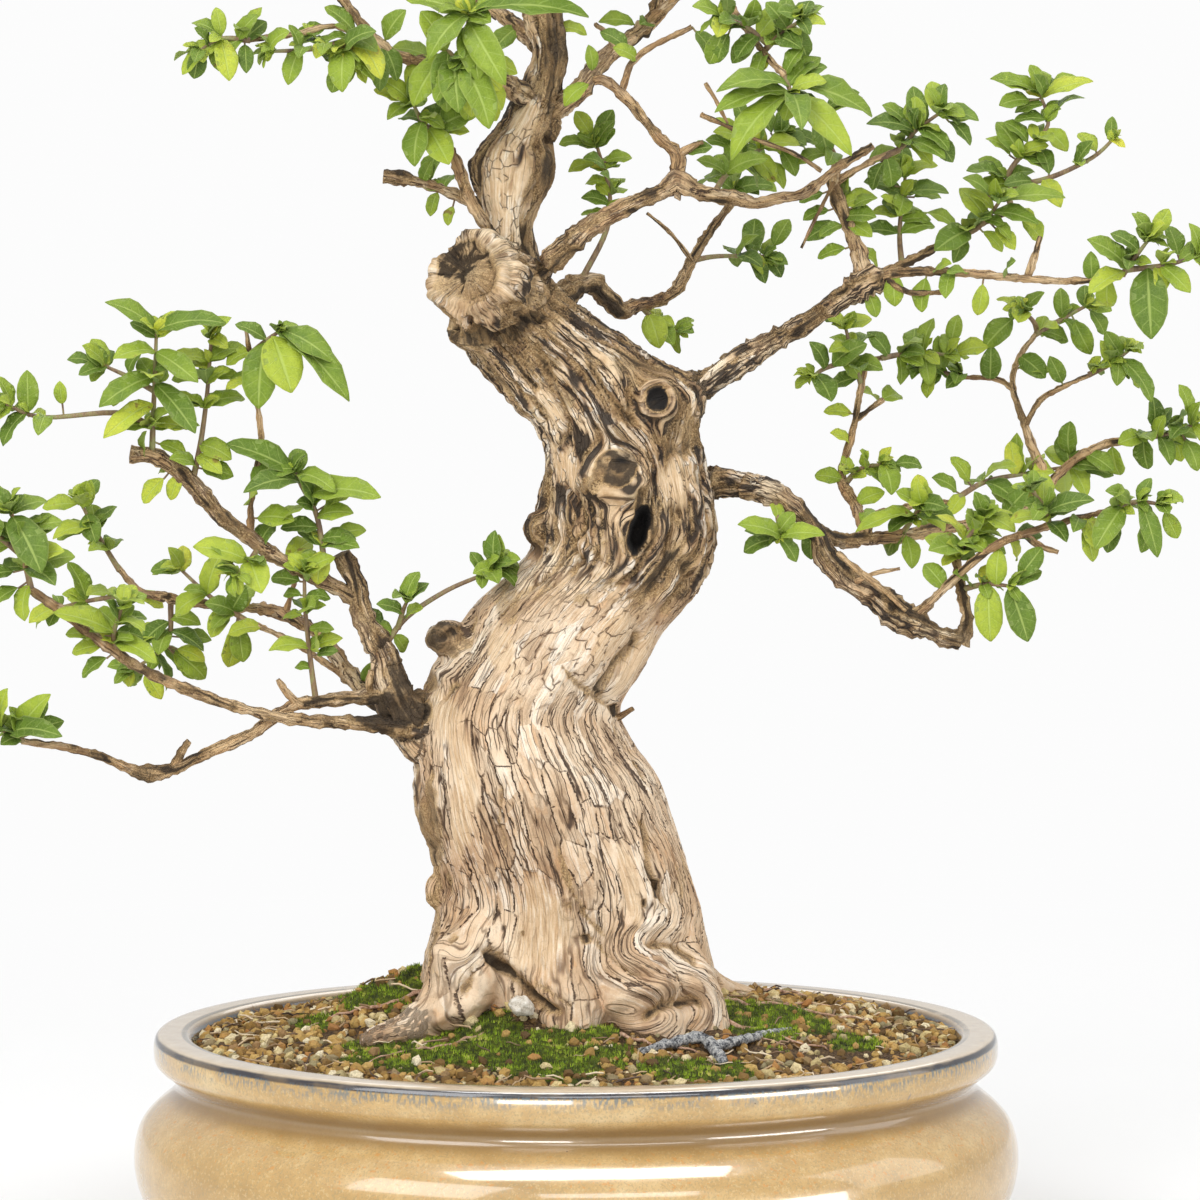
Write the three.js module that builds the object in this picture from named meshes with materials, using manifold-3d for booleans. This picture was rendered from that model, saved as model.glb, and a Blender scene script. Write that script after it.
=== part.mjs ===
// Japanese honeysuckle bonsai in an oval glazed pot. Millimetres, +Z up, the front of the tree faces -Y.
// The trunk with its limbs is one grown piece. Each leafy shoot with its opposite leaves is a piece of its own.
import * as THREE from 'three';
import Module from 'manifold-3d';

const wasm = await Module();
wasm.setup();
const { Manifold } = wasm;
const { Vector3 } = THREE;

// Pot
const RIM_HALF_LENGTH = 191.5;
const RIM_HALF_DEPTH = 153;
const POT_HEIGHT = 105;
const POT_SIDES = 26;
const FLOOR_UNDERSIDE = 10;
const FLOOR_TOP = 20;
const FOOT_OUTSET = -24;
const FOOT_FLARE = 5;
const FOOT_WIDTH = 20;
const FOOT_GAP_LENGTH = 160;
const FOOT_GAP_DEPTH = 100;
const DRAIN_RADIUS = 11;
const DRAIN_X = 72;
const DRAIN_SIDES = 10;
// How far a cutting body runs past the surface that it opens, and a length that is wider than the whole pot.
const PAST = 1;
const PAST_POT = 500;
// Outside of the wall from the lip down: how far out from the rim's outer oval, and how high.
const POT_OUTSIDE = [
  [-4, 105], [-0.5, 102], [-0.8, 92], [-10, 84], [-8.5, 79], [1, 70], [8, 59], [9, 44], [3.5, 27], [-5, 16],
  [-17, FLOOR_UNDERSIDE],
];
// Inside of the wall from the floor up.
const POT_INSIDE = [[-24, FLOOR_TOP], [-9, 30], [-2, 50], [-9, 68], [-20, 79], [-20.5, 92], [-15, 104.4]];
const MOUTH_OUTSET = -15;

// Soil: height and outset at the wall, gaps to the wall and the floor, and the rings towards the middle.
const SOIL_EDGE = 99;
const SOIL_OUTSET = -20.6;
const SOIL_GAP = 0.4;
const SOIL_CORNER_GAP = 0.8;
const SOIL_RINGS = [0.84, 0.66, 0.48, 0.26];
// Mounds: centre x and y, spread in x and y, height over the edge.
const MOUNDS = [
  [0, 0, 105, 88, 22],
  [-76, 18, 30, 34, 17],
  [-26, -38, 18, 18, 8],
  [95, 45, 45, 40, 6],
];

// Clearance between neighbouring pieces, and the thickness of a leaf blade.
const GAP = 0.35;
const BLADE = 0.7;

// Routes and outlines are given as they line up on the plane y = 0 for an eye in front of the tree.
const EYE = new Vector3(11, -1900, 436);
const UP = new Vector3(0, 0, 1);
const FRONT = new Vector3(0, -1, 0);
// Where the corners of a stem's first ring are counted from.
const RING_START = new Vector3(0.3, 0.9, 0.2);

// Trunk outline: left edge x, z; right edge x, z; depth of the middle; half depth.
const TRUNK = [
  [-56, 84, 60, 84, 6, 44], [-62, 102, 66, 100, 4, 50], [-64, 118, 66, 118, 2, 51],
  [-67, 140, 61, 140, 1, 50], [-62.5, 170, 54, 170, 0, 48],
  [-70.5, 201, 44.5, 201, 0, 49], [-72.5, 218, 37.5, 219, 0, 50], [-73, 235, 26, 235, 2, 49],
  [-71, 252, 19.5, 251, 4, 47], [-64, 270, 30, 268, 6, 45], [-54, 286, 38, 283, 7, 43],
  [-42.5, 300, 48, 296, 8, 41], [-30, 311, 57, 308, 8, 39.5], [-19.5, 324, 62, 320, 7, 38.5],
  [-17, 340, 64, 336, 6, 38], [-13.5, 364, 58.5, 360, 4, 36],
  [-18, 377.5, 57.5, 376, 2, 35], [-29, 388, 60, 389, 0, 34], [-39, 399, 51.5, 401.5, -2, 31],
  [-48, 411, 38, 408, -3, 28], [-54, 420, 21, 419.5, -3, 25], [-50, 430, 3, 431, -2, 21],
  [-42, 440, -8, 441, 0, 15],
];
const LEADER = [
  [-46, 428, -2, 434, 0, 17], [-42, 444, -12, 444, 0, 15], [-40, 456, -16.5, 456, 1, 13],
  [-40, 469, -17.5, 470, 2, 13], [-45, 481, -12, 480, 2, 14], [-48, 495, -6, 494, 2, 15.5],
  [-42, 504, -9.5, 504, 2, 14.5],
  [-34.5, 512, -9, 512, 2, 13], [-28, 526, -5.5, 526, 2, 12], [-24.5, 536, -3.5, 536, 2, 11.5],
  [-22.5, 546, -3, 546, 2, 11], [-26, 556, -4.5, 556, 2, 11], [-26, 568, -6, 568, 2, 10.5],
  [-22, 588, -5, 588, 1, 9], [-19, 610, -5.5, 610, 0, 7], [-13.5, 632, -3.5, 632, 0, 5],
  [-14.5, 650, -9.5, 650, 0, 3],
];
// Wood that leaves the trunk: x, z, depth, radius along each route.
const ROOTS = [
  [[-38, 152, -32, 12], [-50, 137, -40, 11], [-60, 123, -46, 9], [-70, 113, -51, 6.5], [-83, 106, -56, 4],
    [-98, 99, -62, 2.4]],
  [[-50, 160, 0, 13], [-55, 140, 2, 13], [-60, 120, 4, 12], [-70, 106, 8, 8], [-84, 96, 14, 5]],
  [[-44, 150, 22, 12], [-56, 130, 34, 11], [-70, 117, 44, 8], [-90, 106, 56, 4]],
  [[-10, 142, -40, 12], [-7, 124, -45, 12], [-6, 112, -50, 10], [-6, 100, -56, 6]],
  [[24, 146, -36, 12], [29, 126, -44, 12], [33, 112, -50, 9], [38, 98, -56, 5]],
  [[44, 138, -20, 11], [53, 124, -28, 9], [58, 112, -34, 7], [64, 100, -40, 5]],
  [[42, 140, 22, 12], [60, 126, 32, 8], [80, 120, 44, 5.5], [100, 117, 52, 4], [124, 111, 64, 2.6]],
  [[0, 142, 36, 14], [3, 124, 48, 12], [8, 112, 62, 8], [14, 104, 80, 4]],
];
const LIMBS = [
  // Sawn-off old limb facing the front, and the vine root that climbs past it.
  [[-18, 424, 6, 17], [-31, 434, -10, 21], [-41, 441, -22, 23], [-46, 444.5, -30, 22], [-48, 446, -34, 19]],
  [[-25, 445, -14, 3.4], [-37.5, 464, -17, 3.1], [-47.6, 480, -18, 3], [-54, 498, -18, 2.8],
    [-59, 504, -18, 1.8],
    [-66, 512, -18, 1.4]],
  [[-30, 470, 10, 4], [-50, 480, 26, 2.9], [-70, 487, 36, 2.6], [-79, 489, 38, 4.4], [-86, 489.5, 38, 3.2]],
  // Right shoulder limb and its forks.
  [[40, 384, 4, 13], [54, 395, -1, 9.6], [70, 405, -5, 7.4], [90, 417, -9, 5.6], [104, 425, -13, 5],
    [120, 436, -17, 5.6], [131, 443, -20, 7.8], [138, 446, -20, 4]],
  [[130, 441, -19, 5], [127, 455, -16, 3.8], [121, 470, -12, 3.2], [115.5, 485, -10, 3.1],
    [116, 496, -11, 2.1],
    [107, 517, -16, 1.4]],
  [[116, 487, -10, 1.9], [131, 495.6, -14, 1.6], [145, 501.5, -18, 1.4]],
  [[136, 444, -20, 3], [148, 447, -24, 2.4], [172, 446.7, -30, 2], [200.5, 444, -35, 1.8],
    [227, 443, -37, 1.6],
    [246, 446, -38, 1.4]],
  [[133, 444, -18, 3], [154, 454, 2, 2.1], [172, 464, 14, 1.8], [196, 475, 25, 1.5]],
  // Right lower limb, which drops to a gnarled elbow and turns up again.
  [[48, 350, 6, 10], [66, 352, 3, 7.2], [83, 349.5, -2, 6.2], [94, 345, -7, 5.5], [103, 337, -12, 5.2],
    [109, 328, -16, 5], [113, 318, -19, 5.6], [123, 308, -22, 6.3], [134, 302, -25, 6.4],
    [146, 293, -28, 8.6],
    [156, 288, -30, 5.5], [165, 283.4, -31, 4.5], [174, 281, -31, 5]],
  [[173, 280, -31, 4.6], [176.5, 290, -31, 3.2], [174.4, 301, -30, 2.8], [171, 318, -28, 2.2]],
  [[150, 291, -29, 4], [160, 299, -32, 2.4], [171, 310, -36, 2], [190, 325, -41, 1.9], [214, 333.5, -44, 1.7],
    [244, 341, -47, 1.4]],
  [[106, 331, -12, 4.4], [120, 326.5, 0, 3.6], [131, 327.7, 10, 3.3], [147, 329, 22, 3.2], [165, 332, 34, 3],
    [185, 335, 44, 2.7], [200, 340, 52, 2.5], [209, 346, 58, 2.8]],
  // Branches that rise behind the right lower limb.
  [[131, 328, 10, 3.2], [126, 342, 24, 3], [120.5, 351, 34, 2.9], [120.4, 361, 40, 2.2], [125, 379, 46, 1.8],
    [128, 396, 51, 1.5], [131, 406.5, 54, 1.4], [140, 409, 56, 1.3]],
  [[125.6, 381, 47, 1.5], [138, 390, 52, 1.3]],
  [[128, 336, 18, 2.6], [152, 342.4, 34, 1.6], [170, 344, 44, 1.4]],
  [[208, 344, 57, 3], [209.7, 355, 60, 2.9], [206, 366, 60, 2.4], [203, 374, 60, 2.2], [200, 383, 61, 1.8],
    [196, 397, 61, 1.5], [199, 409, 62, 1.4], [207, 420, 64, 1.3]],
  [[197, 394, 61, 1.5], [189, 399, 62, 1.3], [173, 400, 64, 1.2]],
  [[202, 379, 60, 1.7], [208, 389, 58, 1.5], [216, 394.5, 57, 1.4], [232, 401.7, 56, 1.2]],
  [[209, 347, 58, 2.4], [220.5, 360, 62, 2.2], [235, 369, 64, 2], [253, 373, 64, 1.7]],
  // Upright branch at the middle of the crown, with the long arm to the right.
  [[-22, 428, -6, 9], [-19, 442, -14, 7], [-10, 452, -19, 6.2], [2, 463, -22, 5.6], [10, 469, -24, 4.6],
    [24, 476.5, -27, 4.2], [38, 482.5, -29, 4.4], [46, 487, -30, 6], [53, 483, -31, 4], [62, 481, -32, 3.6],
    [71, 480, -33, 3.9], [81, 477.6, -34, 2.5], [91, 480, -36, 2.4], [103, 482.5, -38, 2.5],
    [117.5, 493.6, -41, 2.2], [133, 503.4, -44, 2]],
  [[45, 488, -30, 4], [45.5, 499, -30, 3.4], [37, 507, -31, 2.6], [26, 520.6, -32, 2.5],
    [13.5, 532, -32, 2.5],
    [8, 532, -32, 2.2]],
  [[20, 526, -32, 1.7], [28, 543, -30, 1.5], [52, 556, -32, 1.4]],
  [[-14, 508, 0, 7], [-9, 519, 2, 5.4], [3, 528.5, 4, 5], [9, 537.6, 6, 4.7], [16, 545, 9, 4.5],
    [33, 557, 16, 4],
    [37, 568, 18, 3.2], [40, 585, 22, 2.6], [48, 602, 26, 2]],
  [[32, 556, 16, 2.8], [44, 568, 10, 2.2], [58, 580, 4, 2], [66, 570, -14, 1.8], [79, 551, -40, 1.7],
    [88, 540, -54, 1.8], [94, 534, -60, 1.6]],
  // Branch behind the crown.
  [[-16, 428, 4, 9], [4, 442, 20, 5.2], [11, 438.5, 28, 4.8], [20, 430, 34, 5], [27, 431.5, 38, 3.6],
    [43, 437, 46, 3], [51, 450.6, 54, 2.7], [58.7, 463, 62, 2.5], [70, 478, 74, 1.8]],
  // Left limbs.
  [[-66, 236, -6, 13], [-78, 250, -12, 11], [-83.5, 264, -16, 9], [-86, 276, -18, 7], [-92, 285, -20, 6],
    [-97, 296, -21, 5.4], [-100, 310, -22, 5.2], [-105, 321, -24, 5]],
  [[-98, 300, -21, 4.2], [-107, 305, -22, 4], [-117, 310.5, -24, 4], [-133, 318.5, -28, 3.8],
    [-144, 326, -30, 3.8],
    [-160, 338.5, -33, 4], [-173, 353, -36, 3.9], [-188, 364, -39, 4], [-200, 366, -41, 4.2]],
  [[-146, 327, -30, 1.9], [-145.6, 346, -32, 1.5], [-141.5, 368, -33, 1.4], [-142, 383, -34, 1.4],
    [-148, 424.6, -36, 1.2]],
  [[-66, 240, -12, 8], [-85, 243, -20, 4.6], [-98, 244, -24, 3.4], [-127, 246, -32, 2.8],
    [-151, 251, -40, 2.7],
    [-177, 260, -50, 2.6], [-197, 269.5, -57, 2.5], [-215.5, 282.5, -64, 2.4], [-234, 297, -70, 2.2],
    [-247, 306, -75, 1.8]],
  [[-68, 252, -8, 7], [-85, 256, -15, 4.6], [-98, 256, -18, 3.6], [-114, 254, -22, 3.1],
    [-129, 251.5, -26, 2.9],
    [-145, 240, -32, 2.7], [-159, 233.5, -36, 2.6], [-172, 228, -40, 2.5], [-182, 223.5, -43, 3],
    [-193, 221.5, -46, 4.2], [-202, 224, -48, 2.4], [-214, 229, -51, 2], [-234, 234, -56, 1.8],
    [-250, 236, -60, 1.5]],
  [[-70, 246, 4, 8], [-92, 256, 18, 4.6], [-99, 263, 26, 4.2], [-107, 274, 36, 3.9], [-116, 285, 48, 3.6],
    [-132, 293.5, 60, 3.3], [-147, 296.5, 72, 2.8], [-173, 298.7, 88, 2.5], [-183, 301, 94, 3],
    [-196, 304, 101, 1.8],
    [-207, 316, 108, 1.4]],
  [[-97, 261, 24, 2.4], [-110, 269.6, 34, 1.7], [-124, 279, 44, 1.5], [-150.6, 292, 60, 1.3]],
  // High left limb.
  [[-16, 522, -4, 6], [-26, 528, -10, 5], [-40, 535, -19, 3.6], [-60, 540, -26, 2.9], [-79, 543, -32, 2.5],
    [-92.6, 554, -36, 2.3], [-103.6, 568, -40, 2.1], [-112, 580, -44, 1.7]],
  [[-86, 548, -34, 1.9], [-107, 556, -40, 1.5], [-123, 553, -44, 1.4], [-146, 550, -48, 1.2]],
  // Crown limbs to the back, left, right and front.
  [[-14, 556, 6, 5.5], [-10, 575, 30, 4], [-4, 590, 58, 3.2], [4, 600, 88, 2.4], [10, 612, 112, 1.7]],
  [[-16, 548, 8, 5], [-34, 562, 34, 3.6], [-56, 576, 60, 2.8], [-76, 588, 84, 1.8]],
  [[-10, 590, 0, 4.4], [14, 602, -4, 3.2], [40, 612, -10, 2.6], [66, 618, -16, 1.8]],
  [[-12, 598, 0, 4], [-36, 612, 2, 3], [-64, 622, 0, 2.2], [-88, 626, -2, 1.6]],
  [[-12, 575, -4, 4], [-8, 590, -30, 3], [-4, 602, -54, 2.4], [0, 610, -76, 1.6]],
  [[-8, 612, 4, 3.4], [14, 626, 30, 2.6], [34, 636, 52, 1.7]],
];
// Sides of a stem by how thick it is: over this radius, this many.
const WOOD_SIDES = [[14, 9], [4.3, 6], [2.6, 5], [0, 4]];
// A point of a route this close to the line between its neighbours is passed over.
const STRAIGHT_ENOUGH = 2;
const TRUNK_SIDES = 16;
const LEADER_SIDES = 9;
// Ribs that wind up the trunk: share of its width, how many, and the height in which they turn by a radian.
const RIBS = [[0.05, 3, 40], [0.03, 7, -30]];
const KNOT_ROWS = 3;
const KNOT_SIDES = 6;
// How far down its first row a swelling's flat top lies.
const KNOT_TOP = 0.15;
// Swellings on the wood: x, z, depth, then half width, half depth and half height.
const KNOTS = [
  [17, 356, -26, 16, 12, 14.5],
  [36.6, 390, -26, 11.5, 10, 11.5],
  [-58, 283, -6, 10, 12, 8],
  [-18, 332, -8, 6, 9, 9],
  [-62, 168, -6, 6, 9, 8],
  [-44, 421, -16, 16, 13, 10],
  [52, 147, -22, 12, 14, 9],
];
// Pale stone at the foot of the trunk, given as a swelling is.
const STONE = [-24.5, 115, -58, 5.5, 5, 4.5];
// Forked piece of dead root that lies in front.
const DEAD_ROOT = [
  [[29, 94.3, -82, 1.6], [42, 98, -76, 2.3], [56.3, 101, -68, 2.6], [62, 97, -76, 2.6], [67, 89.5, -92, 2.2]],
  [[62, 97, -76, 2.2], [72, 99, -66, 2.2], [84, 102, -46, 1.8], [97, 104.5, -28, 1.3]],
];
const DEAD_ROOT_SIDES = 6;

// Leafy sprays. Each has its shoots (route x, z, depth; leaf length; leaf pairs; where the pairs start, 0 to 1),
// then its largest leaves (from x, z to x, z; width; how far the tip leans in depth).
const SPRAYS = [
  ['left_tip', [
    [[[-190, 366, -40], [-189.5, 380, -43], [-188.5, 401, -46], [-187.7, 420, -48]], 20, 3, 0.2],
    [[[-190, 378, -43], [-206, 384, -48], [-239, 382, -56], [-256, 388, -60]], 18, 3, 0.72],
    [[[-189, 394, -45], [-200, 400, -41], [-211, 405, -38]], 23, 1, 1],
  ], [
    [-188, 420, -211.5, 434, 9, -8], [-188, 420, -155.5, 424, 10, -6], [-188, 411, -208, 408, 10, -12],
    [-188, 411, -168.5, 397, 11, -12], [-188.5, 400, -214.5, 386, 11, -12], [-188.5, 397, -170, 374, 12, -12],
    [-189, 388, -212.6, 372, 10, -14],
  ]],
  ['left_second', [
    [[[-172, 353, -36], [-168, 372, -33], [-165, 394.5, -31], [-163, 420, -30]], 17, 4, 0.5],
  ], [[-170, 365, -158, 356, 8, -8]]],
  ['left_third', [
    [[[-146, 410, -35], [-139, 416, -38], [-132, 421, -41]], 14, 1, 0.9],
  ], [
    [-136, 419, -127, 392, 18, -10], [-139, 416, -146.5, 388, 16, -14], [-132, 421, -107.5, 406, 12, -8],
    [-132, 421, -105, 388, 12, -16], [-139, 417, -153, 424, 8, 2],
  ]],
  ['left_fourth', [
    [[[-112, 309, -24], [-116, 337, -28], [-123, 351, -31], [-126, 358, -33]], 18, 3, 0.3],
  ], [
    [-125, 357, -157.6, 370.5, 12, -6], [-125, 356, -107, 348, 10, -12], [-121, 346, -86.5, 346, 13, -14],
    [-124, 352, -150, 348, 11, -18],
  ]],
  ['left_under', [
    [[[-142, 324, -29], [-147, 317, -37], [-153, 311, -44]], 16, 2, 0.5],
  ], [[-147, 317, -173, 324, 12, -6], [-147, 318, -141, 302, 13, -12]]],
  ['left_upright', [
    [[[-117, 254, -22], [-119, 269, -25], [-121.6, 294.5, -28], [-122, 314, -30]], 17, 3, 0.4],
  ], []],
  ['low_left', [
    [[[-206, 275, -60], [-208, 284, -64], [-204, 297, -67]], 18, 3, 0.25],
  ], [[-208, 285, -238, 295, 11, -6], [-207, 280, -188, 271, 10, -12]]],
  ['far_left', [
    [[[-245, 305, -75], [-249, 323, -77], [-254, 340, -80]], 20, 3, 0.25],
    [[[-249, 320, -77], [-262, 330, -82], [-276, 335, -86]], 20, 2, 0.5],
  ], [[-253, 338, -240, 311, 16, -14], [-248, 316, -229, 322, 12, -12]]],
  ['bottom_left', [
    [[[-249, 236, -60], [-258, 241, -64], [-270, 247, -68]], 21, 3, 0.1],
  ], [[-252, 238, -236, 258, 11, -8], [-254, 239, -224, 239, 11, -14]]],
  ['left_back_high', [
    [[[-205, 313, 106], [-214, 328, 108], [-222, 343, 106]], 21, 3, 0.3],
  ], []],
  ['left_back_far', [
    [[[-194, 303, 99], [-216, 300, 107], [-234, 296, 114]], 22, 3, 0.35],
  ], []],
  ['left_back_near', [
    [[[-149, 291, 59], [-164, 301, 70], [-178, 314, 78]], 20, 3, 0.15],
  ], []],
  ['left_back_low', [
    [[[-182, 300, 94], [-184, 280, 97], [-200, 268, 103]], 20, 3, 0.35],
  ], []],
  ['high_left_tip', [
    [[[-145, 550, -48], [-158, 550.5, -51], [-168, 545, -54]], 18, 3, 0.1],
  ], [[-157, 550, -176, 534, 10, -4], [-150, 550, -141, 562, 8, -4]]],
  ['high_left_mid', [
    [[[-98, 554, -38], [-101, 550, -45], [-103, 545, -50]], 18, 2, 0.4],
    [[[-101, 550, -45], [-118, 546, -48], [-136, 545, -52]], 15, 3, 0.3],
  ], [[-102, 547, -104, 526, 12, -8], [-100, 551, -86, 532, 12, -10]]],
  ['high_left_big', [
    [[[-44, 536, -21], [-48, 549, -33], [-47.5, 562, -43]], 20, 1, 1],
  ], [
    [-48, 561, -66, 541, 13, -14], [-48, 556, -43, 531, 14, -16], [-47.5, 559, -26, 529, 14, -12],
    [-47.5, 562, 7, 560, 13, -6], [-47.5, 561, -77, 569, 13, 4],
  ]],
  ['high_left_low', [
    [[[-62, 540, -26], [-57, 545, -37], [-51, 539, -46]], 16, 1, 1],
  ], [
    [-57, 545, -61, 520, 14, -12], [-54, 542, -52, 517, 15, -16], [-51, 539, -42, 510, 15, -14],
    [-58, 544, -73, 520, 13, -4],
  ]],
  ['leader_left', [
    [[[-63, 508, -18], [-69, 515, -21], [-72, 521, -24]], 15, 2, 0.4],
  ], [[-66, 511, -56, 494, 13, -10], [-68, 514, -72, 493, 12, -6]]],
  ['leader_right', [
    [[[3, 444, 20], [14, 466, 26], [15, 484, 30], [9, 505, 34]], 17, 4, 0.45],
  ], []],
  ['whorl', [
    [[[93, 535, -59], [95, 530, -62], [96, 526, -64]], 17, 1, 1],
  ], [
    [95.5, 529, 62, 527, 11, -14], [96, 527, 67, 518, 10, -22], [96, 526, 69, 496, 13, -14],
    [96, 526, 124, 498, 12, -12], [95, 530, 134, 516, 13, -6], [96, 526, 100, 502, 11, -20],
    [95, 530, 110, 543, 10, 8],
  ]],
  ['whorl_upper', [
    [[[84, 545, -47], [92, 553, -54], [101, 559, -60]], 17, 3, 0.2],
    [[[86, 548, -49], [76, 556, -52], [66, 560, -54]], 17, 2, 0.5],
  ], []],
  ['arm_back', [
    [[[62, 482, -31], [68, 491, -18], [80, 500, -8], [93, 508, 0]], 19, 4, 0.3],
  ], []],
  ['right_high', [
    [[[136, 497, -15], [146, 503, -20], [152, 510, -23], [163, 518, -27]], 19, 3, 0.3],
  ], [[163, 518, 181, 514, 9, -6], [151, 509, 129, 513, 9, -8], [148, 505, 166, 497, 10, -12]]],
  ['right_second', [
    [[[146, 450, -6], [145, 466, 2], [147.5, 491, 8]], 19, 4, 0.35],
  ], []],
  ['right_third', [
    [[[171, 463, 13], [179, 466, 8], [185, 472, 4], [190, 479, 0]], 19, 3, 0.2],
  ], [[189, 478, 220, 480, 9, -4], [176, 465, 160, 456, 13, -14], [186, 473, 208, 468, 9, -8]]],
  ['right_fourth', [
    [[[195, 474, 25], [193, 489, 24], [200.5, 500.5, 23], [211, 512.5, 22], [207, 527, 22]], 19, 5, 0.25],
    [[[194, 485, 24], [212, 489, 19], [231, 498, 14], [241, 507, 10]], 12, 2, 0.6],
  ], [[207, 526, 184, 533, 8, -4], [208, 524, 232, 532, 8, -4]]],
  ['right_end', [
    [[[245, 446, -38], [250, 453, -41], [256, 461, -43]], 16, 2, 0.3],
    [[[247, 448, -39], [264, 450, -41], [278, 454, -43]], 15, 2, 0.5],
  ], [
    [256, 449, 258, 416, 17, -10], [247, 448, 228, 462, 11, -6], [262, 450, 276, 437, 9, -6],
    [246, 447, 229, 437, 10, -12],
  ]],
  ['behind_low', [
    [[[30, 431, 40], [36, 425, 46], [46, 420, 52]], 15, 2, 0.4],
  ], [[33, 428, 38, 412, 12, -6]]],
  ['behind_far', [
    [[[52, 452, 55], [64, 454, 62], [86, 454, 74]], 20, 3, 0.6],
  ], []],
  ['behind_high', [
    [[[69, 477, 73], [73, 492, 80], [77, 506, 85]], 20, 3, 0.2],
  ], []],
  ['rise_top', [
    [[[128, 397, 51], [124, 410, 50], [121, 422, 48]], 18, 3, 0.25],
    [[[124, 408, 50], [112, 404, 46], [106, 400, 42]], 13, 1, 1],
  ], []],
  ['rise_side', [
    [[[137, 408.5, 55], [152, 411, 57], [167, 410, 59]], 17, 3, 0.3],
  ], []],
  ['rise_low', [
    [[[121, 352, 34], [128, 359, 28], [138, 361, 24]], 14, 3, 0.3],
  ], []],
  ['rise_back', [
    [[[169, 344, 43], [184, 353, 52], [204, 357, 62], [222, 360, 70]], 25, 3, 0.3],
  ], []],
  ['far_rise_left', [
    [[[174, 400, 64], [165, 402, 63], [155, 405, 62]], 16, 3, 0.1],
  ], []],
  ['far_rise_top', [
    [[[206, 419, 64], [218, 426, 66], [229, 432, 67]], 19, 3, 0.1],
    [[[207, 420, 64], [205, 425, 58], [200, 430, 54]], 17, 1, 1],
  ], []],
  ['far_rise_right', [
    [[[230, 401, 56], [240, 406, 54], [248, 412, 52]], 16, 3, 0.1],
  ], [[243, 408, 259, 388, 10, -8]]],
  ['far_rise_end', [
    [[[251, 373, 64], [265, 374, 62], [278, 379, 60]], 17, 4, 0.1],
  ], []],
  ['elbow_inner', [
    [[[147, 330, 22], [152, 337, 12], [156, 343, 4]], 18, 2, 0.5],
  ], [[153, 338, 125, 330, 8, -14], [153, 338, 172, 334, 10, -10]]],
  ['elbow_mid', [
    [[[171, 316, -28], [176, 327, -31], [184, 337, -33]], 18, 4, 0.15],
  ], [[174, 323, 158, 322, 12, -14]]],
  ['elbow_hang', [
    [[[175, 305, -30], [185, 307, -36], [196, 306, -42]], 13, 2, 0.4],
  ], [[186, 307, 187, 280, 13, -4], [195, 306, 204, 280, 13, -4]]],
  ['elbow_outer', [
    [[[213, 333, -44], [211, 341, -50], [205, 349, -55]], 17, 3, 0.2],
  ], [[212, 339, 234, 345, 10, -10]]],
  ['elbow_end', [
    [[[243, 341, -47], [252, 344, -50], [263, 343, -53]], 17, 3, 0.1],
  ], [[254, 344, 262, 318, 9, -6], [246, 342, 233, 322, 12, -10]]],
  ['trunk_front', [
    [[[90, 346, -6], [91, 336, -19], [92, 328, -26]], 9, 1, 1],
  ], [
    [92, 329, 75, 331, 7, -2], [92, 328, 72, 334, 10, -12], [91.5, 331, 99, 340, 8, 0],
    [92, 328, 113, 329, 9, -8],
  ]],
  ['trunk_left', [
    [[[-86, 279, -18], [-76, 292, -14], [-58, 304, -8], [-40, 312, -6], [-34, 317, -6]], 18, 2, 0.9],
    [[[-80, 287, -16], [-78, 294, -20], [-76, 299, -24]], 18, 1, 1],
  ], []],
  ['crown_top', [
    [[[-12, 649, 0], [-12, 662, -1], [-11, 676, -2]], 19, 4, 0.15],
  ], []],
  ['crown_back', [
    [[[10, 611, 111], [14, 622, 124], [18, 632, 134]], 21, 4, 0.1],
  ], []],
  ['crown_back_left', [
    [[[-75, 587, 83], [-88, 594, 94], [-100, 598, 102]], 21, 4, 0.1],
  ], []],
  ['crown_right', [
    [[[65, 618, -16], [80, 624, -20], [94, 628, -24]], 21, 4, 0.1],
  ], []],
  ['crown_left', [
    [[[-87, 626, -2], [-104, 630, -4], [-118, 632, -6]], 21, 4, 0.1],
  ], []],
  ['crown_front', [
    [[[0, 609, -75], [2, 618, -88], [4, 624, -98]], 21, 4, 0.1],
  ], []],
  ['crown_back_right', [
    [[[33, 635, 51], [44, 644, 62], [54, 650, 70]], 21, 4, 0.1],
  ], []],
  ['crown_fork', [
    [[[47, 601, 26], [58, 612, 30], [70, 618, 34]], 21, 4, 0.1],
  ], []],
  ['crown_high_left', [
    [[[-111, 579, -43], [-122, 590, -46], [-130, 600, -48]], 21, 4, 0.1],
  ], []],
];
// The shortest leaf that has a blade, and the shortest whose blade has two widths.
const LEAST_LEAF = 16.3;
const FULL_LEAF = 21.5;
// Blade outlines: the share of the length, and the half width there by the leaf's width.
const SMALL_OUTLINE = [[0.52, 0.5]];
const FULL_OUTLINE = [[0.36, 0.46], [0.74, 0.42]];
const TWIG_RADIUS = 1.4;
const TWIG_TAPER = 0.25;
const TWIG_SIDES = 3;
// The last pair stands just short of the shoot's tip.
const TOP_NODE = 0.96;
// How paired leaves sit: each spread is the whole range of a random draw.
const HABIT = {
  rollSpread: 0.9,
  lean: 0.35,
  tipLean: 0.75,
  leanSpread: 0.3,
  rise: -0.35,
  riseSpread: 0.45,
  faceUp: 0.6,
  faceFront: 0.5,
  faceOut: 0.2,
  faceSpread: 0.9,
  shortest: 0.74,
  lengthSpread: 0.42,
  tipLength: 0.85,
  width: 0.5,
  arch: 0.06,
  archSpread: 0.12,
};
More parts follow.
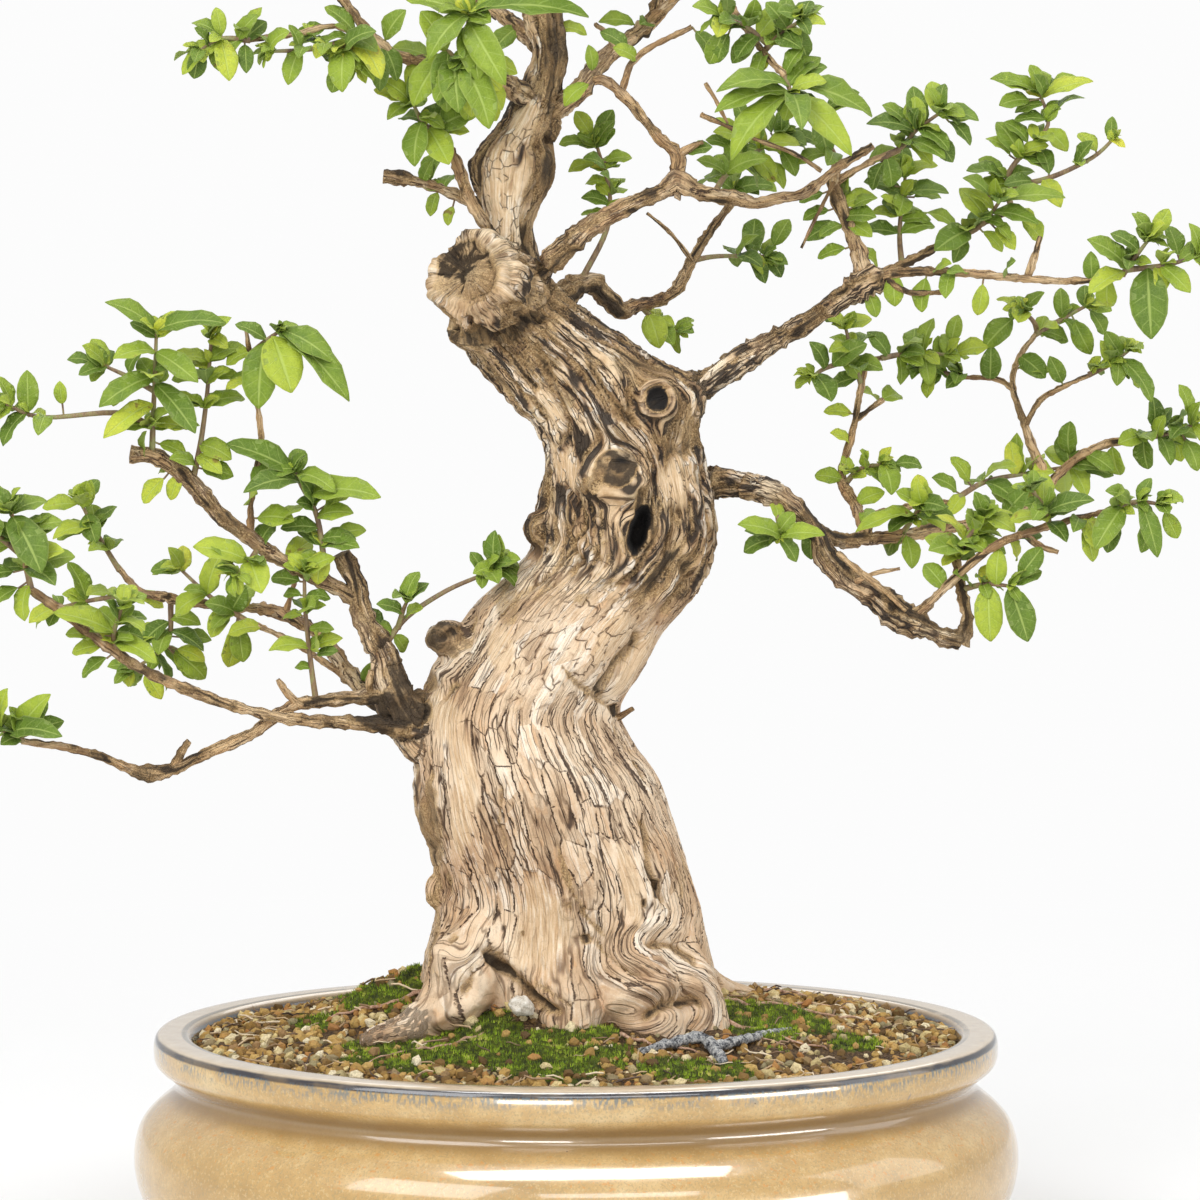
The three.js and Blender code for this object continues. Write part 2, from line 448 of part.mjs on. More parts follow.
// How the largest leaves sit.
const LARGE_HABIT = { faceUp: 0.55, faceFront: 0.75, faceSpread: 0.5, arch: 0.08, archSpread: 0.08 };
const FIRST_SEED = 1000;
// The share of a blade, from its foot, that may lie in the wood or against its neighbours.
const FOOT_SHARE = 0.2;
const LEAST_CROSSING = 1e-9;
// Turns tried, in order, for a leaf that would cross its neighbours: sideways, then up or down, in radians.
const SWINGS = [
  [0, 0], [0.3, 0], [-0.3, 0], [0, 0.3], [0, -0.3], [0.6, 0], [-0.6, 0], [0.35, 0.35], [-0.35, 0.35],
  [0.9, 0], [-0.9, 0], [0, 0.7], [0, -0.7],
];

const MATERIALS = {
  glaze: new THREE.MeshStandardMaterial({ color: 0xcfae78, roughness: 0.22, metalness: 0 }),
  bark: new THREE.MeshStandardMaterial({ color: 0xb39a7c, roughness: 0.9, metalness: 0 }),
  deadwood: new THREE.MeshStandardMaterial({ color: 0x55585c, roughness: 0.85, metalness: 0 }),
  soil: new THREE.MeshStandardMaterial({ color: 0x6f5a43, roughness: 0.95, metalness: 0 }),
  stone: new THREE.MeshStandardMaterial({ color: 0xd8d2c8, roughness: 0.8, metalness: 0 }),
  leaf: new THREE.MeshStandardMaterial({ color: 0x6f9150, roughness: 0.5, metalness: 0 }),
};

// A point that lines up with (x, z) on the plane y = 0, at its own depth.
function seen(x, z, depth) {
  const reach = (depth - EYE.y) / -EYE.y;
  return new Vector3(EYE.x + (x - EYE.x) * reach, depth, EYE.z + (z - EYE.z) * reach);
}

// Seeded random numbers from 0 to 1.
function seeded(seed) {
  let state = seed;
  return () => {
    state = (state + 0x6d2b79f5) | 0;
    let mixed = Math.imul(state ^ (state >>> 15), 1 | state);
    mixed = (mixed + Math.imul(mixed ^ (mixed >>> 7), 61 | mixed)) ^ mixed;
    return ((mixed ^ (mixed >>> 14)) >>> 0) / 4294967296;
  };
}

// A solid from corner points and triangles, turned to face outwards.
function solid(points, triangles) {
  let volume = 0;
  for (const [a, b, c] of triangles) {
    volume += points[a].dot(new Vector3().crossVectors(points[b], points[c]));
  }
  const order = volume < 0 ? ([a, b, c]) => [a, c, b] : (triangle) => triangle;
  const vertProperties = new Float32Array(points.flatMap((p) => [p.x, p.y, p.z]));
  const triVerts = new Uint32Array(triangles.flatMap(order));
  return new Manifold(new wasm.Mesh({ numProp: 3, vertProperties, triVerts }));
}

// A closed body through rings of equally many points, with a flat fan at both ends.
function loft(rings) {
  const sides = rings[0].length;
  const triangles = [];
  for (let row = 0; row + 1 < rings.length; row += 1) {
    for (let side = 0; side < sides; side += 1) {
      const a = row * sides + side;
      const b = row * sides + (side + 1) % sides;
      triangles.push([a, b, b + sides], [a, b + sides, a + sides]);
    }
  }
  const last = (rings.length - 1) * sides;
  for (let side = 1; side + 1 < sides; side += 1) {
    triangles.push([0, side + 1, side], [last, last + side, last + side + 1]);
  }
  return solid(rings.flat(), triangles);
}

// A tapering round stem along a route of points, each with its radius.
function stem(points, radii, sides) {
  const rings = [];
  let across = null;
  points.forEach((point, i) => {
    const before = points[Math.max(i - 1, 0)];
    const after = points[Math.min(i + 1, points.length - 1)];
    const along = after.clone().sub(before).normalize();
    const start = across ?? RING_START;
    across = start.clone().addScaledVector(along, -start.dot(along)).normalize();
    const other = new Vector3().crossVectors(along, across);
    rings.push(Array.from({ length: sides }, (_, side) => {
      const turn = (side / sides) * 2 * Math.PI;
      return point.clone()
        .addScaledVector(across, radii[i] * Math.cos(turn))
        .addScaledVector(other, radii[i] * Math.sin(turn));
    }));
  });
  return loft(rings);
}

function joined(solids) {
  return solids.reduce((whole, piece) => whole.add(piece));
}

// Trunk rings: the edges keep the outline, the front and back have soft ribs that wind upwards.
function ribbed(outline, sides, extra) {
  return loft(outline.map(([leftX, leftZ, rightX, rightZ, depth, halfDepth]) => {
    const left = seen(leftX, leftZ, depth);
    const right = seen(rightX, rightZ, depth);
    const middle = left.clone().add(right).multiplyScalar(0.5);
    const half = right.clone().sub(left).multiplyScalar(0.5);
    half.setLength(half.length() + extra);
    return Array.from({ length: sides }, (_, side) => {
      const turn = (side / sides) * 2 * Math.PI;
      const ribs = RIBS.reduce((sum, [share, count, pitch]) => (
        sum + share * Math.sin(count * turn + middle.z / pitch)
      ), 0);
      const swell = 1 + ribs * Math.sin(turn) ** 2;
      return middle.clone()
        .addScaledVector(half, swell * Math.cos(turn))
        .addScaledVector(FRONT, -swell * (halfDepth + extra) * Math.sin(turn));
    });
  }));
}

// A route without the points that lie nearly on the line between their neighbours.
function thinned(route) {
  const [first, last] = [new THREE.Vector4(...route[0]), new THREE.Vector4(...route[route.length - 1])];
  const way = last.clone().sub(first);
  let furthest = { away: 0 };
  route.slice(1, -1).forEach((values, i) => {
    const from = new THREE.Vector4(...values).sub(first);
    const away = from.clone().addScaledVector(way, -from.dot(way) / way.lengthSq()).length();
    if (away > furthest.away) furthest = { away, i: i + 1 };
  });
  if (furthest.away < STRAIGHT_ENOUGH) return [route[0], route[route.length - 1]];
  return [...thinned(route.slice(0, furthest.i + 1)), ...thinned(route.slice(furthest.i)).slice(1)];
}

function woodRoute(fullRoute, extra) {
  const route = thinned(fullRoute);
  const thickest = Math.max(...route.map(([, , , radius]) => radius));
  const sides = WOOD_SIDES.find(([radius]) => thickest > radius)[1];
  const points = route.map(([x, z, depth]) => seen(x, z, depth));
  return stem(points, route.map(([, , , radius]) => radius + extra), sides);
}

function knot([x, z, depth, halfWidth, halfDepth, halfHeight], extra) {
  const middle = seen(x, z, depth);
  const rings = [];
  for (let row = 0; row <= KNOT_ROWS; row += 1) {
    const tilt = (Math.max(KNOT_TOP, Math.min(KNOT_ROWS - KNOT_TOP, row)) / KNOT_ROWS) * Math.PI;
    rings.push(Array.from({ length: KNOT_SIDES }, (_, side) => {
      const turn = (side / KNOT_SIDES) * 2 * Math.PI;
      return new Vector3(
        middle.x + (halfWidth + extra) * Math.sin(tilt) * Math.cos(turn),
        middle.y + (halfDepth + extra) * Math.sin(tilt) * Math.sin(turn),
        middle.z + (halfHeight + extra) * Math.cos(tilt),
      );
    }));
  }
  return loft(rings);
}

// All the wood of the plant, thickened by extra.
function wood(extra) {
  return joined([
    ribbed(TRUNK, TRUNK_SIDES, extra),
    ribbed(LEADER, LEADER_SIDES, extra),
    ...[...ROOTS, ...LIMBS].map((route) => woodRoute(route, extra)),
    ...KNOTS.map((swelling) => knot(swelling, extra)),
  ]);
}

// One oval ring at an outset from the rim's outer oval.
function oval(outset, height, shrink = 1) {
  return Array.from({ length: POT_SIDES }, (_, side) => {
    const turn = (side / POT_SIDES) * 2 * Math.PI;
    return new Vector3(
      (RIM_HALF_LENGTH + outset) * shrink * Math.cos(turn),
      (RIM_HALF_DEPTH + outset) * shrink * Math.sin(turn),
      height,
    );
  });
}

function block(width, depth, height) {
  const [w, d, h] = [width / 2, depth / 2, height / 2];
  const ring = (z) => [[-w, -d], [w, -d], [w, d], [-w, d]].map(([x, y]) => new Vector3(x, y, z));
  return loft([ring(-h), ring(h)]);
}

function pot() {
  const outer = loft([...POT_OUTSIDE].reverse().map(([outset, height]) => oval(outset, height)));
  const mouth = [MOUTH_OUTSET, POT_HEIGHT + PAST];
  const cavity = loft([...POT_INSIDE, mouth].map(([outset, height]) => oval(outset, height)));
  const footRows = [[FOOT_OUTSET, 0], [FOOT_OUTSET + FOOT_FLARE, FLOOR_UNDERSIDE + PAST]];
  const gapHeight = 2 * (FLOOR_UNDERSIDE - PAST);
  const footRing = loft(footRows.map(([outset, height]) => oval(outset, height)))
    .subtract(loft([-PAST, FLOOR_UNDERSIDE + 2 * PAST].map((height) => oval(FOOT_OUTSET - FOOT_WIDTH, height))))
    .subtract(block(FOOT_GAP_LENGTH, PAST_POT, gapHeight))
    .subtract(block(PAST_POT, FOOT_GAP_DEPTH, gapHeight));
  const drains = [-DRAIN_X, DRAIN_X].map((x) => stem(
    [new Vector3(x, 0, FLOOR_UNDERSIDE - PAST), new Vector3(x, 0, FLOOR_TOP + PAST)],
    [DRAIN_RADIUS, DRAIN_RADIUS],
    DRAIN_SIDES,
  ));
  return drains.reduce((body, drain) => body.subtract(drain), outer.add(footRing).subtract(cavity));
}

function soilHeight(x, y) {
  return MOUNDS.reduce((height, [midX, midY, spreadX, spreadY, rise]) => (
    height + rise * Math.exp(-(((x - midX) / spreadX) ** 2) - ((y - midY) / spreadY) ** 2)
  ), SOIL_EDGE);
}

function soil(plantedWood) {
  const [[floorOutset, floorHeight], ...sides] = POT_INSIDE.filter(([, height]) => height < SOIL_EDGE);
  const onSurface = (ring) => ring.map(({ x, y }) => new Vector3(x, y, soilHeight(x, y)));
  return loft([
    oval(floorOutset - SOIL_CORNER_GAP, floorHeight + SOIL_GAP),
    ...sides.map(([outset, height]) => oval(outset - SOIL_GAP, height)),
    ...[1, ...SOIL_RINGS].map((share) => onSurface(oval(SOIL_OUTSET, 0, share))),
  ]).subtract(plantedWood);
}

// Where the plane curve of a shoot is at a share of its length.
function onRoute(points, share) {
  const lengths = points.slice(1).map((point, i) => point.distanceTo(points[i]));
  let left = share * lengths.reduce((sum, length) => sum + length, 0);
  let i = 0;
  while (i < lengths.length - 1 && left > lengths[i]) {
    left -= lengths[i];
    i += 1;
  }
  const along = points[i + 1].clone().sub(points[i]).normalize();
  return { point: points[i].clone().addScaledVector(along, left), along };
}

// Opposite pairs of leaves up a shoot, each pair a quarter turn from the last.
function pairedLeaves(points, size, pairs, start, random) {
  const leaves = [];
  for (let node = 0; node < pairs; node += 1) {
    const atEnd = node === pairs - 1;
    const share = pairs === 1 ? start : start + ((TOP_NODE - start) * node) / (pairs - 1);
    const { point, along } = onRoute(points, Math.min(share, TOP_NODE));
    const level = new Vector3().crossVectors(along, UP);
    const across = (level.length() < 0.2 ? new Vector3(1, 0, 0) : level).normalize();
    const lift = new Vector3().crossVectors(across, along);
    const roll = (node * Math.PI) / 2 + (random() - 0.5) * HABIT.rollSpread;
    for (const side of [1, -1]) {
      const [ahead, rise, longer, tilt, bend] = Array.from({ length: 5 }, random);
      const out = across.clone().multiplyScalar(side * Math.cos(roll))
        .addScaledVector(lift, side * Math.sin(roll));
      const lean = (atEnd ? HABIT.tipLean : HABIT.lean) + HABIT.leanSpread * (ahead - 0.5);
      const direction = out.clone().addScaledVector(along, lean)
        .addScaledVector(UP, HABIT.rise + HABIT.riseSpread * rise)
        .normalize();
      const face = UP.clone().multiplyScalar(HABIT.faceUp).addScaledVector(FRONT, HABIT.faceFront)
        .addScaledVector(out, HABIT.faceOut).addScaledVector(across, HABIT.faceSpread * (tilt - 0.5));
      const length = size * (HABIT.shortest + HABIT.lengthSpread * longer) * (atEnd ? HABIT.tipLength : 1);
      leaves.push({
        base: point,
        direction,
        face,
        length,
        width: length * HABIT.width,
        arch: HABIT.arch + HABIT.archSpread * bend,
      });
    }
  }
  return leaves;
}

// A large leaf between two places, from the nearest point of the spray's shoots.
function largeLeaf([fromX, fromZ, toX, toZ, width, lean], routes, random) {
  let nearest = null;
  for (const route of routes) {
    for (let i = 0; i + 1 < route.length; i += 1) {
      const [ax, az, aDepth] = route[i];
      const [bx, bz, bDepth] = route[i + 1];
      const span = (bx - ax) ** 2 + (bz - az) ** 2;
      const share = Math.min(1, Math.max(0, ((fromX - ax) * (bx - ax) + (fromZ - az) * (bz - az)) / span));
      const place = [ax + share * (bx - ax), az + share * (bz - az), aDepth + share * (bDepth - aDepth)];
      const away = Math.hypot(place[0] - fromX, place[1] - fromZ);
      if (!nearest || away < nearest.away) nearest = { away, place };
    }
  }
  const [x, z, depth] = nearest.place;
  const base = seen(x, z, depth);
  const reach = seen(toX, toZ, depth + lean).sub(base);
  const face = UP.clone().multiplyScalar(LARGE_HABIT.faceUp).addScaledVector(FRONT, LARGE_HABIT.faceFront)
    .add(new Vector3(LARGE_HABIT.faceSpread * (random() - 0.5), 0, 0));
  const length = reach.length();
  const arch = LARGE_HABIT.arch + LARGE_HABIT.archSpread * random();
  return { base, direction: reach.normalize(), face, length, width, arch };
}

// The leaf turned sideways and up or down about its foot.
function swung(leaf, [sideways, upwards]) {
  const direction = leaf.direction.clone().applyAxisAngle(UP, sideways);
  const level = new Vector3().crossVectors(direction, UP).normalize();
  direction.applyAxisAngle(level, upwards);
  const face = leaf.face.clone().applyAxisAngle(UP, sideways).applyAxisAngle(level, upwards);
  face.addScaledVector(direction, -face.dot(direction)).normalize();
  return { ...leaf, direction, face };
}

// A closed, arched blade: a narrow foot, two widths and a tip, or one width on a small leaf.
function blade({ base, direction, face, length, width, arch }, thickness = BLADE, wider = 0, from = 0) {
  const across = new Vector3().crossVectors(direction, face);
  const widths = length < FULL_LEAF ? SMALL_OUTLINE : FULL_OUTLINE;
  const along = (share) => base.clone().addScaledVector(direction, share * length)
    .addScaledVector(face, 4 * share * (1 - share) * arch * length);
  const top = [along(from)];
  for (const [share, half] of widths) {
    const reach = half * width + wider;
    top.push(along(share).addScaledVector(across, reach), along(share).addScaledVector(across, -reach));
  }
  const count = top.length;
  const tip = 2 * count;
  const points = [thickness / 2, -thickness / 2].flatMap((lift) => (
    top.map((point) => point.clone().addScaledVector(face, lift))
  )).concat(along(1));
  const triangles = [];
  const skin = (a, b, c) => triangles.push([a, b, c], [a + count, c + count, b + count]);
  skin(0, 2, 1);
  for (let i = 1; i + 3 < count; i += 2) {
    skin(i, i + 1, i + 3);
    skin(i, i + 3, i + 2);
  }
  const [lastLeft, lastRight] = [count - 2, count - 1];
  triangles.push([lastLeft, lastRight, tip], [lastLeft + count, tip, lastRight + count]);
  triangles.push([lastLeft, tip, lastLeft + count], [lastRight, lastRight + count, tip]);
  const left = [0, ...widths.map((_, i) => 2 * i + 1)];
  const right = [...widths.map((_, i) => 2 * i + 2).reverse(), 0];
  for (const side of [left, right]) {
    side.slice(1).forEach((b, i) => {
      const a = side[i];
      triangles.push([a, b, b + count], [a, b + count, a + count]);
    });
  }
  return solid(points, triangles);
}

function twigs(shoots) {
  return joined(shoots.map(([route]) => {
    const points = route.map(([x, z, depth]) => seen(x, z, depth));
    const radii = points.map((_, i) => TWIG_RADIUS - (TWIG_TAPER * i) / (points.length - 1));
    return stem(points, radii, TWIG_SIDES);
  }));
}

function boxOf(body) {
  const { min, max } = body.boundingBox();
  return new THREE.Box3(new Vector3(...min), new Vector3(...max));
}

function crosses(body, box, others) {
  return others.some((other) => (
    box.intersectsBox(other.box) && body.intersect(other.body).volume() > LEAST_CROSSING
  ));
}

// The piece of a body that carries its leaves; loose scraps are left out.
function largestPiece(body) {
  return body.decompose().reduce((best, piece) => (piece.volume() > best.volume() ? piece : best));
}

// Sprays: the leaves of each are turned clear of the wood, of other sprays and, where that works, of each other.
function sprays(grownWood) {
  const grown = [{ body: grownWood, box: boxOf(grownWood) }];
  const stems = SPRAYS.map(([, shoots]) => {
    const body = twigs(shoots);
    return { body, box: boxOf(body) };
  });
  const placed = [];
  return SPRAYS.map(([name, shoots, large], index) => {
    const random = seeded(FIRST_SEED + index);
    const routes = shoots.map(([route]) => route);
    const leaves = [
      ...large.map((leaf) => largeLeaf(leaf, routes, random)),
      ...shoots.flatMap(([route, size, pairs, start]) => (
        pairedLeaves(route.map(([x, z, depth]) => seen(x, z, depth)), size, pairs, start, random)
      )),
    ].filter(({ length }) => length >= LEAST_LEAF);
    const others = [...placed, ...stems.filter((_, i) => i !== index)];
    const own = [];
    for (const leaf of leaves) {
      const tries = SWINGS.map((swing) => {
        const turned = swung(leaf, swing);
        const fat = blade(turned, BLADE + 2 * GAP, GAP);
        const outer = blade(turned, BLADE + 2 * GAP, GAP, FOOT_SHARE);
        const [fatBox, box] = [boxOf(fat), boxOf(outer)];
        if (crosses(outer, box, grown) || crosses(fat, fatBox, others)) return null;
        return { turned, body: outer, box, alone: !crosses(outer, box, own) };
      });
      const chosen = tries.find((found) => found?.alone) ?? tries.find((found) => found);
      if (chosen) own.push(chosen);
    }
    const body = [stems[index].body, ...own.map(({ turned }) => blade(turned))]
      .reduce((whole, piece) => whole.add(piece)).subtract(grownWood);
    const spray = largestPiece(body);
    placed.push({ body: spray, box: boxOf(spray) });
    return [name, spray];
  });
}

function deadRoot() {
  return joined(DEAD_ROOT.map((route) => {
    const points = route.map(([x, z, depth]) => seen(x, z, depth));
    return stem(points, route.map(([, , , radius]) => radius), DEAD_ROOT_SIDES);
  }));
}

const group = new THREE.Group();

function place(name, body, material) {
  const { vertProperties, triVerts } = body.getMesh();
  const geometry = new THREE.BufferGeometry();
  geometry.setAttribute('position', new THREE.BufferAttribute(vertProperties.slice(), 3));
  geometry.setIndex(new THREE.BufferAttribute(triVerts.slice(), 1));
  geometry.computeVertexNormals();
  const mesh = new THREE.Mesh(geometry, material);
  mesh.name = name;
  group.add(mesh);
}

const grownTrunk = wood(GAP);
place('pot', pot(), MATERIALS.glaze);
place('soil', soil(grownTrunk.add(knot(STONE, GAP))), MATERIALS.soil);
place('trunk', wood(0), MATERIALS.bark);
place('stone_white', knot(STONE, 0).subtract(grownTrunk), MATERIALS.stone);
place('dead_root', deadRoot().subtract(grownTrunk), MATERIALS.deadwood);
for (const [name, body] of sprays(grownTrunk)) {
  place(name, body, MATERIALS.leaf);
}

// The origin is the middle of the underside of the whole plant's box.
const bounds = new THREE.Box3().setFromObject(group);
const middle = bounds.getCenter(new Vector3());
const root = new THREE.Group();
group.position.set(-middle.x, -middle.y, -bounds.min.z);
root.add(group);

export default root;
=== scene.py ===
# %% [markdown]
# # A Japanese honeysuckle bonsai in a glazed oval pot
# The tree is old: a thick pale trunk with fissured bark, a sawn-off limb that has healed round its edge,
# and thin knobbly limbs that end in soft leafy shoots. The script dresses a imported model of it. The packed
# solids give the place and size of every piece, and the pieces made here stand for them with bark, leaves,
# soil and glaze. Lengths in the lists are millimetres, and they become metres only where a mesh is made.

# %% Load the frame
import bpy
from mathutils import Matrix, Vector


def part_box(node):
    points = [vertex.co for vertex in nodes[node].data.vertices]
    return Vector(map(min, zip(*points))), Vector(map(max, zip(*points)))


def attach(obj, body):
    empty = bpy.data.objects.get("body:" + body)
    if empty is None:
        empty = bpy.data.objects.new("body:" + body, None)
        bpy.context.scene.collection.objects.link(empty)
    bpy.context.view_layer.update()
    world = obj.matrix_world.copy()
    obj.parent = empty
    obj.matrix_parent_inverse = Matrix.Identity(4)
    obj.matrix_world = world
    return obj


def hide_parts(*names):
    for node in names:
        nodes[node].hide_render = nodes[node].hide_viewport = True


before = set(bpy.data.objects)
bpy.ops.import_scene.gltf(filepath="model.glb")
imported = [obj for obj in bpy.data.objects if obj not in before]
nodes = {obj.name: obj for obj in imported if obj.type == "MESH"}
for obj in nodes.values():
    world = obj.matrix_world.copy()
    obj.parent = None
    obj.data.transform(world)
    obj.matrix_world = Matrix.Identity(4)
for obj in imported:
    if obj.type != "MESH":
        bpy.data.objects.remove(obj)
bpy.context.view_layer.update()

# %% Libraries and units
import math

import bmesh
import bpy
import numpy as np
from mathutils import Matrix, Quaternion, Vector
from mathutils.bvhtree import BVHTree
from mathutils.kdtree import KDTree

MM = 0.001
UP = Vector((0, 0, 1))
FRONT = Vector((0, -1, 0))

# %% [markdown]
# ## Where things are
# Routes of wood and leaves are written as they line up on the plane y = 0 for an eye in front of the tree,
# with their depth beside them. One function turns such a place into a point. The pot's middle is the zero
# of the lists, and the pot's box in the frame says where that middle is.

# %% Places
pot_low, pot_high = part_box("pot")
POT_MIDDLE = Vector(((pot_low.x + pot_high.x) / 2, (pot_low.y + pot_high.y) / 2, 0)) / MM
EYE = Vector((11, -1900, 436))


def seen(x, z, depth):
    """The point at this depth that lines up with (x, z) on the plane y = 0, from the pot's middle."""
    reach = (depth - EYE.y) / -EYE.y
    return Vector((EYE.x + (x - EYE.x) * reach, depth, EYE.z + (z - EYE.z) * reach))


def lines_up(points):
    """Where points, an array from the pot's middle, line up on the plane y = 0."""
    reach = (points[:, 1] - EYE.y) / -EYE.y
    return EYE.x + (points[:, 0] - EYE.x) / reach, EYE.z + (points[:, 2] - EYE.z) / reach


print("pot's middle in the frame:", [round(value, 2) for value in POT_MIDDLE])

# %% [markdown]
# ## Camera, floor and light
# The tree was photographed like a portrait: a long lens at the height of the crown, looking down by four
# degrees, with a bright backdrop. A long lens keeps the pot's oval flat. A large soft light on the left
# models the trunk, a long one above the camera draws the bright line along the pot's rim, and the pale
# world fills the shadows.

# %% Camera
CAMERA_PITCH = 4.1
LENS = 127
SENSOR = 36

camera = bpy.data.objects.new("camera", bpy.data.cameras.new("camera"))
bpy.context.scene.collection.objects.link(camera)
camera.data.lens = LENS
camera.data.sensor_width = SENSOR
camera.data.sensor_fit = "HORIZONTAL"
camera.data.clip_end = 20
camera.location = (EYE + POT_MIDDLE) * MM
camera.rotation_euler = (math.radians(90 - CAMERA_PITCH), 0, 0)
bpy.context.scene.camera = camera
print("camera at", [round(value, 3) for value in camera.location])

# %% Floor
FLOOR_HALF = 3.0
FLOOR_LOW = -0.0005

floor_mesh = bpy.data.meshes.new("floor")
corners = [(x * FLOOR_HALF, y * FLOOR_HALF) for x, y in ((-1, -1), (1, -1), (1, 1), (-1, 1))]
floor_mesh.from_pydata([(x, y, FLOOR_LOW) for x, y in corners], [], [(0, 1, 2, 3)])
floor = bpy.data.objects.new("floor", floor_mesh)
bpy.context.scene.collection.objects.link(floor)

# %% Lights
# Name, place, target, width, height (metres), power (watts), and whether it lights dull surfaces too. Those
# that don't are only there to be mirrored in the glaze.
SOFT_BOXES = [
    ("key", (-1.4, -1.8, 1.8), (0, 0, 0.3), 1.5, 1.5, 37, True),
    ("long_front", (0.35, -1.9, 1.35), (0, 0, 0.1), 1.3, 0.35, 9, True),
    ("side", (1.9, -0.3, 1.1), (0, 0, 0.3), 1.2, 1.4, 10, True),
    ("back", (0.3, 1.8, 1.9), (0, 0, 0.35), 1.8, 1.0, 14, True),
    ("mirrored_left", (-0.28, -1.95, 0.24), (0, -0.1, 0.1), 0.55, 0.42, 12, False),
    ("mirrored_right", (1.5, -1.45, 0.26), (0, 0, 0.1), 1.15, 0.42, 24, False),
    ("mirrored_above", (0.05, -0.45, 1.75), (0, -0.15, 0.07), 1.3, 0.4, 26, False),
]
WORLD_GREY = 0.94
WORLD_STRENGTH = 0.75
BACKDROP_STRENGTH = 0.975


def soft_box(name, place, target, width, height, power, lights_all):
    lamp = bpy.data.lights.new(name, "AREA")
    lamp.shape = "RECTANGLE"
    lamp.size = width
    lamp.size_y = height
    lamp.energy = power
    holder = bpy.data.objects.new(name, lamp)
    holder.location = place
    holder.rotation_euler = (Vector(target) - Vector(place)).to_track_quat("-Z", "Y").to_euler()
    holder.visible_diffuse = lights_all
    bpy.context.scene.collection.objects.link(holder)


for box in SOFT_BOXES:
    soft_box(*box)
world = bpy.data.worlds.new("pale_studio")
bpy.context.scene.world = world
world.use_nodes = True
sky = world.node_tree
# The camera sees a plain white backdrop, and all else is lit by the pale grey.
ambient = sky.nodes["Background"]
ambient.inputs["Color"].default_value = (WORLD_GREY, WORLD_GREY, WORLD_GREY, 1)
ambient.inputs["Strength"].default_value = WORLD_STRENGTH
white = sky.nodes.new("ShaderNodeBackground")
white.inputs["Color"].default_value = (1, 1, 1, 1)
white.inputs["Strength"].default_value = BACKDROP_STRENGTH
rays = sky.nodes.new("ShaderNodeLightPath")
either = sky.nodes.new("ShaderNodeMixShader")
sky.links.new(rays.outputs["Is Camera Ray"], either.inputs["Fac"])
sky.links.new(ambient.outputs["Background"], either.inputs[1])
sky.links.new(white.outputs["Background"], either.inputs[2])
sky.links.new(either.outputs["Shader"], sky.nodes["World Output"].inputs["Surface"])
bpy.context.scene.view_settings.view_transform = "Standard"
print(len(SOFT_BOXES), "soft boxes")

# %% [markdown]
# ## Sums on sockets
# Bark, glaze and leaves need a good deal of shader arithmetic. A small class wraps a node's output so that
# `a * b + c` builds the Math nodes, and one method makes every other node. The same class works in shader
# trees and in geometry trees, so the bark's pattern can be written once and used twice: to raise the
# surface and to colour it.

# %% Socket sums
class Value:
    """A number's socket that takes part in sums."""

    def __init__(self, tree, socket):
        self.tree = tree
        self.socket = socket

    def __add__(self, other):
        return self.tree.sum("ADD", self, other)

    __radd__ = __add__

    def __sub__(self, other):
        return self.tree.sum("SUBTRACT", self, other)

    def __rsub__(self, other):
        return self.tree.sum("SUBTRACT", other, self)

    def __mul__(self, other):
        return self.tree.sum("MULTIPLY", self, other)

    __rmul__ = __mul__

    def __truediv__(self, other):
        return self.tree.sum("DIVIDE", self, other)

    def __rtruediv__(self, other):
        return self.tree.sum("DIVIDE", other, self)

    def __pow__(self, other):
        return self.tree.sum("POWER", self, other)


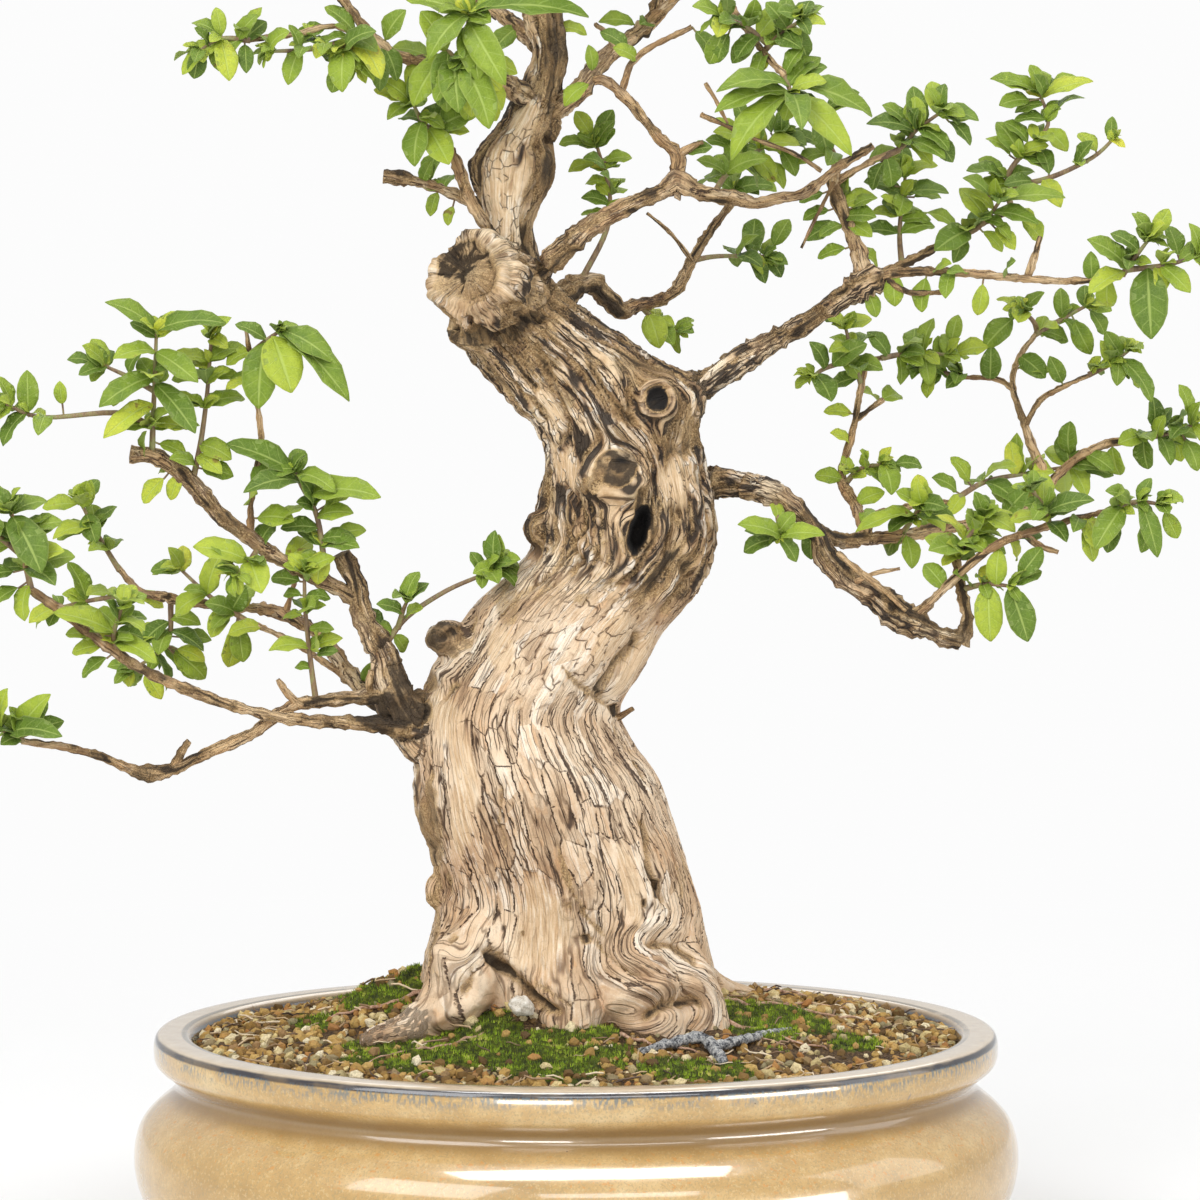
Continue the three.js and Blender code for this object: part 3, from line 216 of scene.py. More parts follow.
class Tree:
    """A node tree, of a material or of geometry, that is written as Python expressions."""

    def __init__(self, nodes_tree):
        self.tree = nodes_tree

    def node(self, kind, settings=None, sockets=None):
        """A node: its settings are set first, then the values or links of its sockets, by name or number."""
        made = self.tree.nodes.new(kind)
        for name, value in (settings or {}).items():
            if name == "stops":
                self.stops(made.color_ramp, value)
            else:
                setattr(made, name, value)
        for name, value in (sockets or {}).items():
            self.put(made.inputs[name], value)
        return made

    def stops(self, ramp, stops):
        while len(ramp.elements) < len(stops):
            ramp.elements.new(1)
        for element, (place, colour) in zip(ramp.elements, stops):
            element.position = place
            element.color = (*colour, 1)

    def put(self, socket, value):
        if isinstance(value, Value):
            self.tree.links.new(value.socket, socket)
        elif isinstance(value, bpy.types.NodeSocket):
            self.tree.links.new(value, socket)
        elif socket.type == "RGBA" and len(value) == 3:
            socket.default_value = (*value, 1)
        else:
            socket.default_value = value

    def sum(self, operation, *values):
        made = self.node("ShaderNodeMath", {"operation": operation}, dict(enumerate(values)))
        return Value(self, made.outputs[0])

    def vector(self, operation, *values):
        """A Vector Math node's vector."""
        made = self.node("ShaderNodeVectorMath", {"operation": operation}, dict(enumerate(values)))
        return made.outputs["Vector"]

    def measure(self, operation, *values):
        """A Vector Math node's number, such as a length or a dot product."""
        made = self.node("ShaderNodeVectorMath", {"operation": operation}, dict(enumerate(values)))
        return Value(self, made.outputs["Value"])

    def between(self, value, low, high, at_low=0.0, at_high=1.0):
        """Goes smoothly from at_low to at_high as value goes from low to high."""
        made = self.node("ShaderNodeMapRange", {"interpolation_type": "SMOOTHSTEP"},
                         {"Value": value, "From Min": low, "From Max": high,
                          "To Min": at_low, "To Max": at_high})
        return Value(self, made.outputs["Result"])

    def noise(self, vector, scale=1.0, detail=2.0, rough=0.5):
        return self.node("ShaderNodeTexNoise", None,
                         {"Vector": vector, "Scale": scale, "Detail": detail, "Roughness": rough})

    def grain_noise(self, vector, stretch, detail=2.0, rough=0.5):
        """Noise whose grains are stretch = (x, y, z) units long."""
        shrunk = self.vector("MULTIPLY", vector, tuple(1 / length for length in stretch))
        return Value(self, self.noise(shrunk, 1.0, detail, rough).outputs[0])

    def mix(self, share, first, second, blend="MIX"):
        """A colour between two colours."""
        made = self.node("ShaderNodeMix", {"data_type": "RGBA", "blend_type": blend, "clamp_factor": True})
        self.put(made.inputs[0], share)
        self.put(made.inputs[6], first)
        self.put(made.inputs[7], second)
        return made.outputs[2]

    def ramp(self, value, stops):
        return self.node("ShaderNodeValToRGB", {"stops": stops}, {"Fac": value}).outputs["Color"]


print("socket sums ready")


# %% Materials made of sums
def new_material(name):
    """A material with an empty Principled surface: the material, its tree and the Principled node."""
    material = bpy.data.materials.new(name)
    material.use_nodes = True
    surface = material.node_tree.nodes["Principled BSDF"]
    return material, Tree(material.node_tree), surface


def attribute(tree, name, output="Fac"):
    made = tree.node("ShaderNodeAttribute", {"attribute_name": name})
    return Value(tree, made.outputs[output]) if output == "Fac" else made.outputs[output]


def in_millimetres(tree):
    """Object coordinates in millimetres."""
    coordinates = tree.node("ShaderNodeTexCoord").outputs["Object"]
    return scaled(tree, coordinates, 1 / MM)


def scaled(tree, vector, factor):
    made = tree.node("ShaderNodeVectorMath", {"operation": "SCALE"}, {"Vector": vector, "Scale": factor})
    return made.outputs["Vector"]


def bumped(tree, surface, height, distance, strength=1.0):
    """Raises the surface by height times distance, in metres."""
    made = tree.node("ShaderNodeBump", None, {"Height": height, "Distance": distance, "Strength": strength})
    tree.put(surface.inputs["Normal"], made.outputs["Normal"])


def finished(tree, surface, colour, roughness, specular=0.5, sheen=0.0):
    """Gives a surface its colour and roughness, and sets how much it shines and how velvety it is."""
    tree.put(surface.inputs["Base Color"], colour)
    tree.put(surface.inputs["Roughness"], roughness)
    surface.inputs["Specular IOR Level"].default_value = specular
    surface.inputs["Sheen Weight"].default_value = sheen


# The floor meets the backdrop: away from the pot it fades into a plain glow of the backdrop's white.
FADE_FROM = 420
FADE_TO = 1150

floor_material, tree, surface = new_material("pale_floor")
place = in_millimetres(tree)
cloud = tree.grain_noise(place, (400, 400, 400))
finished(tree, surface, tree.mix(cloud, (0.86, 0.86, 0.86), (0.89, 0.89, 0.89)), 0.6, 0.1)
glow = tree.node("ShaderNodeEmission", None, {"Color": (1, 1, 1), "Strength": BACKDROP_STRENGTH}).outputs[0]
far = tree.between(tree.measure("LENGTH", place), FADE_FROM, FADE_TO)
floor_mix = tree.node("ShaderNodeMixShader", None, {"Fac": far, 1: surface.outputs["BSDF"], 2: glow})
material_end = floor_material.node_tree.nodes["Material Output"]
floor_material.node_tree.links.new(floor_mix.outputs["Shader"], material_end.inputs["Surface"])
floor.data.materials.append(floor_material)
print("floor material ready")
# %% [markdown]
# ## The tree's routes
# A tree is drawn as a sculptor's armature first: the two edges of the trunk, the routes of roots and limbs
# with their thickness, and the swellings where old limbs were cut. The leafy shoots have a list of their
# own further on.

# %% Trunk and leader
# Left edge x, z; right edge x, z; depth of the middle; half depth.
TRUNK = [
    [-56, 84, 62, 84, 4, 50], [-62, 102, 66, 100, 3, 52], [-64, 118, 65, 118, 2, 52],
    [-67, 140, 61, 140, 1, 50], [-62.5, 170, 54, 170, 0, 48], [-70.5, 201, 44.5, 201, 0, 49],
    [-72.5, 218, 37.5, 219, 0, 50], [-73, 235, 26, 235, 2, 49], [-71, 252, 19.5, 251, 4, 47],
    [-64, 270, 30, 268, 6, 45], [-54, 286, 38, 283, 7, 43], [-42.5, 300, 48, 296, 8, 41],
    [-30, 311, 57, 308, 8, 39.5], [-19.5, 324, 62, 320, 7, 38.5], [-17, 340, 64, 336, 6, 38],
    [-13.5, 364, 58.5, 360, 4, 36], [-18, 377.5, 57.5, 376, 2, 35], [-29, 388, 60, 389, 0, 34],
    [-39, 399, 51.5, 401.5, -2, 31], [-48, 411, 38, 408, -3, 28], [-54, 420, 21, 419.5, -3, 25],
    [-50, 430, 3, 431, -2, 21], [-42, 440, -8, 441, 0, 15],
]
LEADER = [
    [-46, 428, -2, 434, 0, 17], [-42, 444, -12, 444, 0, 15], [-40, 456, -16.5, 456, 1, 13],
    [-40, 469, -17.5, 470, 2, 13], [-45, 481, -12, 480, 2, 14], [-48, 495, -6, 494, 2, 15.5],
    [-42, 504, -9.5, 504, 2, 14.5], [-34.5, 512, -9, 512, 2, 13], [-28, 526, -5.5, 526, 2, 12],
    [-24.5, 536, -3.5, 536, 2, 11.5], [-22.5, 546, -3, 546, 2, 11], [-26, 556, -4.5, 556, 2, 11],
    [-26, 568, -6, 568, 2, 10.5], [-22, 588, -5, 588, 1, 9], [-19, 610, -5.5, 610, 0, 7],
    [-13.5, 632, -3.5, 632, 0, 5], [-14.5, 650, -9.5, 650, 0, 3],
]

# %% Roots and limbs
# x, z, depth, radius along each route.
ROOTS = [
    [[-32, 164, -20, 10], [-43, 146, -30, 14], [-50, 130, -36, 17], [-58, 116, -43, 14],
     [-74, 106, -52, 8], [-98, 99, -60, 3]],
    [[-50, 160, 0, 13], [-55, 140, 2, 13], [-60, 120, 4, 12], [-70, 106, 8, 8], [-84, 96, 14, 5]],
    [[-44, 150, 22, 12], [-56, 130, 34, 11], [-70, 117, 44, 8], [-90, 106, 56, 4]],
    [[-8, 150, -34, 10], [-6, 130, -40, 14], [-4, 114, -44, 15], [-2, 98, -48, 13]],
    [[20, 152, -30, 10], [26, 132, -40, 14], [32, 114, -44, 15], [38, 96, -46, 13]],
    [[40, 148, -18, 10], [48, 130, -24, 13], [54, 114, -29, 14], [60, 96, -34, 12]],
    [[42, 140, 22, 12], [60, 126, 32, 8], [80, 120, 44, 5.5], [100, 117, 52, 4], [124, 111, 64, 2.6]],
    [[0, 142, 36, 14], [3, 124, 48, 12], [8, 112, 62, 8], [14, 104, 80, 4]],
]
LIMBS = [
    # Sawn-off old limb facing the front, and the vine root that climbs past it.
    [[-18, 424, 6, 17], [-31, 434, -10, 21], [-41, 441, -22, 23], [-46, 444.5, -30, 22],
     [-48, 446, -34, 19]],
    [[-25, 445, -14, 3.4], [-37.5, 464, -17, 3.1], [-47.6, 480, -18, 3], [-54, 498, -18, 2.8],
     [-59, 504, -18, 1.8], [-66, 512, -18, 1.4]],
    [[-30, 470, 10, 4], [-50, 480, 26, 2.9], [-70, 487, 36, 2.6], [-79, 489, 38, 4.4],
     [-86, 489.5, 38, 3.2]],
    # Right shoulder limb and its forks.
    [[40, 384, 4, 13], [54, 395, -1, 9.6], [70, 405, -5, 7.4], [90, 417, -9, 5.6], [104, 425, -13, 5],
     [120, 436, -17, 5.6], [131, 443, -20, 7.8], [138, 446, -20, 4]],
    [[130, 441, -19, 5], [127, 455, -16, 3.8], [121, 470, -12, 3.2], [115.5, 485, -10, 3.1],
     [116, 496, -11, 2.1], [107, 517, -16, 1.4]],
    [[116, 487, -10, 1.9], [131, 495.6, -14, 1.6], [145, 501.5, -18, 1.4]],
    [[136, 444, -20, 3], [148, 447, -24, 2.4], [172, 446.7, -30, 2], [200.5, 444, -35, 1.8],
     [227, 443, -37, 1.6], [246, 446, -38, 1.4]],
    [[133, 444, -18, 3], [154, 454, 2, 2.1], [172, 464, 14, 1.8], [196, 475, 25, 1.5]],
    # Right lower limb, which drops to a gnarled elbow and turns up again.
    [[48, 350, 6, 10], [66, 352, 3, 7.2], [83, 349.5, -2, 6.2], [94, 345, -7, 5.5], [103, 337, -12, 5.2],
     [109, 328, -16, 5], [113, 318, -19, 5.6], [123, 308, -22, 6.3], [134, 302, -25, 6.4],
     [146, 293, -28, 8.6], [156, 288, -30, 5.5], [165, 283.4, -31, 4.5], [174, 281, -31, 5]],
    [[173, 280, -31, 4.6], [176.5, 290, -31, 3.2], [174.4, 301, -30, 2.8], [171, 318, -28, 2.2]],
    [[150, 291, -29, 4], [160, 299, -32, 2.4], [171, 310, -36, 2], [190, 325, -41, 1.9],
     [214, 333.5, -44, 1.7], [244, 341, -47, 1.4]],
    [[106, 331, -12, 4.4], [120, 326.5, 0, 3.6], [131, 327.7, 10, 3.3], [147, 329, 22, 3.2],
     [165, 332, 34, 3], [185, 335, 44, 2.7], [200, 340, 52, 2.5], [209, 346, 58, 2.8]],
    # Branches that rise behind the right lower limb.
    [[131, 328, 10, 3.2], [126, 342, 24, 3], [120.5, 351, 34, 2.9], [120.4, 361, 40, 2.2],
     [125, 379, 46, 1.8], [128, 396, 51, 1.5], [131, 406.5, 54, 1.4], [140, 409, 56, 1.3]],
    [[125.6, 381, 47, 1.5], [138, 390, 52, 1.3]],
    [[128, 336, 18, 2.6], [152, 342.4, 34, 1.6], [170, 344, 44, 1.4]],
    [[208, 344, 57, 3], [209.7, 355, 60, 2.9], [206, 366, 60, 2.4], [203, 374, 60, 2.2],
     [200, 383, 61, 1.8], [196, 397, 61, 1.5], [199, 409, 62, 1.4], [207, 420, 64, 1.3]],
    [[197, 394, 61, 1.5], [189, 399, 62, 1.3], [173, 400, 64, 1.2]],
    [[202, 379, 60, 1.7], [208, 389, 58, 1.5], [216, 394.5, 57, 1.4], [232, 401.7, 56, 1.2]],
    [[209, 347, 58, 2.4], [220.5, 360, 62, 2.2], [235, 369, 64, 2], [253, 373, 64, 1.7]],
    # Upright branch at the middle of the crown, with the long arm to the right.
    [[-22, 428, -6, 9], [-19, 442, -14, 7], [-10, 452, -19, 6.2], [2, 463, -22, 5.6], [10, 469, -24, 4.6],
     [24, 476.5, -27, 4.2], [38, 482.5, -29, 4.4], [46, 487, -30, 6], [53, 483, -31, 4],
     [62, 481, -32, 3.6], [71, 480, -33, 3.9], [81, 477.6, -34, 2.5], [91, 480, -36, 2.4],
     [103, 482.5, -38, 2.5], [117.5, 493.6, -41, 2.2], [133, 503.4, -44, 2]],
    [[45, 488, -30, 4], [45.5, 499, -30, 3.4], [37, 507, -31, 2.6], [26, 520.6, -32, 2.5],
     [13.5, 532, -32, 2.5], [8, 532, -32, 2.2]],
    [[20, 526, -32, 1.7], [28, 543, -30, 1.5], [52, 556, -32, 1.4]],
    [[-14, 508, 0, 7], [-9, 519, 2, 5.4], [3, 528.5, 4, 5], [9, 537.6, 6, 4.7], [16, 545, 9, 4.5],
     [33, 557, 16, 4], [37, 568, 18, 3.2], [40, 585, 22, 2.6], [48, 602, 26, 2]],
    [[32, 556, 16, 2.8], [44, 568, 10, 2.2], [58, 580, 4, 2], [66, 570, -14, 1.8], [79, 551, -40, 1.7],
     [88, 540, -54, 1.8], [94, 534, -60, 1.6]],
    # Branch behind the crown.
    [[-16, 428, 4, 9], [4, 442, 20, 5.2], [11, 438.5, 28, 4.8], [20, 430, 34, 5], [27, 431.5, 38, 3.6],
     [43, 437, 46, 3], [51, 450.6, 54, 2.7], [58.7, 463, 62, 2.5], [70, 478, 74, 1.8]],
    # Left limbs.
    [[-66, 236, -6, 13], [-78, 250, -12, 11], [-83.5, 264, -16, 9], [-86, 276, -18, 7], [-92, 285, -20, 6],
     [-97, 296, -21, 5.4], [-100, 310, -22, 5.2], [-105, 321, -24, 5]],
    [[-98, 300, -21, 4.2], [-107, 305, -22, 4], [-117, 310.5, -24, 4], [-133, 318.5, -28, 3.8],
     [-144, 326, -30, 3.8], [-160, 338.5, -33, 4], [-173, 353, -36, 3.9], [-188, 364, -39, 4],
     [-200, 366, -41, 4.2]],
    [[-146, 327, -30, 1.9], [-145.6, 346, -32, 1.5], [-141.5, 368, -33, 1.4], [-142, 383, -34, 1.4],
     [-148, 424.6, -36, 1.2]],
    [[-66, 240, -12, 8], [-85, 243, -20, 4.6], [-98, 244, -24, 3.4], [-127, 246, -32, 2.8],
     [-151, 251, -40, 2.7], [-177, 260, -50, 2.6], [-197, 269.5, -57, 2.5], [-215.5, 282.5, -64, 2.4],
     [-234, 297, -70, 2.2], [-247, 306, -75, 1.8]],
    [[-68, 252, -8, 7], [-85, 256, -15, 4.6], [-98, 256, -18, 3.6], [-114, 254, -22, 3.1],
     [-129, 251.5, -26, 2.9], [-145, 240, -32, 2.7], [-159, 233.5, -36, 2.6], [-172, 228, -40, 2.5],
     [-182, 223.5, -43, 3], [-193, 221.5, -46, 4.2], [-202, 224, -48, 2.4], [-214, 229, -51, 2],
     [-234, 234, -56, 1.8], [-250, 236, -60, 1.5]],
    [[-70, 246, 4, 8], [-92, 256, 18, 4.6], [-99, 263, 26, 4.2], [-107, 274, 36, 3.9],
     [-116, 285, 48, 3.6], [-132, 293.5, 60, 3.3], [-147, 296.5, 72, 2.8], [-173, 298.7, 88, 2.5],
     [-183, 301, 94, 3], [-196, 304, 101, 1.8], [-207, 316, 108, 1.4]],
    [[-97, 261, 24, 2.4], [-110, 269.6, 34, 1.7], [-124, 279, 44, 1.5], [-150.6, 292, 60, 1.3]],
    # High left limb.
    [[-16, 522, -4, 6], [-26, 528, -10, 5], [-40, 535, -19, 3.6], [-60, 540, -26, 2.9],
     [-79, 543, -32, 2.5], [-92.6, 554, -36, 2.3], [-103.6, 568, -40, 2.1], [-112, 580, -44, 1.7]],
    [[-86, 548, -34, 1.9], [-107, 556, -40, 1.5], [-123, 553, -44, 1.4], [-146, 550, -48, 1.2]],
    # Crown limbs to the back, left, right and front.
    [[-14, 556, 6, 5.5], [-10, 575, 30, 4], [-4, 590, 58, 3.2], [4, 600, 88, 2.4], [10, 612, 112, 1.7]],
    [[-16, 548, 8, 5], [-34, 562, 34, 3.6], [-56, 576, 60, 2.8], [-76, 588, 84, 1.8]],
    [[-10, 590, 0, 4.4], [14, 602, -4, 3.2], [40, 612, -10, 2.6], [66, 618, -16, 1.8]],
    [[-12, 598, 0, 4], [-36, 612, 2, 3], [-64, 622, 0, 2.2], [-88, 626, -2, 1.6]],
    [[-12, 575, -4, 4], [-8, 590, -30, 3], [-4, 602, -54, 2.4], [0, 610, -76, 1.6]],
    [[-8, 612, 4, 3.4], [14, 626, 30, 2.6], [34, 636, 52, 1.7]],
]
# Swellings on the wood: x, z, depth, then half width, half depth and half height.
KNOTS = [
    [17, 356, -26, 16, 12, 14.5], [36.6, 390, -26, 11.5, 10, 11.5], [-58, 283, -6, 10, 12, 8],
    [-18, 332, -8, 6, 9, 9], [-62, 168, -6, 6, 9, 8], [-44, 421, -16, 16, 13, 10],
]
print(len(ROOTS), "roots,", len(LIMBS), "limbs,", len(KNOTS), "swellings")

# %% [markdown]
# ## From routes to a body of wood
# Lofting rings along each route gives the trunk, its roots and the thick ends of the limbs as separate
# closed skins that run into each other. A voxel remesh melts them into one body with soft crotches, as wood
# grows, and gives it even small faces that can carry bark. The thin limbs stay lofted tubes, because a
# remesh would cost them their roundness.

# %% Smooth routes and rings
def eased(rows, steps):
    """The rows with smooth rows between them: a curve through every row, steps rows to a stretch."""
    rows = np.array(rows, float)
    ends = np.vstack([2 * rows[0] - rows[1], rows, 2 * rows[-1] - rows[-2]])
    before, start, end, after = ends[:-3], ends[1:-2], ends[2:-1], ends[3:]
    share = (np.arange(steps) / steps)[:, None, None]
    curve = 0.5 * (2 * start + (end - before) * share + (2 * before - 5 * start + 4 * end - after) * share ** 2
                   + (3 * start - before - 3 * end + after) * share ** 3)
    return np.vstack([curve.transpose(1, 0, 2).reshape(-1, rows.shape[1]), rows[-1:]])


def even_route(route, step):
    """A route's points, radii and lengths from its start, about step millimetres apart."""
    rows = eased(route, 12)
    points = np.array([seen(x, z, depth) for x, z, depth, _ in rows])
    lengths = np.concatenate([[0], np.cumsum(np.linalg.norm(np.diff(points, axis=0), axis=1))])
    count = max(3, int(lengths[-1] / step))
    places = np.linspace(0, lengths[-1], count + 1)
    even = np.column_stack([np.interp(places, lengths, points[:, axis]) for axis in range(3)])
    return even, np.interp(places, lengths, rows[:, 3]), places


def frames_along(points):
    """Tangents and two steady directions across them, for every point of a route."""
    tangents = np.gradient(points, axis=0)
    tangents /= np.linalg.norm(tangents, axis=1)[:, None]
    across = np.zeros_like(points)
    start = np.array([0.3, 0.9, 0.2])
    for i, tangent in enumerate(tangents):
        start = start - tangent * (start @ tangent)
        start /= np.linalg.norm(start)
        across[i] = start
    return tangents, across, np.cross(tangents, across)


def skin(rings):
    """Points and faces of a closed skin over rings, an array of rings by sides by 3."""
    count, sides = rings.shape[:2]
    faces = []
    for row in range(count - 1):
        for side in range(sides):
            a = row * sides + side
            b = row * sides + (side + 1) % sides
            faces.append((a, b, b + sides, a + sides))
    faces.append(tuple(range(sides))[::-1])
    faces.append(tuple(range((count - 1) * sides, count * sides)))
    return rings.reshape(-1, 3), faces


def mesh_of(name, parts):
    """One mesh in the frame from several (points, faces) given in millimetres from the pot's middle."""
    points, faces, start = [], [], 0
    for part_points, part_faces in parts:
        points.append(part_points)
        faces.extend(tuple(index + start for index in face) for face in part_faces)
        start += len(part_points)
    placed = (np.vstack(points) + np.array(POT_MIDDLE)) * MM
    mesh = bpy.data.meshes.new(name)
    mesh.from_pydata(placed.tolist(), [], faces)
    return mesh


def object_of(name, mesh):
    made = bpy.data.objects.new(name, mesh)
    bpy.context.scene.collection.objects.link(made)
    return made


def applied(thing):
    """Turns an object's modifiers into its plain mesh."""
    depsgraph = bpy.context.evaluated_depsgraph_get()
    mesh = bpy.data.meshes.new_from_object(thing.evaluated_get(depsgraph), preserve_all_data_layers=True,
                                           depsgraph=depsgraph)
    thing.modifiers.clear()
    thing.data = mesh
    return thing


def smoothed(thing):
    for face in thing.data.polygons:
        face.use_smooth = True


# %% Rings of the trunk
RIBS = [(0.05, 3, 40), (0.03, 7, -30)]
TRUNK_SIDES = 64
ROW_STEPS = 6


def trunk_rings(rows):
    """Rings of the trunk or the leader, and what is needed to find a point's place in their grain."""
    rings, samples, length, last = [], [], 0.0, None
    for left_x, left_z, right_x, right_z, depth, half_depth in eased(rows, ROW_STEPS):
        left, right = seen(left_x, left_z, depth), seen(right_x, right_z, depth)
        middle, half = (left + right) / 2, (right - left) / 2
        if last:
            length += (middle - last).length
        last = middle
        ring = []
        for side in range(TRUNK_SIDES):
            turn = side / TRUNK_SIDES * 2 * math.pi
            ribs = sum(share * math.sin(count * turn + middle.z / pitch) for share, count, pitch in RIBS)
            swell = 1 + ribs * math.sin(turn) ** 2
            deep = swell * half_depth * math.sin(turn)
            ring.append(middle + half * (swell * math.cos(turn)) - FRONT * deep)
        rings.append(ring)
        samples.append((middle, half.normalized(), -FRONT, half.length, half_depth, length))
    return np.array(rings), samples


def tube_rings(points, radii, sides):
    """Round rings along a route."""
    _, across, other = frames_along(points)
    turns = np.arange(sides) / sides * 2 * np.pi
    circle = np.cos(turns)[None, :, None] * across[:, None, :]
    circle = circle + np.sin(turns)[None, :, None] * other[:, None, :]
    return points[:, None, :] + radii[:, None, None] * circle


def swelling(x, z, depth, half_width, half_depth, half_height, rows=12, sides=20):
    """A closed rounded lump."""
    middle = np.array(seen(x, z, depth))
    tilts = np.linspace(0.06, 0.94, rows) * np.pi
    turns = np.arange(sides) / sides * 2 * np.pi
    ring = np.stack([np.outer(np.sin(tilts), np.cos(turns)) * half_width,
                     np.outer(np.sin(tilts), np.sin(turns)) * half_depth,
                     np.outer(np.cos(tilts), np.ones(sides)) * half_height], axis=2)
    return middle + ring


# %% Melt the thick wood into one body
THICK = 6.0
VOXEL = 1.52
LIMB_STEP = 1.7
THICK_STEP = 2.5
THICK_SIDES = 28
# The thick part of a limb is a little wider than its route at its foot, and narrower where the thin tube
# goes on.
THICK_SHARES = (1.03, 0.8)


def thick_points(route):
    """How many points of a limb, from its start, are too thick for a thin limb."""
    count = 0
    while count < len(route) and route[count][3] > THICK:
        count += 1
    return count


stems = []
parts = []
for rows in (TRUNK, LEADER):
    rings, samples = trunk_rings(rows)
    parts.append(skin(rings))
    stems.append(samples)
for route in ROOTS + LIMBS:
    count = len(route) if route in ROOTS else thick_points(route)
    if not count:
        continue
    points, radii, lengths = even_route(route[:count + 1], THICK_STEP)
    if count < len(route):
        radii = radii * np.linspace(*THICK_SHARES, len(radii))
    _, across, other = frames_along(points)
    parts.append(skin(tube_rings(points, radii, THICK_SIDES)))
    stems.append([(Vector(p), Vector(a), Vector(o), r, r, s)
                  for p, a, o, r, s in zip(points, across, other, radii, lengths)])
parts.extend(skin(swelling(*knot)) for knot in KNOTS)
trunk = object_of("trunk_wood", mesh_of("trunk_wood", parts))
remesh = trunk.modifiers.new("melt", "REMESH")
remesh.mode = "VOXEL"
remesh.voxel_size = VOXEL * MM
smooth = trunk.modifiers.new("settle", "SMOOTH")
smooth.factor = 0.5
smooth.iterations = 4
applied(trunk)
print("trunk:", len(trunk.data.vertices), "points,", len(trunk.data.polygons), "faces")

# %% [markdown]
# ## The grain
# Bark follows the grain, and the grain follows the stem and parts round a knot as water parts round a
# stone. Every point of the trunk gets a place in the grain: how far round its stem it is, and how far
# along. The place is stored as a vector that turns round a cylinder, so that it has no seam. Knots push it
# aside by the formula for a stream round a post.

# %% Places in the grain
# Knots that the grain flows round: x, z, radius.
GRAIN_POSTS = [(17, 356, 12), (36.6, 390.3, 10), (29, 331, 8), (-58, 283, 9), (-56, 143, 6)]
# Where the grain leans over into the right foot: x, z; half width, half height; tilt. Then how much it leans.
LEANING_GRAIN = (40, 128, 34, 26, 0)
GRAIN_LEAN = 0.8
# Knots and the lean turn only the grain in front of this depth.
FRONT_DEPTH = 15
# Each stem starts this far along the grain from the last, so that no two look alike.
STEM_STRETCH = 211.7
SETTLE_ROUNDS = 8
# Points whose grain is worked out at a time, to spare memory.
BATCH = 8000
# A root takes the trunk's grain until it is well clear of the trunk.
ROOT_RELUCTANCE = 2.4


def smooth_step(value, low, high):
    share = np.clip((value - low) / (high - low), 0, 1)
    return share * share * (3 - 2 * share)


def in_oval(x, z, middle_x, middle_z, half_x, half_z, tilt):
    """How many of its own radii a point is from the middle of a tilted oval."""
    turn = math.radians(tilt)
    right = (x - middle_x) * math.cos(turn) + (z - middle_z) * math.sin(turn)
    up = (z - middle_z) * math.cos(turn) - (x - middle_x) * math.sin(turn)
    return np.hypot(right / half_x, up / half_z)


def points_of(mesh):
    """A mesh's points from the pot's middle in millimetres, and its normals."""
    places = np.zeros(len(mesh.vertices) * 3)
    mesh.vertices.foreach_get("co", places)
    normals = np.zeros(len(mesh.vertices) * 3)
    mesh.vertex_normals.foreach_get("vector", normals)
    return places.reshape(-1, 3) / MM - np.array(POT_MIDDLE), normals.reshape(-1, 3)


def grain_of(points):
    """Each point's place in the grain of the stem that it belongs to, and the number of the stem."""
    rows = [(stem, *sample) for stem, samples in enumerate(stems) for sample in samples]
    centre, right, back = (np.array([row[i] for row in rows]) for i in (1, 2, 3))
    half, deep, length = (np.array([row[i] for row in rows]) for i in (4, 5, 6))
    stem = np.array([row[0] for row in rows])
    along = np.cross(right, back)
    girth = np.array([np.mean([sample[3] for sample in samples]) for samples in stems])[stem]
    grain = np.zeros_like(points)
    owner = np.zeros(len(points), dtype=np.int64)
    for start in range(0, len(points), BATCH):
        here = slice(start, start + BATCH)
        part = points[here]
        front = part[:, 1] < FRONT_DEPTH
        offsets = [(part @ way.T - np.sum(way * centre, axis=1)) for way in (right, back, along)]
        away = (offsets[0] / half) ** 2 + (offsets[1] / deep) ** 2 + (offsets[2] / (0.35 * half)) ** 2
        away = np.where((stem >= 2) & (stem < 2 + len(ROOTS)), ROOT_RELUCTANCE, 1.0) * away
        best = np.argmin(away, axis=1)
        row = np.arange(len(part))
        turn = np.arctan2(offsets[1][row, best] / deep[best], offsets[0][row, best] / half[best])
        height = length[best] + offsets[2][row, best]
        around = turn * girth[best]
        x, z = lines_up(part)
        for post_x, post_z, radius in GRAIN_POSTS:
            far = np.maximum((x - post_x) ** 2 + (z - post_z) ** 2, radius ** 2)
            around = around - radius ** 2 * (x - post_x) / far * front
        leaning = smooth_step(in_oval(x, z, *LEANING_GRAIN), 1.2, 0.5) * front
        around = around + GRAIN_LEAN * leaning * (z - LEANING_GRAIN[1])
        turn = around / girth[best]
        owner[here] = stem[best]
        grain[here] = np.column_stack([girth[best] * np.cos(turn), girth[best] * np.sin(turn),
                                       height + STEM_STRETCH * stem[best]])
    return grain, owner


def lattice_noise(points, seed):
    """Smooth random values from -1 to 1, one lattice cell to a unit."""
    cell = np.floor(points).astype(np.int64)
    part = points - cell
    part = part * part * (3 - 2 * part)
    total = np.zeros(len(points))
    for corner in np.ndindex(2, 2, 2):
        key = (cell + corner) @ np.array([73856093, 19349663, 83492791]) + 2654435761 * seed
        key = (key ^ (key >> 13)) * 1274126177 & 0xFFFFFFFF
        key = (key ^ (key >> 16)) & 0xFFFF
        total += (key / 32767.5 - 1) * np.prod(np.where(corner, part, 1 - part), axis=1)
    return total


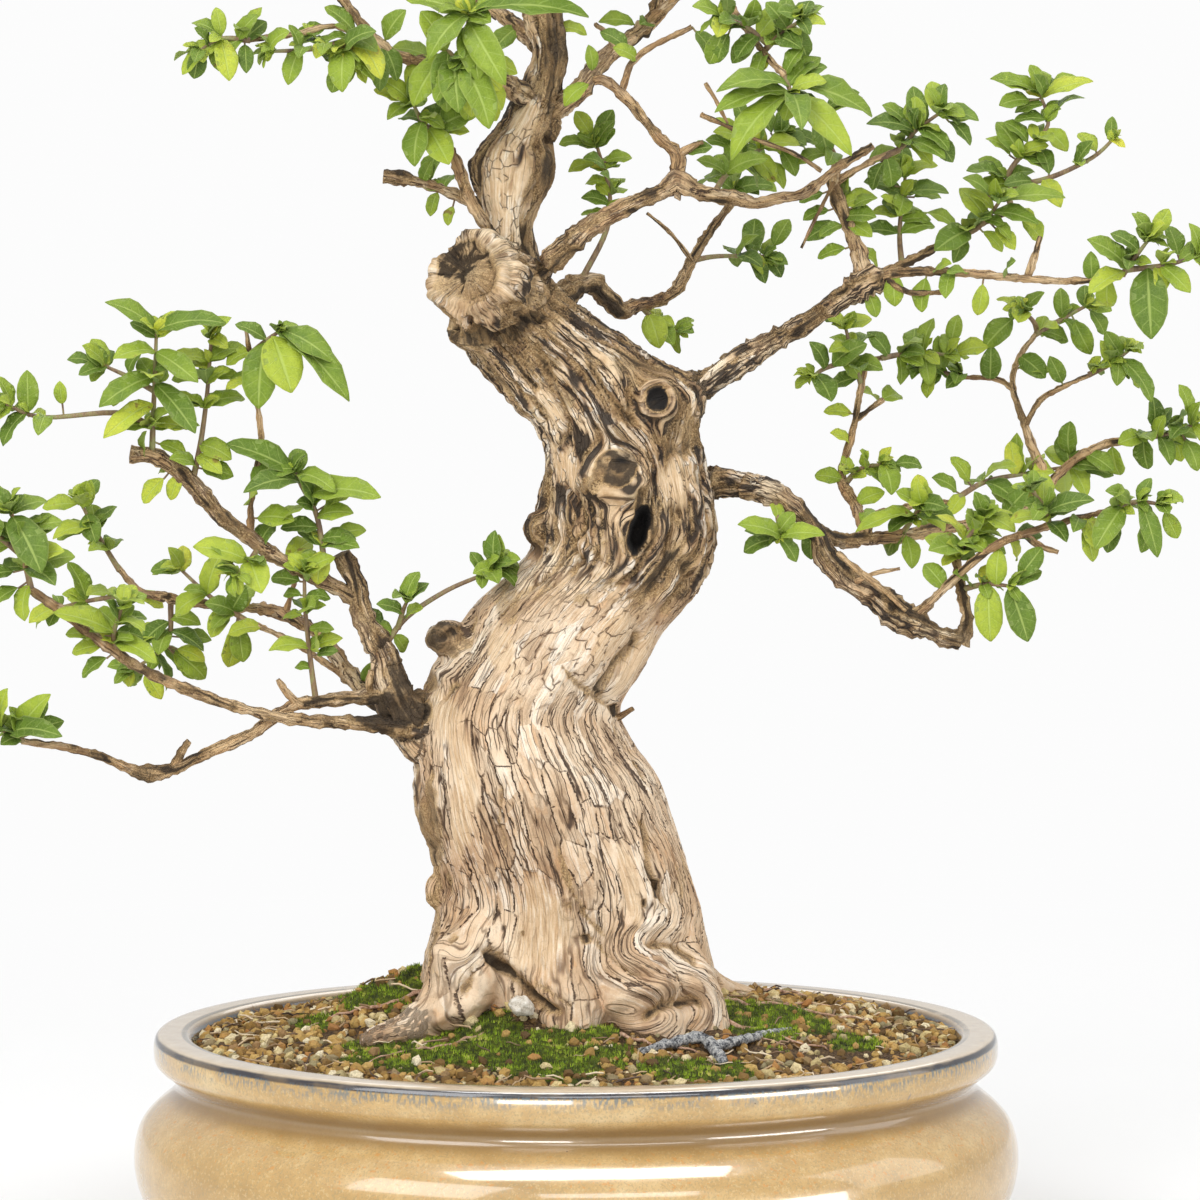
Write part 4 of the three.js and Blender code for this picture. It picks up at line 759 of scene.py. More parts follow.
def settled(mesh, values, owner, rounds):
    """The values, each pulled rounds times to the mean of its neighbours on the same stem."""
    ends = np.zeros(len(mesh.edges) * 2, dtype=np.int64)
    mesh.edges.foreach_get("vertices", ends)
    ends = ends.reshape(-1, 2)
    ends = ends[owner[ends[:, 0]] == owner[ends[:, 1]]]
    here, there = np.concatenate([ends[:, 0], ends[:, 1]]), np.concatenate([ends[:, 1], ends[:, 0]])
    count = np.bincount(here, minlength=len(values))[:, None]
    for _ in range(rounds):
        total = np.column_stack([np.bincount(here, column[there], len(values)) for column in values.T])
        values = np.where(count > 0, (values + total / np.maximum(1, count)) / 2, values)
    return values


trunk_points, trunk_normals = points_of(trunk.data)
trunk_grain, trunk_stems = grain_of(trunk_points)
trunk_grain = settled(trunk.data, trunk_grain, trunk_stems, SETTLE_ROUNDS)
print("grain runs from", trunk_grain.min(axis=0).round(), "to", trunk_grain.max(axis=0).round())

# %% [markdown]
# ## Folds, cracks and scars
# Old bark tells its history: folds of living wood that flow down to the roots, long drying cracks, healed
# cuts with a raised lip, and hollows. Each is a stroke or a pit drawn where it shows from the front, with
# its width and its height or depth. The back of the trunk gets folds from stretched noise, so it is as
# rough as the front.

# %% Strokes and pits
# Raised folds: points x, z; half width; height.
FOLDS = [
    ([(-15, 422.5), (-11.5, 410), (-4, 399), (3.5, 388), (11, 380.5), (22, 374), (32, 366)], 3.2, 2.2),
    ([(-13, 343), (-12.5, 329.5), (-13, 317.5)], 2.6, 1.8),
    ([(-1.5, 334.5), (4.5, 322.5), (9.5, 312)], 2.6, 1.8),
    ([(15.5, 337), (21.5, 326), (25, 319), (23.5, 310.5)], 3.0, 2.0),
    ([(54.5, 336), (55.5, 323.5), (54, 312)], 3.0, 1.8),
    ([(34.5, 288), (28.5, 276), (21.5, 264.5), (19, 255)], 4.0, 2.4),
    ([(25, 296.5), (16.5, 286), (8, 276), (4.5, 265.5)], 6.5, 2.6),
    ([(-65, 221), (-61, 206), (-60, 190.5)], 2.6, 1.6),
    ([(24.5, 204), (27.5, 190.5), (29.5, 176.5), (33.5, 166.5), (39.5, 159)], 3.6, 1.8),
    ([(38.5, 201.5), (42, 186.5), (47, 174.5), (53, 161), (57, 151)], 3.6, 2.2),
    ([(13.5, 149.5), (26.5, 152.5), (40.5, 152), (51, 147.5), (60, 140)], 3.6, 2.2),
    ([(6, 106), (14, 114), (24, 121), (40, 125.5), (54, 124), (63, 117)], 4.2, 3.6),
    ([(-38.5, 149), (-30.5, 139), (-20.5, 127), (-9, 115.5)], 4.2, 3.0),
    ([(-61, 151), (-62, 141), (-57, 132), (-58, 122)], 3.0, 2.0),
    ([(-40, 119), (-55, 112), (-70, 107)], 3.0, 2.0),
    ([(-54, 262), (-63, 268), (-68, 275)], 3.0, 2.4),
    ([(-2, 382.5), (-1, 375), (-6, 367), (-8, 358)], 3.6, 1.6),
    ([(20, 138), (32, 134), (46, 132), (58, 126)], 3.6, 2.0),
    ([(-62, 462), (-49, 464), (-37, 457), (-32, 447), (-35, 437), (-45, 431), (-58, 433)], 2.2, 2.0),
]
# Cracks and grooves: points x, z; half width; depth; how dark, which paints the crack's own brown and
# painted shade inside it.
GROOVES = [
    ([(3.5, 414), (7.5, 403.5), (11, 397), (15.5, 390), (22, 382.5), (27.5, 378), (32, 374)], 1.7, 4.6, 1.0),
    ([(25, 399), (24, 391.5), (24.5, 383.5), (29, 377)], 1.5, 3.4, 0.9),
    ([(-19.5, 421), (-15, 407), (-9.5, 395), (-6, 387), (-1.5, 380.5)], 1.5, 2.6, 0.8),
    ([(-12.5, 425.5), (-7.5, 415.5), (-0.5, 404.5), (7, 395), (14.5, 386), (22, 380.5), (27.5, 375)],
     1.4, 2.4, 0.7),
    ([(-31, 399), (-22.5, 391.5), (-15, 384), (-11.5, 377)], 1.4, 2.0, 0.6),
    ([(-11.5, 389.5), (-4, 382.5), (-4, 374), (-9, 366)], 1.3, 1.8, 0.5),
    ([(9, 379), (10, 372.5), (5, 365), (1, 357)], 1.4, 2.6, 0.7),
    ([(32, 374), (40.5, 370.5), (49.5, 366), (52.5, 375)], 2.4, 2.2, 0.8),
    ([(30, 352), (29, 345), (27, 338)], 2.4, 3.0, 0.9),
    ([(-65, 435.5), (-52, 430), (-38, 436.5), (-29, 441)], 1.5, 2.4, 0.6),
    ([(-64, 427.5), (-52, 424.5), (-40, 428), (-27, 433.5)], 1.5, 2.4, 0.6),
    ([(-61.5, 424), (-56.5, 420), (-52, 418)], 2.6, 3.4, 0.9),
    ([(-54, 416), (-40, 419), (-26, 420), (-15, 427), (-7.5, 435.5)], 2.4, 3.6, 0.9),
    ([(-16, 452), (-18, 441), (-19, 431.5), (-15, 421)], 1.6, 2.8, 0.8),
    ([(-31, 455.5), (-29, 446.5), (-28, 438)], 1.4, 2.4, 0.8),
    ([(-0.5, 428), (9, 424.5), (18, 419), (27.5, 413.5)], 1.4, 1.8, 0.6),
    ([(-9.5, 339.5), (-8, 327.5), (-10.5, 318)], 1.6, 2.6, 0.7),
    ([(-6, 338), (-1, 323.5), (6, 312)], 1.5, 2.4, 0.6),
    ([(2.5, 329.5), (10.5, 319), (14, 314.5)], 1.5, 2.4, 0.6),
    ([(47, 344), (42.5, 327.5), (39, 316.5)], 1.4, 2.4, 0.6),
    ([(47, 323.5), (50.5, 308), (42.5, 298.5), (36.5, 291.5)], 2.4, 3.0, 0.8),
    ([(29.5, 290), (26, 279.5), (19, 271.5), (14, 264.5), (10.5, 258.5), (17, 251)], 1.8, 4.0, 0.9),
    ([(-9.5, 273.5), (-5, 269), (1, 262), (10.5, 255), (18.5, 249)], 1.6, 2.6, 0.7),
    ([(-45, 296.5), (-47, 286), (-48.5, 277.5)], 1.2, 1.6, 0.5),
    ([(-61.5, 253.5), (-56.5, 260.5), (-52, 263)], 1.6, 3.0, 0.8),
    ([(-66, 213), (-65, 204), (-62.5, 190.5), (-65, 183.5)], 1.8, 3.4, 0.8),
    ([(-62, 182.5), (-58, 172.5), (-57, 164)], 1.5, 2.4, 0.6),
    ([(-46.5, 144), (-40.5, 141), (-33.5, 134), (-24.5, 125), (-13, 114.5), (-2, 111)], 2.6, 6.0, 1.0),
    ([(-58.5, 145), (-53, 146.5)], 1.6, 2.4, 0.8),
    ([(-47, 136), (-47, 127), (-52, 118)], 1.4, 2.0, 0.5),
    ([(28.5, 206), (31.5, 196.5), (33, 184.5), (35, 174.5), (38.5, 166), (44, 159)], 1.9, 4.2, 0.8),
    ([(28.5, 145.5), (35.5, 143.5), (43, 143), (52, 138), (57, 131)], 1.8, 3.6, 0.75),
    ([(7, 149), (13.5, 138), (23.5, 131), (38.5, 128)], 1.5, 2.4, 0.6),
    ([(26, 106), (34, 112), (44, 117), (54, 118), (62, 115)], 3.0, 5.5, 0.9),
    ([(-10, 194.5), (-7, 184.5), (-5, 176.5), (-1, 166.5), (4, 157), (11.5, 149), (18.5, 141)], 1.4, 2.4, 0.7),
    ([(4, 148.5), (6, 143)], 2.0, 3.4, 1.0),
    ([(34, 228), (40, 214), (46, 198), (51, 182), (56, 166)], 1.3, 2.2, 0.6),
    ([(-20, 128), (-8, 119), (2, 113)], 1.3, 1.6, 0.5),
    ([(-33, 220), (-35, 200), (-31, 182)], 1.2, 1.8, 0.6),
    ([(15, 247), (26, 230), (33, 214)], 1.3, 2.0, 0.6),
    ([(-50, 450), (-56, 455), (-61, 459)], 1.0, 1.6, 1.3),
    ([(-50, 450), (-44, 454), (-37, 456)], 1.0, 1.6, 1.2),
    ([(-50, 450), (-51, 442), (-52, 436)], 0.9, 1.4, 1.2),
    ([(-50, 450), (-57, 447), (-63, 445)], 1.0, 1.4, 1.3),
    ([(-50, 450), (-46, 458), (-44, 463)], 0.9, 1.4, 1.2),
    ([(-50, 450), (-54, 458), (-55, 464)], 0.9, 1.4, 1.3),
    ([(-62, 452), (-56, 448), (-58, 440)], 0.8, 1.2, 1.1),
    ([(-41, 446), (-36, 440), (-34, 434)], 0.8, 1.2, 0.8),
    ([(-60, 460), (-48, 460.5), (-40, 454), (-36.5, 446), (-39, 439), (-47, 435), (-57, 437)], 1.0, 2.0, 0.9),
]
# Pits and scars: x, z; half width, half height; tilt in degrees; depth; height of the lip; how dark, which
# paints rotten wood and painted shade in the hollow.
PITS = [
    (28.5, 331, 4.6, 11, -14, 14, 0.8, 1.8),
    (36.6, 390.3, 5.2, 5.8, 0, 3.4, 2.0, 1.5),
    (18, 359, 10.0, 8.5, 15, 1.8, 1.0, 0.82),
    (20, 361, 4.5, 3.5, 15, 0.8, 0.5, 1.2),
    (8, 352, 6.0, 4.0, 20, 1.0, 1.0, 0.6),
    (-48, 447.5, 14.0, 14.5, 0, 1.4, 1.8, 0.12),
    (-53, 452, 9.5, 8.0, 25, 0.8, 0.2, 0.85),
    (-58, 284, 6.0, 2.2, 25, 2.4, 0.6, 1.1),
    (-62, 168, 4.0, 6.5, 0, 0.8, 0.6, 0.3),
    (-3.5, 161, 2.6, 3.6, 10, 1.2, 1.6, 0.5),
    (30, 162.5, 1.5, 2.2, 0, 1.6, 0.6, 0.9),
    (-24, 148, 1.4, 1.9, 0, 1.4, 0.5, 0.8),
    (36, 169, 2.4, 5.5, -10, 3.4, 0.8, 0.9),
    (17, 250, 2.6, 3.4, 0, 3.2, 1.0, 0.9),
    (-27.5, 253.5, 3.0, 2.4, 0, 0.8, 1.4, 0.2),
]
# Dark patches on the bark: x, z; half width, half height; tilt in degrees; how dark.
DARK_PATCHES = [
    (-84, 248, 20, 11, 0, 1.0), (-66, 196, 6, 30, 0, 0.75), (53, 196, 7, 42, -14, 0.4),
    (40, 240, 6, 26, -20, 0.3), (-54, 134, 15, 20, 0, 0.3), (44, 112, 24, 10, 0, 0.25),
    (-64, 190, 5, 30, 0, 0.5), (-45, 447, 17, 15, 0, 0.62), (-61, 283, 12, 10, 0, 0.86),
    (-12, 500, 8, 40, 0, 0.6), (-60, 436, 6, 12, 0, 0.6), (-76, 262, 12, 26, 0, 0.85),
    (-42, 417, 26, 6, 5, 0.8), (-6, 440, 12, 20, -20, 0.62), (-28, 428, 8, 10, 0, 0.6),
    (52, 375, 12, 8, 0, 0.6), (64, 348, 5, 26, 0, 0.55), (-14, 352, 5, 14, 15, 0.5),
    (-30, 300, 6, 12, 0, 0.5), (4, 300, 8, 4, -20, 0.45), (-66, 150, 5, 22, 0, 0.6),
    (60, 250, 6, 12, 0, 0.45), (28, 402, 18, 6, -32, 0.45),
]
# Smooth patches where the outer bark has gone: x, z; half width, half height; tilt in degrees.
BARE_PATCHES = [
    (-33, 277, 7, 13, 10), (-3, 359, 5, 12, 25), (26, 272, 5, 18, -32), (15, 283, 6, 16, -38),
    (-31, 480, 10, 23, 0), (-20, 513, 9, 10, 0), (-50, 225, 6, 22, 6), (-52, 200, 5, 18, 0),
    (-58, 247, 7, 12, 20), (45, 352, 8, 12, 0), (-12, 385, 4, 11, 30), (24, 172, 4, 22, 12),
    (-14, 150, 14, 22, 8),
]
# Where the bark is squeezed into wrinkles, under the lean of the trunk: x, z; half width, half height; tilt.
WAIST = (2, 281, 46, 22, 30)


def near_stroke(x, z, points):
    """Distance to a stroke, and how far from its ends the nearest place is, 0 to 1."""
    points = np.array(points, float)
    ways = np.diff(points, axis=0)
    spans = np.linalg.norm(ways, axis=1)
    starts = np.concatenate([[0], np.cumsum(spans)])
    away = np.full(len(x), 1e9)
    place = np.zeros(len(x))
    for (start_x, start_z), (way_x, way_z), span, run in zip(points, ways, spans, starts):
        share = np.clip(((x - start_x) * way_x + (z - start_z) * way_z) / span ** 2, 0, 1)
        gap = np.hypot(x - start_x - share * way_x, z - start_z - share * way_z)
        place = np.where(gap < away, run + share * span, place)
        away = np.minimum(away, gap)
    share = place / starts[-1]
    return away, smooth_step(np.minimum(share, 1 - share), -0.02, 0.2)


# %% Carve the trunk
# Valleys between the strands of old bark: width and length of a strand, half width of the valley as a share,
# depth on the young bark below and on the old bark above, and darkness above, which paints lichen and
# painted shade in the valleys.
VALLEYS = [(11, 95, 0.18, 0.5, 2.8, 0.95), (5.6, 44, 0.2, 0.12, 1.5, 0.8)]
GREY_FROM = 284
GREY_TO = 330
PIT_ROUGHNESS = 1.1
# A scar with at least this lip has a ring of smooth pale bark.
WELL_HEALED = 1.4
# Masses of lumps: x, z; half width, half height; tilt; height of a lump. The hollows between the lumps get
# painted shade.
LUMPY = [(-54, 126, 26, 24, 0, 1.1), (-60, 283, 12, 10, 0, 2.2), (-42, 422, 24, 9, 5, 2.6),
         (-78, 262, 12, 24, 0, 1.6)]
# The face of the sawn-off limb.
SAWN_FACE = (-48, 446, 17, 16, 0)

x, z = lines_up(trunk_points)
facing = smooth_step(-trunk_normals[:, 1], -0.05, 0.3)
raised, sunk, dark, healed, bare = (np.zeros(len(x)) for _ in range(5))
for points, half_width, height in FOLDS:
    away, inside = near_stroke(x, z, points)
    raised += facing * height * inside * np.exp(-(away / half_width) ** 2)
wavy = 1 + 0.35 * lattice_noise(trunk_grain / 5, 3)
# Each groove is cut in and painted dark, partly its own colour and partly painted shade in the recess.
for points, half_width, depth, darkness in GROOVES:
    away, inside = near_stroke(x, z, points)
    raised -= facing * depth * inside * np.exp(-(away / (half_width * wavy)) ** 2)
    dark = np.maximum(dark, facing * darkness * inside * np.exp(-(away / (half_width * 1.1 * wavy)) ** 2))
frayed = 0.12 * lattice_noise(trunk_grain / 4, 5)
crumbs = lattice_noise(trunk_points / 2.8, 7)
for *patch, depth, lip, darkness in PITS:
    radii = in_oval(x, z, *patch) + frayed
    sunk += facing * depth * smooth_step(radii, 1.05, 0.45)
    raised += facing * min(1, darkness) * smooth_step(radii, 1.3, 0.8) * PIT_ROUGHNESS * crumbs
    raised += facing * lip * np.exp(-((radii - 1.3) / 0.28) ** 2)
    # The hollow of a pit is painted dark, partly rotten wood and partly painted shade.
    dark = np.maximum(dark, facing * darkness * (1 + 0.4 * crumbs) * smooth_step(radii, 1.12, 0.85))
    if lip >= WELL_HEALED:
        healed = np.maximum(healed, facing * np.exp(-((radii - 1.42) / 0.25) ** 2))
ragged = 0.3 * lattice_noise(trunk_points / 6, 19)
# The listed dark patches, painted where they show from the front.
for *patch, darkness in DARK_PATCHES:
    radii = in_oval(x, z, *patch) + ragged
    dark = np.maximum(dark, facing * darkness * smooth_step(radii, 1.2, 0.6))
ragged = 0.35 * lattice_noise(trunk_grain / np.array([4, 4, 16]), 9)
for patch in BARE_PATCHES:
    bare = np.maximum(bare, facing * smooth_step(in_oval(x, z, *patch) + ragged, 1.15, 0.75))
patchy = lattice_noise(trunk_points / 22, 21)
grey = smooth_step(z + 16 * patchy + 0.25 * x, GREY_FROM, GREY_TO)
grey = np.maximum(grey, 0.8 * smooth_step(-x + 6 * patchy, 62, 72) * smooth_step(z, 160, 200))
grey = np.maximum(grey, 0.35 * smooth_step(trunk_points[:, 1] + 12 * patchy, 0, 40))
bare = np.maximum(bare, 0.75 * healed)
dark = dark * (1 - 0.85 * healed)
face = smooth_step(in_oval(x, z, *SAWN_FACE), 1.1, 0.85) * facing
bent = trunk_grain + 5 * np.column_stack([lattice_noise(trunk_grain / 21, 13 + axis) for axis in range(3)])
for width, length, half, shallow, deep, darkness in VALLEYS:
    strand = lattice_noise(bent / np.array([width, width, length]), 11)
    valley = np.exp(-(strand / half) ** 2)
    strength = shallow + (deep - shallow) * grey
    kept = (1 - 0.6 * bare) * (1 - 0.85 * face)
    raised += strength * (0.6 * np.abs(strand) - valley) * kept
    # In the old bark above, the valleys are painted dark, partly lichen and partly painted shade.
    shown = darkness * grey * (1 - bare) * (1 - 0.8 * face) * smooth_step(patchy + 0.6, 0, 0.8)
    dark = np.maximum(dark, valley ** 1.4 * shown)
raised += 0.9 * lattice_noise(trunk_grain / np.array([12, 12, 30]), 17)
lumps = lattice_noise(trunk_points / 7, 41) + 0.6 * lattice_noise(trunk_points / 3.2, 43)
for *patch, height in LUMPY:
    mass = smooth_step(in_oval(x, z, *patch), 1.1, 0.7) * facing
    raised += height * mass * lumps
    # Painted shade in the hollows between the lumps.
    dark = np.maximum(dark, 0.7 * mass * smooth_step(-lumps, 0.35, 0.9))
rough = lattice_noise(trunk_points / 4, 45) + 0.7 * lattice_noise(trunk_points / 1.9, 47)
raised += 0.55 * rough * np.maximum(grey, smooth_step(dark, 0.1, 0.5)) * (1 - 0.7 * bare) * (1 - 0.5 * face)
carved = trunk_points + trunk_normals * raised[:, None] - np.outer(sunk, np.array(FRONT))
print("bark raised from", raised.min().round(1), "to", raised.max().round(1), "mm,",
      "pits to", sunk.max().round(1))


# %% Marks on the trunk
def put_points(mesh, points):
    placed = (points + np.array(POT_MIDDLE)) * MM
    mesh.vertices.foreach_set("co", placed.astype(np.float32).ravel())
    mesh.update()


def put_attribute(mesh, name, values, kind="FLOAT", domain="POINT"):
    field = "value" if kind == "FLOAT" else "vector"
    mesh.attributes.new(name, kind, domain).data.foreach_set(field, np.asarray(values, np.float32).ravel())


# The wood right of about x = -15, from about z 450 up, is painted dark.
leader_side = smooth_step(x + 4 * patchy, -22, -12) * smooth_step(z, 448, 462)
dark = np.maximum(dark, 0.82 * leader_side * (1 - bare))
dark = np.maximum(dark, 0.42 * smooth_step(lattice_noise(trunk_points / 15, 33), 0.3, 0.8) * grey * (1 - bare))
plate = np.clip(1 - 0.85 * bare - 0.15 * grey - 0.6 * (dark > 0.6) - 0.25 * smooth_step(z, 158, 128), 0.08, 1)
plate = plate * (1 - 0.9 * face)
wrinkle = facing * smooth_step(in_oval(x, z, *WAIST) + 0.25 * patchy, 1.1, 0.75)
put_points(trunk.data, carved)
put_attribute(trunk.data, "grain", trunk_grain, "FLOAT_VECTOR")
for name, values in {"dark": dark, "grey": grey, "bare": bare, "plate": plate, "wrinkle": wrinkle}.items():
    put_attribute(trunk.data, name, values)
print("dark on", round(float((dark > 0.4).mean()) * 100), "% of the bark")

# %% [markdown]
# ## Fissures and plates
# Young bark has split into strands about five millimetres wide, with short cracks across them. Two patterns
# give this. The level lines of a noise stretched along the grain are long fissures that wander, part and
# close. The cells of a Voronoi pattern are the plates: their upright walls are more cracks between strands,
# all their walls in some places are cracks across, and a finer set makes the flakes of old bark. The usual
# distance to a wall would be stretched like the cells, so it is worked out here in millimetres, from the
# two nearest cell centres. The same functions serve the geometry tree, which lowers the cracks, and the
# material, which darkens them.

# %% Cracks as sums
def fissures(tree, grain, width, length, half):
    """1 in long fissures between strands of this width and length, 0 beside them."""
    strand = tree.grain_noise(grain, (width, width, length), 1.0)
    return tree.between(tree.sum("ABSOLUTE", strand - 0.5), 0.15 * half, half, 1.0, 0.0)


# A wall that lies flat on the surface would show as a blotch, so it counts as this much further away.
FLAT_WALL = 3


def plates(tree, grain, normal, width, length, disorder=0.95):
    """Millimetres to the nearest wall between plates, each plate's tone, and how upright the wall is."""
    size = (width, width, length)
    place = tree.vector("DIVIDE", grain, size)
    near, second = (
        tree.node("ShaderNodeTexVoronoi", {"feature": feature},
                  {"Vector": place, "Scale": 1.0, "Randomness": disorder}) for feature in ("F1", "F2"))
    centre, other = near.outputs["Position"], second.outputs["Position"]
    away = tree.vector("NORMALIZE", tree.vector("SUBTRACT", other, centre))
    halfway = scaled(tree, tree.vector("ADD", other, centre), 0.5)
    depth = tree.measure("DOT_PRODUCT", tree.vector("SUBTRACT", halfway, place), away)
    steepness = tree.measure("LENGTH", tree.vector("DIVIDE", away, size))
    level = tree.sum("ABSOLUTE", tree.measure("DOT_PRODUCT", away, normal))
    away = depth / steepness + FLAT_WALL * tree.between(level, 0.6, 0.85)
    return away, Value(tree, near.outputs["Color"]), steepness * width


def bent_grain(tree, grain, amount, length):
    """The grain with slow bends, so that cracks wander."""
    bends = tree.noise(scaled(tree, grain, 1 / length), 1.0, 2.0).outputs["Color"]
    return tree.vector("ADD", grain, scaled(tree, tree.vector("SUBTRACT", bends, (0.5, 0.5, 0.5)), amount))


def bark_pattern(tree, straight, normal, strand, plate, wrinkle, grey):
    """Fissures, cross cracks and wrinkles from 0 to 1 for strands of this width, and a tone for each plate."""
    grain = bent_grain(tree, straight, 2.6, 19.0)
    dashed = tree.between(tree.grain_noise(grain, (strand * 1.3, strand * 1.3, strand * 4), 1.0), 0.4, 0.5)
    long_ones = fissures(tree, grain, strand, strand * 15, 0.034) * tree.sum("MAXIMUM", dashed * 0.75, grey)
    old_ones = fissures(tree, grain, strand * 1.4, strand * 7, 0.1) * grey
    fine_ones = fissures(tree, grain, strand * 0.5, strand * 6, 0.03)
    away, tone, upright = plates(tree, grain, normal, strand * 1.25, strand * 3.4, 0.6)
    jagged = away + (tree.grain_noise(straight, (0.7, 0.7, 1.1), 2.0) - 0.5) * 1.1
    unbroken = tree.between(tree.grain_noise(grain, (strand * 1.2, strand * 1.2, strand * 2.4), 1.0), 0.3, 0.42)
    columns = tree.between(jagged, 0.08, 0.42, 1.0, 0.0) * tree.between(upright, 0.45, 0.9)
    columns = columns * unbroken * (1 - grey)
    broken = tree.grain_noise(grain, (strand * 1.7, strand * 1.7, strand * 3), 1.0)
    across = tree.between(jagged, 0.0, 0.4, 1.0, 0.0) * tree.between(broken, 0.46, 0.58)
    flaked, flake_tone, _ = plates(tree, grain, normal, strand * 0.42, strand * 0.9)
    flaking = tree.between(tree.grain_noise(grain, (strand, strand, strand * 2), 2.0), 0.46, 0.56)
    flaking = flaking * (0.15 + 0.85 * grey)
    flakes = tree.between(flaked, 0.0, 0.34, 1.0, 0.0) * flaking
    crumpled = bent_grain(tree, straight, 16.0, 14.0)
    fold, _, _ = plates(tree, crumpled, normal, strand * 0.9, strand * 1.9)
    kept = tree.between(tree.grain_noise(crumpled, (strand, strand, strand), 1.0), 0.42, 0.56)
    folds = tree.between(fold, 0.0, 0.6, 1.0, 0.0) * wrinkle * kept
    calm = 1 - 0.7 * wrinkle
    long_ones = tree.sum("MAXIMUM", tree.sum("MAXIMUM", columns, long_ones), old_ones)
    return {"long": long_ones * plate * calm, "fine": fine_ones * (0.25 + 0.75 * plate) * calm,
            "across": across * plate * calm, "folds": folds, "tone": tone,
            "flakes": flakes, "flake_tone": (flake_tone - 0.5) * flaking}


# %% Raise the plates
TRUNK_STRAND = 5.0
BARK_INPUTS = {"Crack depth": 1.1, "Roughness height": 0.55}


def geometry_tree(name, inputs):
    """A geometry tree with a geometry input, the named inputs and one geometry output."""
    group = bpy.data.node_groups.new(name, "GeometryNodeTree")
    group.interface.new_socket(name="Geometry", in_out="INPUT", socket_type="NodeSocketGeometry")
    for key, kind in inputs.items():
        group.interface.new_socket(name=key, in_out="INPUT", socket_type=kind)
    group.interface.new_socket(name="Geometry", in_out="OUTPUT", socket_type="NodeSocketGeometry")
    tree = Tree(group)
    return group, tree, tree.node("NodeGroupInput"), tree.node("NodeGroupOutput")


def named(tree, name, kind="FLOAT"):
    """An attribute of the geometry, by name."""
    made = tree.node("GeometryNodeInputNamedAttribute", {"data_type": kind}, {"Name": name})
    return Value(tree, made.outputs[0]) if kind == "FLOAT" else made.outputs[0]


def run_tree(thing, group, inputs):
    """Applies a geometry tree to an object, with its inputs set by identifier."""
    modifier = thing.modifiers.new(group.name, "NODES")
    modifier.node_group = group
    for item in group.interface.items_tree:
        if item.in_out == "INPUT" and item.name in inputs:
            modifier[item.identifier] = inputs[item.name]
    return applied(thing)


def bark_tree(name, strand):
    """The geometry tree that lowers the cracks of bark with strands of this width, and roughens the rest."""
    group, tree, start, end = geometry_tree(name, dict.fromkeys(BARK_INPUTS, "NodeSocketFloat"))
    number = {key: Value(tree, start.outputs[key]) for key in BARK_INPUTS}
    straight = named(tree, "grain", "FLOAT_VECTOR")
    normal = tree.node("GeometryNodeInputNormal").outputs[0]
    plate, wrinkle, grey = (named(tree, each) for each in ("plate", "wrinkle", "grey"))
    pattern = bark_pattern(tree, straight, normal, strand, plate, wrinkle, grey)
    fibre = tree.grain_noise(straight, (1.8, 1.8, 14), 2.0)
    lumps = tree.grain_noise(straight, (5, 5, 9), 2.0)
    cracks = tree.sum("MAXIMUM", pattern["across"] * 0.5, pattern["folds"])
    cracks = tree.sum("MAXIMUM", pattern["long"], cracks)
    rough = (pattern["tone"] - 0.5) * plate + (fibre - 0.5) + (lumps - 0.5) * 1.6
    height = number["Roughness height"] * rough - number["Crack depth"] * cracks
    moved = tree.node("GeometryNodeSetPosition", None,
                      {"Geometry": start.outputs["Geometry"], "Offset": scaled(tree, normal, height * MM)})
    tree.tree.links.new(moved.outputs["Geometry"], end.inputs["Geometry"])
    return group


run_tree(trunk, bark_tree("trunk_bark_relief", TRUNK_STRAND), BARK_INPUTS)
print("trunk after its bark:", len(trunk.data.vertices), "points")

# %% [markdown]
# ## Bark paint
# The lower bark is pale tan with dark brown cracks and orange patches where a plate has fallen, and painted
# shade darkens the deepest cracks, the pits and hollows, the valleys and the gaps between lumps. From the
# shoulder up it turns grey, with a breath of green. Deadwood is bleached and shows fine lines along the
# grain. The material reads the attributes stored above, and repeats the plates in finer lines than the mesh
# could hold.

# %% Paint by the painter's numbers
def paint(red, green, blue):
    """A colour given as 0 to 255 on screen, as the linear colour that sockets take."""
    return tuple((value / 255 / 12.92) if value <= 10 else ((value / 255 + 0.055) / 1.055) ** 2.4
                 for value in (red, green, blue))


